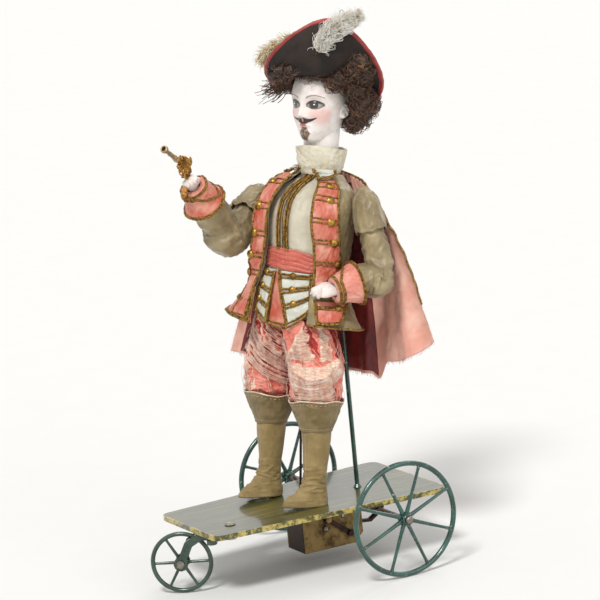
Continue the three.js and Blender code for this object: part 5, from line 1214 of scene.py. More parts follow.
def on_trunk(degrees, z, offset=0.0, flare=0.0):
    """Points and normals on the trunk: angle 0 is its front and grows to the figure's left."""
    degrees, z = np.broadcast_arrays(np.asarray(degrees, float), np.asarray(z, float))
    angle = np.radians(degrees)
    step = 0.02
    across = trunk_base(angle + step, z) - trunk_base(angle - step, z)
    up = trunk_base(angle, z + step * 10) - trunk_base(angle, z - step * 10)
    out = unit(np.cross(across, up))
    below = np.clip((27 - z) / 29, 0, 1)
    swing = flare * 15 * below**1.4 * np.sin(angle) ** 2
    points = trunk_base(angle, z) + out * (np.asarray(offset) + swing)[..., None]
    return points, out


def trail(corners, offset, flare=1.0, count=None):
    """A line on the trunk's cloth through corners of (degrees, height), and its normals."""
    line = smooth_path(np.array([(a, z, 0) for a, z in corners], float), count or 14 * len(corners))
    return on_trunk(line[:, 0], line[:, 1], offset, flare)


def domed_button(point, normal, radius=2.5):
    """A hollow domed brass button with a rolled rim."""
    profile = [
        (radius * 0.5, -0.5),
        (radius * 0.9, -0.3),
        (radius, 0),
        (radius * 1.02, 0.28),
        (radius * 0.93, 0.5),
        (radius * 0.86, 0.5),
        (radius * 0.72, 0.86),
        (radius * 0.45, 1.18),
        (radius * 0.2, 1.3),
        (0.03, 1.32),
    ]
    return lathed(rounded(profile, 2), 24).moved(along(normal, point))


def braid_pair(corners, offset, flare=1.0, apart=1.3, radius=0.36):
    """Two metal-thread cords side by side along a line on the cloth."""
    points, out = trail(corners, offset, flare)
    sideways = unit(np.cross(unit(np.gradient(points, axis=0)), out))
    return joined([cord(points + sideways * apart / 2 * sign, out, radius) for sign in (1, -1)])


def add_shirt():
    """The shirt front over the stuffed trunk."""
    rows, sides = 110, 144
    z = np.linspace(0.2, trunk_height - 0.6, rows)
    degrees = np.arange(sides) * 360 / sides
    grid, out = on_trunk(degrees[None], z[:, None], -0.35, 0)
    front = bell(((degrees + 180) % 360) - 180, 5, 48)[None]
    drag = creases(grid * (1, 0.4, 0.16), 10, 31) - 0.45
    lift = (0.75 * drag + 0.18 * waves(grid, 4, 32)) * front * ease(88, 78, z)[:, None]
    grid = grid + out * lift[..., None]
    local = xyz(degrees[None] * 0.42, z[:, None], 0.0)
    piece("shirt_front", lofted(grid, local), UPPER, "shirt_satin", ["trunk"])
    lines = [
        [(6, 87), (2, 85), (-6, 80), (-7, 72), (-6, 60), (-6, 47), (-4, 40)],
        [(-4, 87), (-9, 85), (-18, 80), (-19, 72), (-18, 60), (-18, 47), (-17, 40)],
    ]
    made = [braid_pair(line, 0.35, 0, 1.7, 0.46) for line in lines]
    seam, seam_out = trail([(1, 86), (-11, 80), (-13, 68), (-12, 54), (-11, 40)], 0.05, 0)
    made.append(cord(seam, seam_out, 0.22, 1.4))
    piece("shirt_braids", joined(made), UPPER, "gilt_thread")


def add_sash():
    """The silk sash, gathered round the waist."""
    rows, columns = 70, 130
    u, v = shares_of(columns, rows)
    degrees = lerp(-58.0, 47.0, u)
    pinch = 1 - 0.12 * bell(u, 1, 0.25) - 0.05 * np.sin(9 * u)
    z = 35.2 + (v - 0.5) * 12.8 * pinch + 0.5 * np.sin(4 * u + 1)
    lean = v + 0.05 * np.sin(7 * u + 2) + 0.03 * np.sin(17 * u)
    folds = np.abs(np.sin(math.pi * 4.6 * lean)) ** 0.7
    folds = folds * (0.75 + 0.25 * np.sin(11 * u + 5 * v))
    roll = np.sqrt(np.clip(1 - (2 * v - 1) ** 2, 0, 1))
    grid, out = on_trunk(degrees, z, 0.35 + 0.6 * roll + 0.75 * folds, 0)
    grid = grid + out * (0.14 * waves(grid, 3, 41))[..., None]
    local = xyz(degrees * 0.42, z, folds)
    piece(
        "sash_silk", woven(grid, False, local, out), UPPER, "sash_silk", ["sash"],
        modifiers=thickened(0.4),
    )


def opening(edge, z):
    """The angle of the coat's front edge at a height: near the neck it closes in."""
    v = np.clip((83 - np.asarray(z, float)) / 85 * 1.6, 0, 1)
    return lerp(math.copysign(22, edge), edge, v)


def kept_off_wall(points, floor=34.0):
    """Keeps the coat's right side flat where the arm turns against it."""
    near = points[..., 2] > floor
    points[..., 0] = np.where(near, np.maximum(points[..., 0], wall_x), points[..., 0])
    return points


def add_jacket():
    """The satin jacket over sides and back."""
    rows, columns = 120, 260
    u, v = shares_of(columns, rows)
    z = lerp(87.4, -2.0, v)
    left = opening(34, z)
    right = edge_at(RIGHT_INNER, np.clip(z, 16, facing_top)) - 6
    degrees = lerp(left, 360 + right, u)
    angle = np.radians(degrees)
    pleats = 1.5 * np.sin(9 * angle + 0.6) * ease(24, 0, z)
    grid, out = on_trunk(degrees, z, 2.6 + pleats, 1)
    fold = 0.55 * creases(grid * (1, 1, 0.35), 13, 51) + 0.22 * waves(grid, 5, 52)
    grid = kept_off_wall(grid + out * fold[..., None])
    local = xyz(degrees * 0.46, z, fold)
    piece(
        "jacket_satin", woven(grid, False, local, out), UPPER, "jacket_satin", ["jacket"],
        modifiers=thickened(0.6),
    )
    hem = kept_off_wall(on_trunk(degrees[-1], z[-1] + 0.6, 3.4 + pleats[-1], 1)[0])
    piece("jacket_hem_cord", cord(hem, out[-1], 0.4, 2.2), UPPER, "gilt_thread")


facing_top = 82
facing_rows = 90
facing_columns = 60
LEFT_INNER = [(20, 82), (22, 72), (25, 60), (31, 47), (34, 34), (36, 18)]
LEFT_OUTER = [(58, 82.5), (60, 72), (66, 60), (72, 47), (80, 32), (84, 18)]
LEFT_BUTTONS = [(42.2, 78.2), (46.2, 71.2), (53.2, 60.8), (60.5, 49.2), (69.8, 36.8)]
RIGHT_INNER = [(-29, 82), (-26, 72), (-28, 60), (-28, 47), (-35, 34), (-42, 16), (-38, -3)]
RIGHT_OUTER = [(-60, 82), (-62, 72), (-72, 60), (-74, 47), (-72, 34), (-68, 16), (-58, -3)]
RIGHT_BUTTONS = [(-52, 76), (-58, 64), (-66, 50), (-70, 36), (-66, 24)]


def edge_at(corners, z):
    heights = [height for _, height in corners][::-1]
    return np.interp(z, heights, [degrees for degrees, _ in corners][::-1])


def facing_grid(inner, outer, low, offset, stand, lift, seed):
    rows, columns = facing_rows, facing_columns
    v, u = np.meshgrid(np.linspace(0, 1, rows), np.linspace(0, 1, columns), indexing="ij")
    z = lerp(facing_top, low, v)
    degrees = lerp(edge_at(inner, z), edge_at(outer, z), u)
    puff = 0.75 * np.sqrt(np.clip(1 - (2 * u - 1) ** 4, 0, 1))
    grid, out = on_trunk(degrees, z, offset + puff + stand * (1 - u) * ease(84, 40, z), 1)
    if lift:
        aside = np.array([-lift, 0.05 * lift, 0])
        open_lapel = grid[:, :1] + u[..., None] * aside + out * puff[..., None]
        grid = lerp(grid, open_lapel, (ease(85, 74, z) * ease(14, 34, z))[..., None])
        turned_out = normals_of(grid)
        out = turned_out * np.sign((turned_out * out).sum(-1, keepdims=True))
    fold = 0.45 * (creases(grid * (1, 1, 0.6), 9, seed) - 0.4) + 0.2 * waves(grid, 3.4, seed + 1)
    grid = grid + out * fold[..., None]
    local = xyz(u * 17, z, fold)
    return grid, out, local


def add_facings():
    """The two silk facings with braids and buttons."""
    tables = (
        ("left", LEFT_INNER, LEFT_OUTER, LEFT_BUTTONS, 3.7, 0.6, 19, 0, 61),
        ("right", RIGHT_INNER, RIGHT_OUTER, RIGHT_BUTTONS, 4.6, 1.2, -3, 9.6, 64),
    )
    for side, inner, outer, buttons, rise, stand, low, lift, seed in tables:
        grid, out, local = facing_grid(inner, outer, low, rise, stand, lift, seed)
        grid = kept_off_wall(grid)
        name = "facing_" + side
        piece(
            name + "_silk", woven(grid, False, local, out), UPPER, "facing_silk", [name],
            modifiers=thickened(0.8),
        )
        trim, domes = [], []
        for column in (1, 3, -2, -4):
            trim.append(cord(grid[:, column], out[:, column], 0.36))
        trim.append(cord(grid[-2], out[-2], 0.36))
        for degrees, z in buttons:
            row = round((facing_top - z) / (facing_top - low) * (facing_rows - 1))
            row = int(np.clip(row, 4, 85))
            inner_degrees, outer_degrees = edge_at(inner, z), edge_at(outer, z)
            share = (degrees - inner_degrees) / (outer_degrees - inner_degrees)
            column = int(np.clip(round(share * (facing_columns - 1)), 6, 53))
            for shift in (-2, 1):
                band = slice(4, 56)
                trim.append(cord(grid[row + shift, band], out[row + shift, band], 0.34))
            domes.append(domed_button(grid[row, column] + out[row, column] * 0.5, out[row, column]))
        piece(name + "_braids", joined(trim), UPPER, "gilt_thread")
        piece(name + "_buttons", joined(domes), UPPER, "button_brass")


def skirt_tab(name, corners, offset, flare, finish, seed, bars=(), swing=0):
    """A stiff padded tab on the trunk between four corners of (degrees, height)."""
    rows, columns = 50, 60
    (a, b), (c, d) = corners
    u, v = shares_of(columns, rows)
    a, b, c, d = (np.array(corner)[None, None] for corner in (a, b, c, d))
    right, down = u[..., None], v[..., None]
    place = (a * (1 - right) + b * right) * (1 - down) + (c * (1 - right) + d * right) * down
    bow = 0.9 * np.sin(math.pi * u) * v**2
    puff = 0.6 * np.clip(1 - (2 * u - 1) ** 4, 0, 1) ** 0.5
    grid, out = on_trunk(place[..., 0], place[..., 1] - bow, offset + puff + swing * v, flare)
    fold = 0.4 * (creases(grid * (1, 1, 0.5), 9, seed) - 0.4) + 0.15 * waves(grid, 3, seed + 1)
    grid = grid + out * (fold * v**0.5)[..., None]
    local = xyz(u * 18, grid[..., 2], fold)
    node = name.rpartition("_")[0]
    replaced = [node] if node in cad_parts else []
    piece(name, woven(grid, False, local, out), UPPER, finish, replaced, modifiers=thickened(0.8))
    trim, domes = [], []
    outline = np.concatenate([grid[:-1, 1], grid[-2, 1:-1], grid[-2:0:-1, -2]])
    outward = np.concatenate([out[:-1, 1], out[-2, 1:-1], out[-2:0:-1, -2]])
    inset = np.concatenate([grid[:-4, 4], grid[-5, 4:-4], grid[-5:0:-1, -5]])
    inward = np.concatenate([out[:-4, 4], out[-5, 4:-4], out[-5:0:-1, -5]])
    trim += [cord(outline, outward, 0.5), cord(inset, inward, 0.42)]
    for start, end, share, across in bars:
        row = int(share * (rows - 1))
        band = slice(int(start * columns), int(end * columns))
        for shift in (-1, 2):
            at = int(np.clip(row + shift, 1, rows - 2))
            trim.append(cord(grid[at, band], out[at, band], 0.46))
        column = int(across * (columns - 1))
        normal = out[row, column]
        domes.append(domed_button(grid[row, column] + normal * 0.5, normal, 2.1))
    piece(name + "_braids", joined(trim), UPPER, "gilt_thread")
    if domes:
        piece(name + "_buttons", joined(domes), UPPER, "button_brass")


flap_swing = 3.4
TABS = [
    (
        "waist_strip_silk",
        (((-24, 27), (-11, 27)), ((-22, -4), (10, -6))),
        *(0.3, 0, "facing_silk", 79),
    ),
    (
        "peplum_left_silk",
        (((40, 13.5), (84, 14.5)), ((45, 0), (68, 2))),
        *(4.6, 1, "facing_silk", 71),
        [(0.06, 0.94, 0.28, 0.72)],
    ),
    (
        "peplum_right_silk",
        (((-92, 15), (-42, 16)), ((-88, 0), (-32, -6))),
        *(4.6, 1, "facing_silk", 73),
        [(0.06, 0.94, 0.42, 0.55)],
    ),
    (
        "waistcoat_flap_left_satin",
        (((-14, 28), (33, 28.5)), ((9, -6), (38, 7))),
        *(0.8, 0, "flap_satin", 75),
        [(0.05, 0.9, 0.1, 0.42), (0.05, 0.9, 0.36, 0.36), (0.1, 0.9, 0.62, 0.36)],
        flap_swing,
    ),
    (
        "waistcoat_flap_right_satin",
        (((-46, 28), (-19, 28)), ((-42, 4), (-17, -5))),
        *(0.8, 0, "flap_satin", 77),
        [(0.1, 0.9, 0.1, 0.4), (0.1, 0.9, 0.4, 0.3), (0.1, 0.9, 0.68, 0.25)],
        flap_swing,
    ),
]


def add_skirts():
    """Jacket skirts, waistcoat flaps and the strip that hangs at the waist."""
    for row in TABS:
        skirt_tab(*row)


# Arms, cuffs, hands and pistol, in the trunk's frame

RIGHT_SHOULDER = np.array([-37.5, 0, 67])
RIGHT_ELBOW = np.array([-40.5, -21, 42])
RIGHT_WRIST = np.array([-49, -58, 71.5])
LEFT_SHOULDER = np.array([36.2, 1, 72])
LEFT_ELBOW = np.array([50.5, 3, 34.5])
LEFT_WRIST = np.array([33, -20.5, 22])


def out_of_trunk(points, room):
    """Pushes points out of the dressed trunk along its own rings."""
    z = np.clip(points[..., 2], 0, trunk_height)
    share = z / trunk_height
    width = trunk_half_width * read_off(TRUNK_HEIGHTS, TRUNK_WIDTHS, share) + room
    depth = trunk_half_depth * read_off(TRUNK_HEIGHTS, TRUNK_DEPTHS, share) + room
    back = trunk_half_depth * read_off(TRUNK_HEIGHTS, TRUNK_BACKS, share)
    x, y = points[..., 0], points[..., 1] - back
    full = np.abs(x / width) ** trunk_power + np.abs(y / depth) ** trunk_power
    full = full ** (1 / trunk_power)
    grow = np.where(full < 1, 1 / np.maximum(full, 0.3), 1)
    points[..., 0] = x * grow
    points[..., 1] = y * grow + back
    return points


def limb_grid(path, radii, rows, sides, up):
    """Rings along a smooth path with a smooth run of radii: points, and share along the path."""
    line = smooth_path(path, rows)
    radius = smooth_run(radii, rows)
    tangents = unit(np.gradient(line, axis=0))
    normal = np.asarray(up, float)
    normals = []
    for tangent in tangents:
        normal = unit(normal - tangent * np.dot(normal, tangent))
        normals.append(normal)
    normals = np.array(normals)
    sideways = np.cross(normals, tangents)
    angles = round_angles(sides)
    grid = (
        line[:, None]
        + sideways[:, None] * np.cos(angles)[None, :, None] * radius[:, None, None]
        + normals[:, None] * np.sin(angles)[None, :, None] * radius[:, None, None]
    )
    return grid, np.linspace(0, 1, rows), angles


def sleeve_grid(shoulder, elbow, wrist, radii, seed, keep):
    to_elbow, to_wrist = elbow - shoulder, wrist - elbow
    length = np.linalg.norm(to_wrist)
    end = elbow + to_wrist * (1 - 12 / length)
    path = [
        shoulder - to_elbow * 0.24,
        shoulder - to_elbow * 0.08,
        shoulder + to_elbow * 0.35,
        shoulder + to_elbow * 0.8,
        elbow + to_elbow * 0.1 + to_wrist * 0.08,
        elbow + to_wrist * 0.3,
        end - to_wrist * 0.04,
        end,
    ]
    grid, share, angles = limb_grid(path, radii, 130, 96, (0, 0, 1))
    out = normals_of(grid, True)
    bend = bell(share, 0.6, 0.2)[:, None]
    across = creases(grid * (0.7, 0.7, 0.7) + 20 * share[:, None, None], 11, seed)
    rings = creases(xyz(60 * share[:, None], 4 * np.cos(angles), 4 * np.sin(angles)), 13, seed + 1)
    fine = waves(grid, 4.5, seed + 2)
    lift = (1.5 * bend + 0.35) * (rings - 0.55) + 0.9 * (across - 0.5) + 0.16 * fine
    lift = lift * ease(0, 0.1, share)[:, None] * ease(1, 0.93, share)[:, None]
    grid = keep(grid + out * lift[..., None])
    local = xyz(angles * 11, 80 * share[:, None], lift)
    return grid, local


def shoulder_cap(shoulder, elbow, seed, keep, full, reach, flare, pleats, depth):
    """A pleated over-sleeve, open at its lower edge."""
    to_elbow = elbow - shoulder
    path = [shoulder + to_elbow * share for share in (-0.3, -0.1, 0.25, reach)]
    radii = [2.6, full * 0.82, full, full * flare]
    grid, share, angles = limb_grid(path, radii, 60, 180, (0, 0, 1))
    out = normals_of(grid, True)
    pleat = np.cos(pleats * angles + 2 * np.sin(2 * angles + seed))[None]
    pleat = pleat * ease(0.05, 0.9, share)[:, None]
    fold = creases(grid * (1, 1, 0.3), 8, seed)
    grid = grid + out * (depth * pleat + 0.7 * fold)[..., None]
    edge = (depth * np.cos(pleats * angles) + 0.5 * np.sin(3 * angles + seed))[None]
    edge = edge * (share[:, None] ** 3)
    grid = keep(grid + unit(to_elbow) * edge[..., None])
    local = xyz(angles * 11, 25 * share[:, None], fold)
    return grid, local


cuff_length = 15
cuff_wide = 12.3
cuff_narrow = 8.2
cuff_sides = 120


def cuff_grid(elbow, wrist, seed):
    """A flared cuff about the wrist: its points, normals, own coordinates and place."""
    direction = unit(wrist - elbow)
    start = wrist - direction * cuff_length
    share = np.linspace(0, 1, 60)
    angles = round_angles(cuff_sides)
    radius = lerp(cuff_wide, cuff_narrow, share)
    radius = radius + 0.9 * bell(share, 0.0, 0.16) - 0.5 * bell(share, 0.55, 0.3)
    wobble = 1 + 0.03 * np.sin(3 * angles + seed)[None]
    ring = circle(angles)
    grid = ring[None] * (radius[:, None] * wobble)[..., None]
    grid[..., 2] = cuff_length * share[:, None]
    out = normals_of(grid, True)
    fold = 0.5 * (creases(grid * (1, 1, 0.5), 8, seed) - 0.4) + 0.12 * waves(grid, 2.5, seed)
    grid = grid + out * fold[..., None]
    local = xyz(angles * 10, grid[..., 2], fold)
    return grid, out, local, along(direction, start)


def add_cuff(side, elbow, wrist, body, seed, peak, silk):
    """One silk cuff with round braids and two that rise to a point."""
    grid, out, local, place = cuff_grid(elbow, wrist, seed)
    close = grid[-1:] * (0.55, 0.55, 1) + (0, 0, 0.3)
    whole = np.concatenate([grid, close])
    marks = np.concatenate([local, local[-1:]])
    piece(
        "cuff_" + side + "_silk", woven(whole, True, marks), UPPER @ place, silk, ["cuff_" + side],
        body=body, modifiers=thickened(0.8),
    )
    trim = [cord(closed(grid[row], 2), closed(out[row], 2), 0.38) for row in (1, 4, -2, -5)]
    columns = np.arange(cuff_sides + 1)
    angles = columns * TAU / cuff_sides
    for shift in (0, 3):
        rows = 10 + shift + 36 * np.clip(np.abs(off_angle(angles, peak)) / 1.5, 0, 1)
        rows = rows.astype(int)
        at = (rows, columns % cuff_sides)
        trim.append(cord(grid[at], out[at], 0.36))
    piece("cuff_" + side + "_braids", joined(trim), UPPER @ place, "gilt_thread", body=body)


def hand_shape(curls, thumb, spread=1.0, long=1.0):
    """A small modelled hand along Z, palm towards +Y: palm, four curled fingers and a thumb."""
    angles = round_angles(24)
    stations = [(-5, 3.2, 2.9), (-2, 3.1, 2.6), (0, 3.4, 2.5)]
    stations += [(3, 4.4, 2.6), (6, 4.7, 2.3), (7.6, 4.4, 1.7)]
    rings = []
    for z, half, thick in stations:
        ring = xyz(half * np.cos(angles), thick * np.sin(angles), 0 * angles + z)
        rings.append(ring)
    made = [lofted(rings)]
    lengths = [5.9, 7.2, 6.8, 5.2]
    for i, (length, curl) in enumerate(zip(lengths, curls)):
        x = spread * (-3.3 + 2.2 * i)
        place = np.array([x, 0.1, 6.4])
        path, turn = [place - (0, 0, 2), place], 0.12
        for part in (0.45, 0.32, 0.26):
            turn += curl * 0.75
            way = np.array([0.03 * (i - 1.5), math.sin(turn), math.cos(turn)])
            place = place + long * length * part * way
            path.append(place)
        radii = smooth_run((1.3, 1.32, 1.12, 1.05, 0.72), 16)
        made.append(tube(smooth_path(path, 16), radii, 10))
    made.append(tube(smooth_path(thumb, 14), smooth_run((1.7, 1.5, 1.3, 0.8), 14), 10))
    return joined(made)


def hand_place(elbow, wrist, palm):
    direction = unit(wrist - elbow)
    across = unit(np.asarray(palm, float) - direction * np.dot(palm, direction))
    made = np.eye(4)
    made[:3, 0], made[:3, 1], made[:3, 2] = np.cross(across, direction), across, direction
    made[:3, 3] = wrist
    return made


MOULDED = [
    ("REMESH", {"mode": "VOXEL", "voxel_size": 0.3 * MM, "use_smooth_shade": True}),
    ("SMOOTH", {"factor": 0.5, "iterations": 5}),
]


def add_arms():
    """Shoulder caps, sleeves, cuffs and hands."""
    def off_wall(points):
        points[..., 0] = np.minimum(points[..., 0], -28.9)
        return points

    def off_coat(points):
        return out_of_trunk(points, 4.2)

    radii = [3.2, 7.6, 8.8, 10.8, 11.6, 11.2, 10.6, 7.0]
    grid, local = sleeve_grid(RIGHT_SHOULDER, RIGHT_ELBOW, RIGHT_WRIST, radii, 81, off_wall)
    satin = "jacket_satin"
    piece(
        "sleeve_right_satin", lofted(grid, local), UPPER, satin, ["sleeve_right"], body="arm_body"
    )
    grid, local = shoulder_cap(RIGHT_SHOULDER, RIGHT_ELBOW, 83, off_wall, 10.4, 0.42, 1.14, 7, 0.9)
    cap = thickened(0.5)
    piece(
        "shoulder_cap_right", woven(grid, True, local), UPPER, satin, body="arm_body",
        modifiers=cap,
    )
    radii = [3.2, 7.4, 7.8, 8.4, 9.4, 9.6, 9.8, 7.0]
    grid, local = sleeve_grid(LEFT_SHOULDER, LEFT_ELBOW, LEFT_WRIST, radii, 85, off_coat)
    piece("sleeve_left_satin", lofted(grid, local), UPPER, satin, ["sleeve_left"])
    grid, local = shoulder_cap(LEFT_SHOULDER, LEFT_ELBOW, 87, off_coat, 9.2, 0.36, 0.98, 9, 0.3)
    piece("shoulder_cap_left", woven(grid, True, local), UPPER, satin, modifiers=cap)
    add_cuff("right", RIGHT_ELBOW, RIGHT_WRIST, "arm_body", 91, 0.6, "facing_silk")
    add_cuff("left", LEFT_ELBOW, LEFT_WRIST, "root", 93, 2.2, "cuff_silk")
    thumb = [(-2.6, 0.8, 1), (-4.2, 2.2, 3.4), (-3.4, 3.9, 5.6), (-1.8, 4.8, 7.2)]
    right = hand_shape((1.25, 1.45, 1.5, 1.5), thumb)
    place = UPPER @ hand_place(RIGHT_ELBOW, RIGHT_WRIST, (0.9, -0.3, -0.3))
    piece(
        "hand_right_bisque", right, place, "bisque", ["hand_right"], body="arm_body",
        modifiers=MOULDED,
    )
    thumb = [(2.4, 0.6, 1), (4.6, 2.0, 3.6), (4.8, 3.8, 7.2), (3.2, 5.2, 10.4)]
    left = hand_shape((0.35, 0.45, 0.6, 0.8), thumb, -0.85, 1.3)
    reach = np.array((-0.8, -0.56, -0.16))
    place = UPPER @ hand_place(LEFT_WRIST - reach, LEFT_WRIST, (0.2, 0.9, -0.2))
    piece("hand_left_bisque", left, place, "bisque", ["hand_left"], modifiers=MOULDED)
    add_pistol()


LEAF_BUD = [(0.03, -0.5), (0.5, -0.25), (0.62, 0.1), (0.03, 0.6)]


def scroll(centre, start, turns, size, grow=0.6, tilt=1.0, steps=26):
    """A curled leaf of gilt metal in the lock's plane, as a path."""
    s = np.linspace(0, 1, steps)
    angle = start + turns * TAU * s
    radius = size * (1 - grow * s)
    centre = np.asarray(centre, float)
    return centre + xyz(0 * s, radius * np.cos(angle), tilt * radius * np.sin(angle))


def in_plane(*points, count):
    """A smooth path in the pistol's own plane."""
    return smooth_path([(0, y, z) for y, z in points], count)


BARREL_PROFILE = [
    (1.0, 0.2),
    (2.0, 0),
    (2.1, 1.2),
    (1.6, 2.0),
    (1.75, 3.2),
    (1.5, 4.2),
    (1.3, 8.5),
    (1.62, 9.0),
    (1.3, 9.5),
    (1.25, 12.6),
    (1.6, 13.6),
    (2.3, 14.9),
    (2.35, 16.4),
    (2.0, 17),
    (1.35, 17),
    (1.2, 16),
    (1.1, 12.5),
    (0.05, 12.4),
]
KNOB_PROFILE = [(0.05, -2.1), (1.2, -1.8), (2.0, -0.9), (2.2, 0), (1.8, 1.1), (1.2, 1.7)]

# Each curl of the stock's ornament: centre, first angle, turns and radius
SCROLLS = [
    ((0, -2.2, 8.0), -0.6, 0.95, 2.3),
    ((0, -6.4, 7.4), 2.6, -0.9, 1.9),
    ((0, -9.8, 6.9), 0.4, 0.85, 1.5),
    ((0, -4.6, 1.9), 3.4, 0.9, 1.9),
    ((0, -8.6, 2.4), 0.2, -0.9, 1.6),
    ((0, -0.6, -0.6), 0.9, 0.8, 2.2),
]


def add_pistol():
    """The pistol in the right hand: a turned barrel on an ornamented stock."""
    grip = RIGHT_WRIST + unit(RIGHT_WRIST - RIGHT_ELBOW) * 14 * 0.75
    turn = np.eye(4)
    euler = Matrix.Rotation(math.radians(-2), 3, "Z") @ Matrix.Rotation(math.radians(-20), 3, "X")
    turn[:3, :3] = euler
    place = UPPER @ shifted(*grip) @ turn
    muzzle = -13.3
    barrel = lathed(rounded(BARREL_PROFILE, 3), 36)
    forward = place @ shifted(0, muzzle, 4.6) @ along((0, -1, 0), (0, 0, 0))
    piece(
        "pistol_barrel_turned", barrel, forward, "barrel_metal", ["pistol_barrel"], body="arm_body"
    )
    stock = pistol_stock()
    piece("pistol_stock_gilt", stock, place, "pistol_gilt", ["pistol_stock"], body="arm_body")


def pistol_stock():
    """Body, butt with its knob, scrolls with leaves on both sides, hammer and guard."""
    made = []
    body = in_plane((3, 3.2), (0, 4.4), (-5, 4.9), (-9, 4.8), (-13.6, 4.6), count=30)
    thick = smooth_run((1.6, 2.0, 1.9, 1.5, 1.2), 30)
    made.append(tube(body, thick, 14, 1.15, (0, 0, 1)))
    butt = in_plane((-1, 3.6), (2.4, 1.0), (4.2, -3), (5.0, -7), (5.3, -9.4), count=26)
    girth = smooth_run((1.7, 1.55, 1.35, 1.5, 1.1), 26)
    made.append(tube(butt, girth, 14))
    made.append(lathed(rounded(KNOB_PROFILE, 3), 24).moved(shifted(0, 5.4, -10.2)))
    for numbers in SCROLLS:
        line = scroll(*numbers)
        for x in (-0.75, 0.75):
            radii = lerp(0.62, 0.36, np.linspace(0, 1, len(line)))
            made.append(tube(line + (x, 0, 0), radii, 7))
            leaf = line[::6] + (x * 1.5, 0, 0)
            for point in leaf:
                made.append(lathed(LEAF_BUD, 8).moved(shifted(*point)))
    hammer = in_plane((0.6, 6.2), (1.9, 8.2), (0.8, 10.4), (-1.2, 11.2), count=18)
    made.append(tube(hammer, lerp(1.05, 0.5, np.linspace(0, 1, 18)), 9, 0.7, (1, 0, 0)))
    guard = in_plane((-8.5, 3.6), (-8.2, 0.4), (-5.4, -1.6), (-2.2, -0.8), (-0.6, 1.8), count=22)
    made.append(tube(guard, 0.42, 7))
    return joined(made)


# Cape and collar


cape_top = 79
cape_length = 108
cape_top_half = 30
cape_hem_half = 66
cape_shoulder_back = 7.75


def cape_grid(rows, columns):
    """The cape's smooth form, and the shares across and down of its points."""
    across = np.linspace(0, 1, columns)[None]
    down = np.linspace(0, 1, rows)[:, None]
    side = 2 * across - 1
    middle = 1 - side**2
    yoke_y = cape_shoulder_back + 12.5 * np.abs(middle) ** 0.7
    yoke = [cape_top_half * side, yoke_y, cape_top + 12 * middle]
    hem_z = cape_top - cape_length + 27 * np.maximum(side, 0) ** 3
    hem = [cape_hem_half * side + 17, lerp(33, 22, side**2), hem_z]
    x, y, z = (lerp(a, b, down) for a, b in zip(yoke, hem))
    y = y + 4 * np.sin(math.pi * down) * middle + 3.2 * down * np.cos(TAU * 4 * across)
    x = x + 6 * np.sin(math.pi * down**0.7) * across**4 - 6 * (1 - across) ** 4 * down
    y = y - 3 * (1 - across) ** 4 * down
    near = ease(0.3, 1, side) * (1 - down) ** 2
    x, y, z = x + 3.5 * near - 2.5 * down * across**4, y - 5 * near, z + 4 * near
    z = z + 7.5 * ease(0.706, 0.728, across) * (1 - across) / 0.29 * down**2
    return xyz(x, y, z), across, down


def add_cape():
    """The torn cape with its deep red lining, darkened further as painted shade of the body, frayed
    edges and gilt cord.
    """
    grid, across, down = cape_grid(150, 200)
    out = normals_of(grid)
    out = out * np.sign(out[..., 1].sum())
    gather = np.cos(TAU * (17 * across + 0.6 * np.sin(9 * across))) * bell(down, 0, 0.3) * 0.9
    soft = 1.1 * np.cos(TAU * (7 * across + 0.35 * np.sin(3 * down + 5 * across)))
    soft = soft * ease(0.1, 0.8, down)
    rumple = 0.5 * (creases(grid * (1, 1, 0.5), 22, 101) - 0.4) + 0.22 * waves(grid, 7, 102)
    turned_edge = 2.6 * ease(0.735, 0.7, across) * ease(0.15, 0.5, down) * ease(0.0, 0.3, across)
    lift = gather + soft + rumple + turned_edge
    grid = grid + out * lift[..., None]
    grid[..., 2] -= 3.5 * bell(across, 0.705, 0.02) * down**3
    local = xyz(across * 150, down * 112, lift)
    piece(
        "cape_cloth", woven(grid, False, local), UPPER, "cape_cloth", ["cape"],
        modifiers=thickened(0.5, 0),
    )
    # The lining sheet inside the cape: deep red silk, its colour darkened further as painted shade
    # of the body falling on it.
    band, rows = slice(9, 141), slice(6, 148)
    inner = (grid - out * 0.6)[rows, band]
    shape = woven(inner, False, local[rows, band])
    lining = "lining_silk"
    piece("cape_lining_painted_shade", shape, UPPER, lining, modifiers=thickened(0.3, 0))
    made = []
    draw = np.random.default_rng(7)
    for start in grid[-1]:
        length = draw.uniform(0.6, 2.4)
        way = np.array([draw.normal(0, 0.25), draw.normal(0, 0.25), -1.0])
        mid = start + way * length * 0.5 + draw.normal(0, 0.15, 3)
        made.append(tube([start, mid, start + way * length], [0.14, 0.11, 0.05], 3))
    for column in (0, -1):
        made.append(tube(grid[:, column], 0.3, 5))
        for k in range(len(grid)):
            start = grid[k, column]
            way = unit(grid[k, column] - grid[k, 3 if column == 0 else -4]) + draw.normal(0, 0.2, 3)
            made.append(tube([start, start + way * draw.uniform(0.4, 1.5)], [0.12, 0.05], 3))
    piece("cape_frays", joined(made), UPPER, "cape_thread")
    even = np.ones(19) / 19
    neckline = [np.convolve(values, even, "valid") for values in grid[0, 108:].T]
    edge = np.concatenate([np.stack(neckline, axis=-1), grid[1:112, -1]])
    edge_out = np.concatenate([out[0, 117:-9], out[1:112, -1]])
    piece("cape_edge_cord", cord(edge, edge_out, 0.5), UPPER, "gilt_thread")


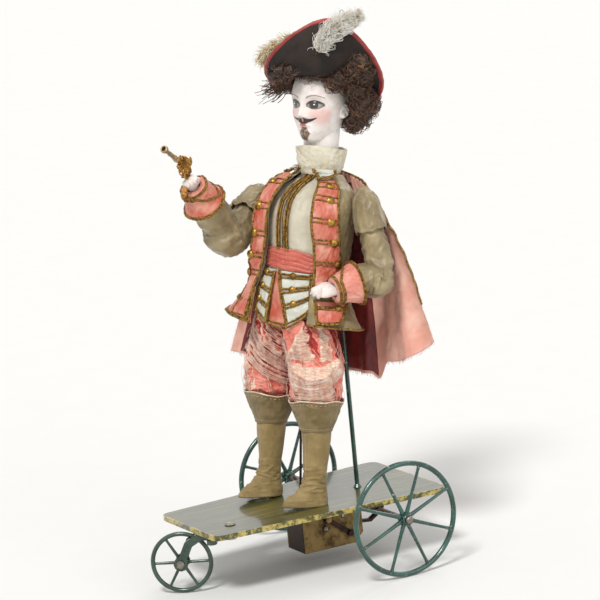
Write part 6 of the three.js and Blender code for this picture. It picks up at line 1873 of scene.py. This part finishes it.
def add_collar():
    """A tall stand collar that wraps past itself at the front, and the shirt's two lapels."""
    rows, sides = 50, 190
    u, v = np.meshgrid(np.linspace(0, 1, sides), np.linspace(0, 1, rows))
    degrees = lerp(-85.0, lerp(412.0, 318.0, v), u)

    def round_to(middle):
        return (degrees - middle + 180) % 360 - 180

    top = 15.2 + 2.8 * bell(round_to(15), 0, 65) - 1.2 * bell(round_to(125), 0, 35)
    wide = 13.2 + 2.4 * bell(round_to(122), 0, 34) + 0.5 * bell(round_to(-50), 0, 40)
    radius = lerp(11.2, wide, v**0.9)
    radius = radius + 1.0 * u + 0.5 * np.sin(math.pi * v)
    z = 0.4 + (top - 0.4) * v
    angles = np.radians(degrees)
    grid = xyz(radius * np.sin(angles), -radius * np.cos(angles), z)
    out = normals_of(grid)
    fold = 0.55 * (creases(grid * (1, 1, 0.5), 10, 111) - 0.4) + 0.14 * waves(grid, 3, 112)
    grid = grid + out * fold[..., None]
    local = xyz(degrees * 0.24, v * 17, fold)
    shape = woven(grid, False, local)
    thin = thickened(0.5, 0)
    linen = "collar_linen"
    piece("collar_linen", shape, HEAD, linen, ["collar"], modifiers=thin)
    lapels = [
        ("lapel_left_satin", (((10, 90.5), (60, 91.5)), ((22, 80.5), (62, 84.5))), 5.4, 113),
        ("lapel_right_satin", (((-96, 90), (-16, 90.5)), ((-82, 81.5), (-48, 82.5))), 5.4, 115),
    ]
    for name, corners, offset, seed in lapels:
        skirt_tab(name, corners, offset, 0, "flap_satin", seed)


# Head, hair, hat and feathers, in the head's frame

HEAD_LEVELS = [-1, -0.92, -0.72, -0.45, -0.1, 0.25, 0.6, 0.86, 0.97, 1.0]
HEAD_WIDTHS = [0.36, 0.5, 0.68, 0.84, 0.97, 1, 0.86, 0.53, 0.26, 0.06]
HEAD_FRONTS = [0.62, 0.78, 0.86, 0.92, 0.94, 0.98, 0.86, 0.5, 0.2, 0.06]
HEAD_BACKS = [0.1, 0.3, 0.6, 0.84, 0.98, 1, 0.9, 0.6, 0.3, 0.1]

head_half_width = 15.6
head_half_depth = 19
head_middle = 43
head_half_height = 23.5
head_power = 2.15
ear_x = 14.4
NOSE_LEVELS = [33.0, 34.0, 35.2, 36.4, 37.6, 39.6, 42.4, 45.4, 48]
NOSE_RISES = [0, 0.6, 3.1, 4.5, 4.0, 2.8, 1.7, 0.9, 0.1]

# Soft mounds and hollows: rise, then middle and width across, then middle and width upwards
FACE_MOUNDS = [
    (1.5, 2.3, 1.0, 35.4, 1.1),
    (-2.0, 7.0, 4.0, 42.6, 3.5),
    (1.2, 7.2, 3.2, 42.4, 2.3),
    (0.45, 7.2, 4.4, 44.9, 0.6),
    (0.6, 6.5, 4.8, 48.2, 1.9),
    (0.8, 1.6, 1.9, 32.1, 0.8),
    (1.1, 0, 2.6, 30.3, 0.9),
    (-0.75, 0, 3.8, 31.35, 0.36),
    (-0.8, 0, 3.5, 28.3, 1.0),
    (1.7, 0, 3.6, 23.8, 2.8),
    (0.9, 9.8, 4.2, 36.2, 4.5),
    (-0.7, 5.0, 1.6, 32.5, 3.0),
    (0.7, 0, 1.9, 25.2, 3.0),
]


def face_relief(x, z, front):
    """How far the face stands out from the plain head, over the face's own plane."""
    ax = np.abs(x)
    ridge = np.interp(z, NOSE_LEVELS, NOSE_RISES)
    width = np.interp(z, [33, 36, 39, 43, 47], [2.0, 1.9, 1.5, 1.5, 2.6])
    relief = ridge * np.exp(-((ax / width) ** 2))
    for rise, x_middle, x_width, z_middle, z_width in FACE_MOUNDS:
        relief += rise * bell(ax, x_middle, x_width) * bell(z, z_middle, z_width)
    whisker = lash_z + lash_rise * np.maximum(ax - 2, 0) ** 2
    hair = bell(z, whisker, 1.15 - 0.09 * ax) * ease(8.4, 5.5, ax) * ease(0.1, 0.9, ax)
    relief += 0.5 * hair
    return relief * front


# Height, radius and how far back the middle lies
NECK_RINGS = [
    (0.3, 10.2, 0),
    (3, 10.2, 0),
    (6, 10.3, 0),
    (15, 10.6, 0.2),
    (24, 10.8, 1.2),
    (34, 10.6, 2),
]
neck_sides = 64


def head_grid(rows, sides):
    """The head's smooth egg as rows of points."""
    share = np.sin(np.linspace(-1, 1, rows) * math.pi / 2 * 0.985)
    share = np.linspace(-1, 0.995, rows) * 0.35 + share * 0.65
    angles = round_angles(sides)
    angles = angles - 0.32 * np.sin(angles)
    width = head_half_width * read_off(HEAD_LEVELS, HEAD_WIDTHS, share)[:, None]
    fronts = head_half_depth * read_off(HEAD_LEVELS, HEAD_FRONTS, share)[:, None]
    backs = head_half_depth * read_off(HEAD_LEVELS, HEAD_BACKS, share)[:, None]
    s, c = np.sin(angles)[None], np.cos(angles)[None]
    power = 2 / head_power
    depth = np.where(c > 0, fronts, backs)
    x = width * np.sign(s) * np.abs(s) ** power
    y = -depth * np.sign(c) * np.abs(c) ** power
    z = head_middle + head_half_height * share[:, None]
    return xyz(x, y, z), angles


def ear_shape(sign):
    rows, columns = 30, 30
    u, v = np.meshgrid(np.linspace(-1, 1, columns), np.linspace(-1, 1, rows))
    x, z = u * np.sqrt(1 - v**2 / 2), v * np.sqrt(1 - u**2 / 2)
    from_middle = np.sqrt(x**2 + z**2)
    rim = 1.1 * bell(from_middle, 0.86, 0.16) * ease(-0.9, -0.2, z + 0.5 * x)
    inner = 0.7 * bell(from_middle, 0.45, 0.14) * ease(-0.2, 0.3, z)
    lobe = 0.9 * bell(x, -0.1, 0.35) * bell(z, -0.75, 0.3)
    lift = 1.2 + rim + inner + lobe - 1.4 * ease(0.86, 1, from_middle)
    grid = xyz(sign * (ear_x + lift + 0.8 * x), 2.5 + 2.7 * x + 0.5 * z, 38 + 4.6 * z)
    return woven(grid[:, ::sign])


def add_head():
    """The painted bisque head on its neck."""
    grid, angles = head_grid(230, 300)
    front = ease(0.1, 0.55, np.cos(angles))[None] * ease(20, 22, grid[..., 2])
    relief = face_relief(grid[..., 0], grid[..., 2], front)
    local = grid.copy()
    out = unit(xyz(0.35 * grid[..., 0] / 15, -1 + 0 * relief, 0 * relief))
    grid = grid + out * relief[..., None]
    soft = 0.06 * waves(grid, 9, 121)
    grid = grid + normals_of(grid, True) * soft[..., None]
    rings = []
    turn = round_angles(neck_sides)
    for z, radius, middle in NECK_RINGS:
        rings.append(xyz(radius * np.sin(turn), middle - radius * np.cos(turn), 0 * turn + z))
    rings = np.array(rings)
    levels = smooth_run(range(len(NECK_RINGS)), 40)
    levels_given = range(len(NECK_RINGS))
    fine = [
        [np.interp(levels, levels_given, rings[:, side, axis]) for axis in range(3)]
        for side in range(neck_sides)
    ]
    neck = lofted(np.array(fine).transpose(2, 0, 1))
    shape = joined([lofted(grid, local), neck, ear_shape(1), ear_shape(-1)])
    piece("head_bisque", shape, FACE, "face_paint", ["head"], body="head_body")
    add_eyes()


def add_eyes():
    """Glass eyes set into the head."""
    made = []
    for sign in (1, -1):
        u, v = np.meshgrid(np.linspace(-1, 1, 40), np.linspace(-1, 1, 24))
        x = eye_x + u * 4.5
        z = eye_z + v * 2.0 * np.sqrt(np.clip(1 - u**2, 0, 1)) ** 0.8 + 0.2 * u
        bulge = 0.6 * (1 - u**2) * (1 - v**2) ** 0.5
        y = -eye_depth(x, z) - 0.12 - bulge
        grid = xyz(sign * x, y, z)
        local = xyz(x - eye_x, z - eye_z, 0)
        made.append(woven(grid[:, ::sign], False, local[:, ::sign]))
    piece("eyes_glazed", joined(made), FACE, "eye_glaze", body="head_body")


def eye_depth(x, z):
    """How far forward the sculpted face stands at a place beside the nose."""
    share = (z - head_middle) / head_half_height
    width = head_half_width * read_off(HEAD_LEVELS, HEAD_WIDTHS, share)
    depth = head_half_depth * read_off(HEAD_LEVELS, HEAD_FRONTS, share)
    plain = depth * np.clip(1 - np.abs(x / width) ** head_power, 0, 1) ** (1 / head_power)
    return plain + face_relief(x, z, 1.0) * 0.98


WIG_CURLS = [
    (24.4, 12, 43, 1.1),
    (23.6, 6, 51.5, 0.9),
    (25, 13, 38, 0.72),
    (29, 14, 43, 0.55),
    (-23, -11, 53, 0.62),
    (14.6, 15, 33, 1.05),
    (0, 19, 37, 1.2),
    (-14.6, 13, 42, 1.1),
    (-18.6, 2, 53, 1),
    (-18.8, -6, 54, 0.75),
    (-4, 17, 51, 1.15),
    (17.6, -6, 56, 0.7),
]
WIG_FRINGE = [
    (-19.4, 0, 56),
    (-11.7, -14.8, 58.2),
    (0, -19.7, 59.2),
    (11.7, -15, 58.4),
    (19.4, 0, 56),
]

# Hair that fills the hat's turned-up side: place round the brim, share of its width, size
UNDER_BRIM = [
    (74, 0.18, 0.6),
    (86, 0.25, 0.6),
    (97, 0.36, 0.6),
    (86, 0.5, 0.6),
    (106, 0.24, 0.6),
    (96, 0.62, 0.6),
    (87, 0.74, 0.6),
    (110, 0.5, 0.6),
    (-24, 0.6, 0.42),
    (-8, 0.5, 0.42),
    (6, 0.38, 0.42),
    (-16, 0.32, 0.42),
    (-32, 0.42, 0.42),
]
curl_radius = 9
under_hat = 58.4
no_ceiling = 90


def under_brim(degrees, share):
    """The way down from the brim's underside at a place on it."""
    angle, step = math.radians(degrees), 0.01
    across = brim(angle + step, share) - brim(angle - step, share)
    along_it = brim(angle, share + step) - brim(angle, share - step)
    way = unit(np.cross(across, along_it))
    outward = np.array([math.sin(angle), -math.cos(angle), -0.6])
    return way if np.dot(way, outward) > 0 else -way


def tuft(centre, radius, seed, ceiling):
    """A lump of hair: a ball with a deep ragged surface."""
    rows, sides = 22, 34
    tilt = np.linspace(0.05, math.pi - 0.05, rows)
    angles = round_angles(sides)
    ball = np.stack(
        np.broadcast_arrays(
            np.sin(tilt)[:, None] * np.cos(angles)[None],
            np.sin(tilt)[:, None] * np.sin(angles)[None],
            np.cos(tilt)[:, None],
        ),
        axis=-1,
    )
    lift = 0.82 + 0.1 * waves(ball * radius, 5, seed) + 0.06 * waves(ball * radius, 2, seed + 1)
    grid = ball * (radius * lift)[..., None] + centre
    grid[..., 2] = np.minimum(grid[..., 2], ceiling)
    return lofted(grid[::-1])


def add_wig():
    """Lumps of hair, then single curled strands that stand out of them."""
    draw = np.random.default_rng(131)
    base = []
    for i, (x, y, z, size) in enumerate(WIG_CURLS):
        base.append(tuft(np.array([x, y, z], float), curl_radius * size, 132 + i, under_hat))
    fringe = smooth_path(WIG_FRINGE, 60)
    base.append(tube(fringe, 1.3 + 0.3 * np.sin(np.arange(60) * 0.9), 14))
    under = []
    for i, (degrees, share, size) in enumerate(UNDER_BRIM):
        place = brim(math.radians(degrees), share) + under_brim(degrees, share) * 2.2
        under.append((*place, size))
        base.append(tuft(place, curl_radius * size, 162 + i, no_ceiling))
    piece("wig_base", joined(base), HEAD, "hair_base", ["wig"], body="head_body")
    made = []
    for cx, cy, cz, size in WIG_CURLS + under:
        radius = curl_radius * size
        ceiling = under_hat + 0.2 if (cx, cy, cz, size) in WIG_CURLS else no_ceiling
        for _ in range(int(120 * size**2)):
            way = unit(draw.normal(size=3))
            start = np.array([cx, cy, cz]) + way * radius * 0.86
            side = unit(np.cross(way, draw.normal(size=3)))
            other = np.cross(way, side)
            s = np.linspace(0, 1, 16)
            size_now = draw.uniform(1.2, 3.2)
            angle = draw.uniform(0, TAU) + s * draw.uniform(2.5, 7.5)
            drift = draw.uniform(0.6, 2.2)
            line = (
                start
                + side * (np.cos(angle) * size_now)[:, None]
                + other * (np.sin(angle) * size_now)[:, None]
                + way * (drift * np.sin(s * 2.6))[:, None]
                + side * (s * draw.uniform(-3, 3))[:, None]
            )
            line[:, 2] = np.minimum(line[:, 2], ceiling)
            made.append(tube(line, draw.uniform(0.12, 0.24), 3))
    for _ in range(140):
        at = draw.uniform(0, 59)
        start = fringe[int(at)] + draw.normal(0, 1.1, 3)
        s = np.linspace(0, 1, 14)
        angle = s * draw.uniform(3, 8) + draw.uniform(0, TAU)
        size_now = draw.uniform(0.5, 1.3)
        line = start + xyz(np.cos(angle), np.sin(angle) - 0.6, np.sin(angle * 1.3) - s) * size_now
        line[:, 2] = np.minimum(line[:, 2], 60.5)
        made.append(tube(line, draw.uniform(0.09, 0.17), 3))
    for _ in range(64):
        start = np.array([-20.0, -8.0, 53.5]) + draw.normal(0, 1.8, 3)
        far = np.array([-0.68, -0.73, 0]) * draw.uniform(7, 17) + (0, 0, draw.uniform(-11, -1))
        s = np.linspace(0, 1, 20)
        wind = draw.uniform(0, TAU) + s * draw.uniform(4, 10)
        loops = xyz(np.cos(wind), np.sin(wind), np.sin(wind * 1.2)) * draw.uniform(0.5, 1.6)
        made.append(tube(start + far * s[:, None] ** 1.2 + loops, draw.uniform(0.16, 0.26), 3))
    piece("wig_curls", joined(made), HEAD, "hair_strand", body="head_body")


brim_turn = 37
brim_root = 17.5
brim_level = 59
brim_front = 39
brim_back = 22
brim_side = 15
BRIM_NOTCHES = [(-32, 24, 3.4), (42, 28, 1.8)]
BRIM_SAGS = [(2, 34, -7.5), (70, 26, 4), (140, 28, -6), (-65, 34, -4)]


def brim(angle, s):
    """A place on the hat's brim, from an angle round it and the share of its width."""
    away = angle - math.radians(brim_turn)
    up = np.maximum(np.cos(away), 0) ** 1.3
    down = np.maximum(np.cos(angle - math.radians(165)), 0)
    rise = np.radians(74 * up - 28 * down)
    width = brim_side + (brim_front - brim_side) * up + (brim_back - brim_side) * down - 0.8
    for degrees, half, less in BRIM_NOTCHES:
        off = off_angle(angle, math.radians(degrees))
        width = width - less * bell(off, 0, math.radians(half))
    curl = lerp(0.35, 1, s)
    out = brim_root + width * s * np.cos(rise * curl)
    z = brim_level + width * s * np.sin(rise * curl)
    sag = 0
    for degrees, half, drop in BRIM_SAGS:
        off = off_angle(angle, math.radians(degrees))
        sag = sag + drop * bell(off, 0, math.radians(half))
    return xyz(out * np.sin(angle), -out * np.cos(angle), z + sag * s**2)


CROWN_PROFILE = [
    (18.4, 57.6),
    (18.6, 60),
    (18.2, 66),
    (17.4, 70.5),
    (15.2, 73.2),
    (11, 74.4),
    (6, 74.0),
    (0.05, 73.4),
]
BAND_PROFILE = [(18.9, 59.2), (19.2, 60), (19.1, 63), (18.9, 63.9)]


def add_hat():
    """The felt hat: brim, crown, band and the gathered ribbon that binds the brim."""
    sides, rows = 240, 56
    angles = (round_angles(sides))[None]
    share = np.linspace(-0.03, 1, rows)[:, None]
    grid = brim(*np.broadcast_arrays(angles, share))
    out = normals_of(grid, True)
    ripple = 0.9 * np.sin(5 * angles + 1) * share**2 + 0.5 * creases(grid, 26, 141) * share
    grid = grid + out * (ripple + 0.12 * waves(grid, 5, 142))[..., None]
    shape = woven(grid, True)
    felt = "black_felt"
    piece("hat_brim", shape, HEAD, felt, ["hat"], body="head_body", modifiers=thickened(1.3, 0))
    shape = lathed(rounded(CROWN_PROFILE, 4), 96, False, True)
    lift = 0.3 * waves(shape.points, 9, 143)
    shape.points = shape.points + unit(shape.points - (0, 0, 60)) * lift[:, None]
    piece("hat_crown", shape, HEAD, felt, body="head_body", modifiers=thickened(1.2))
    band = lathed(rounded(BAND_PROFILE, 3), 96, False, False)
    piece("hat_band", band, HEAD, "hat_silk", body="head_body", modifiers=thickened(0.5))
    shape = brim_binding(*(closed(row, 1) for row in (grid[-1], grid[-6], out[-1])))
    piece("hat_binding", shape, HEAD, "hat_silk", body="head_body")


def brim_binding(edge, inner, edge_out):
    """A gathered ribbon folded over the brim's edge."""
    way = unit(edge - inner)
    rings = []
    turn = round_angles(20)
    gathers = 1 + 0.05 * np.sin(np.arange(len(edge)) * 1.9)
    for k in range(len(edge)):
        half, thick = 1.5 * gathers[k], 1.1
        ring = (
            edge[k]
            - way[k] * 0.9
            + way[k] * (half * np.sign(np.cos(turn)) * np.abs(np.cos(turn)) ** 0.7)[:, None]
            + edge_out[k] * (thick * np.sin(turn))[:, None]
        )
        rings.append(ring)
    rings = np.array(rings)
    count = np.arange(len(edge)) * 0.7
    local = xyz(count[:, None], turn[None] * 2, 0.0)
    return Shape(rings, [quads(len(rings), 20, True)], local)


def plume(spine, width, barbs, seed, curl):
    """Ostrich flue: many thin barbs that leave a bent quill and curl over at their tips."""
    draw = np.random.default_rng(seed)
    line = smooth_path(spine, 80)
    tangents = unit(np.gradient(line, axis=0))
    made = [tube(line, lerp(0.5, 0.15, np.linspace(0, 1, 80)), 6)]
    for _ in range(barbs):
        share = draw.uniform(0.02, 1)
        i = int(share * 79)
        spread = draw.uniform(0, TAU)
        side = unit(np.cross(tangents[i], unit(draw.normal(size=3))))
        full = 0.55 + 0.45 * math.sin(math.pi * min(share + 0.12, 1))
        reach = width * full * draw.uniform(0.6, 1.1)
        s = np.linspace(0, 1, 15)
        bend = s**2 * draw.uniform(*curl)
        up = unit(tangents[i] * draw.uniform(0.2, 1.0) + draw.normal(0, 0.25, 3))
        across = side * np.cos(bend)[:, None] + up * np.sin(bend)[:, None]
        steps = across * (reach / 15)
        path = line[i] + np.cumsum(steps, axis=0) + 0.25 * np.sin(s * 9 + spread)[:, None] * up
        made.append(tube(path, lerp(0.2, 0.08, s), 3))
    return joined(made)


plume_lift = 4.6
FRONT_QUILL = [(5, 0.6), (14, 0.74), (24, 0.9), (33, 1.02)]
BACK_QUILL = [(-22, 1.0), (-34, 1.1), (-46, 1.14), (-58, 1.1), (-66, 0.94)]


def add_feathers():
    """Two ostrich feathers along the brim's turned-up side."""
    def on_brim(degrees, share, lift):
        angle = math.radians(brim_turn + degrees)
        step = 0.01
        across = brim(angle + step, share) - brim(angle - step, share)
        outward = brim(angle, share + step) - brim(angle, share - step)
        return brim(angle, share) - unit(np.cross(across, outward)) * lift

    right, up = np.array([0.68, 0.73, 0]), np.array([0, 0, 1])
    raised, level = (np.linalg.norm(on_brim(20, 0.75, off)[:2]) for off in (4, 0))
    lift = plume_lift if raised > level else -plume_lift
    front = [on_brim(d, s, lift) for d, s in FRONT_QUILL]
    front += [front[-1] + right * 5 + up * 2.6, front[-1] + right * 10 + up * 5]
    shape = plume(front, 12, 1700, 151, (2.2, 5.4))
    piece("feather_front_flue", shape, HEAD, "ostrich_white", ["feather_front"], body="head_body")
    back = []
    for degrees, z in ((136, 72.5), (158, 73.5)):
        turn = -math.radians(degrees - 90)
        back.append((22.6 * math.sin(turn), -22.6 * math.cos(turn), z))
    behind = [on_brim(d, s, -1.3 * lift) for d, s in BACK_QUILL]
    back = behind + [np.array(p) for p in back]
    shape = plume(back, 8.0, 1200, 153, (1.2, 3.4))
    piece("feather_back_flue", shape, HEAD, "ostrich_cream", ["feather_back"], body="head_body")


# Floor, light and camera


def add_floor():
    """The paper ground the toy stands on, which isn't part of it."""
    reach = 9000.0
    corners = np.array([(-1, -1, 0), (1, -1, 0), (1, 1, 0), (-1, 1, 0)]) * reach
    mesh = bpy.data.meshes.new("floor")
    points = (corners + home * (1, 1, 0)) * MM - (0, 0, 0.0002)
    mesh.from_pydata(points.tolist(), [], [(0, 1, 2, 3)])
    floor = bpy.data.objects.new("floor", mesh)
    bpy.context.scene.collection.objects.link(floor)
    finish = Finish("floor_paper", Roughness=0.9, Specular_IOR_Level=0.1)
    grain = finish.noise(finish.place(), 30, 2)
    finish.set("Base Color", finish.blend(grain, "f2f1ee", "efeeeb"))
    mesh.materials.append(finish.material)


studio_strength = 0.42


def add_world():
    """Soft white light from all sides, and a white background."""
    world = bpy.data.worlds.new("studio")
    bpy.context.scene.world = world
    world.use_nodes = True
    tree = world.node_tree
    tree.nodes.clear()
    output = tree.nodes.new("ShaderNodeOutputWorld")
    backgrounds = []
    for strength in (studio_strength, 1):
        background = tree.nodes.new("ShaderNodeBackground")
        background.inputs["Color"].default_value = (1, 1, 1, 1)
        background.inputs["Strength"].default_value = strength
        backgrounds.append(background)
    soft, white = backgrounds
    path = tree.nodes.new("ShaderNodeLightPath")
    mix = tree.nodes.new("ShaderNodeMixShader")
    seen = path.outputs["Is Camera Ray"]
    for ray in ("Is Glossy Ray", "Is Transmission Ray"):
        either = tree.nodes.new("ShaderNodeMath")
        either.operation = "MAXIMUM"
        tree.links.new(seen, either.inputs[0])
        tree.links.new(path.outputs[ray], either.inputs[1])
        seen = either.outputs[0]
    tree.links.new(seen, mix.inputs[0])
    tree.links.new(soft.outputs[0], mix.inputs[1])
    tree.links.new(white.outputs[0], mix.inputs[2])
    tree.links.new(mix.outputs[0], output.inputs[0])


def add_lamp(name, azimuth, elevation, spread, strength):
    """A far soft lamp, seen from the toy at an angle round from its front."""
    lamp = bpy.data.lights.new(name, "SUN")
    lamp.angle = math.radians(spread)
    lamp.energy = strength
    made = bpy.data.objects.new(name, lamp)
    bpy.context.scene.collection.objects.link(made)
    around, up = math.radians(azimuth), math.radians(elevation)
    way = Vector((math.sin(around) * math.cos(up), -math.cos(around) * math.cos(up), math.sin(up)))
    made.rotation_euler = way.to_track_quat("Z", "Y").to_euler()


def add_lights():
    """Main lamp, fill and back light."""
    add_lamp("key", 42, 52, 14, 2.0)
    add_lamp("fill", 105, 25, 40, 0.5)
    add_lamp("back", 215, 40, 30, 0.7)


def add_camera():
    """The photograph's camera, as it was fitted to points read off it."""
    azimuth, elevation, roll = (math.radians(a) for a in (62.055, 11.356, -5.473))
    distance, focal_pixels, across, rise = 2000.0, 3267.794, -15.856, 156.361
    picture_pixels, sensor = 600, 36
    back = np.array(
        [
            math.sin(azimuth) * math.cos(elevation),
            -math.cos(azimuth) * math.cos(elevation),
            math.sin(elevation),
        ]
    )
    right = np.array([math.cos(azimuth), math.sin(azimuth), 0])
    up = np.cross(right, -back)
    centre = back * distance + right * across + up * rise
    turn = np.eye(4)
    turn[:3, 0] = right * math.cos(roll) + up * math.sin(roll)
    turn[:3, 1] = -right * math.sin(roll) + up * math.cos(roll)
    turn[:3, 2] = back
    turn[:3, 3] = (centre + home) * MM
    lens = bpy.data.cameras.new("camera")
    lens.sensor_width = sensor
    lens.lens = focal_pixels / picture_pixels * sensor
    lens.clip_end = 20
    camera = bpy.data.objects.new("camera", lens)
    bpy.context.scene.collection.objects.link(camera)
    camera.matrix_world = Matrix(turn.tolist())
    bpy.context.scene.camera = camera


# The nodes that stay, by finish: the width of their softened edges, then their names
CAD_FINISHES = {
    "board_paint": (0.5, "board"),
    "fork_green": (0.3, "front_fork"),
    "wheel_green": (0.15, "support_rod"),
    "bright_steel": (
        0.15,
        "front_axle second_arbor winding_arbor ratchet_wheel click support_rod_nut",
    ),
    "bolt_metal": (0.4, "fork_pivot_bolt"),
    "dark_steel": (
        0.25,
        "axle_strap_left axle_strap_right motor_front_plate stop_lever rear_stay push_rod"
        " shoulder_pin",
    ),
    "plate_brass": (0.3, "motor_plate_left motor_plate_right"),
    "brass": (0.3, "rear_pillar stop_lever_screw"),
    "gear_brass": (0.1, "axle_pinion second_wheel lift_cam great_wheel spring_barrel"),
}


def declare_cloth():
    """Does nothing: it leaves every piece as it is."""


add_camera()
make_finishes()
dress_nodes()
for dress in (
    *(add_wheels, add_axles, add_boots, add_breeches, add_shirt, add_sash, add_jacket, add_facings),
    *(add_skirts, add_arms, add_cape, add_collar, add_head, add_wig, add_hat, add_feathers),
    *(declare_cloth, add_floor, add_world, add_lights),
):
    dress()

bpy.context.scene.view_settings.view_transform = "Standard"
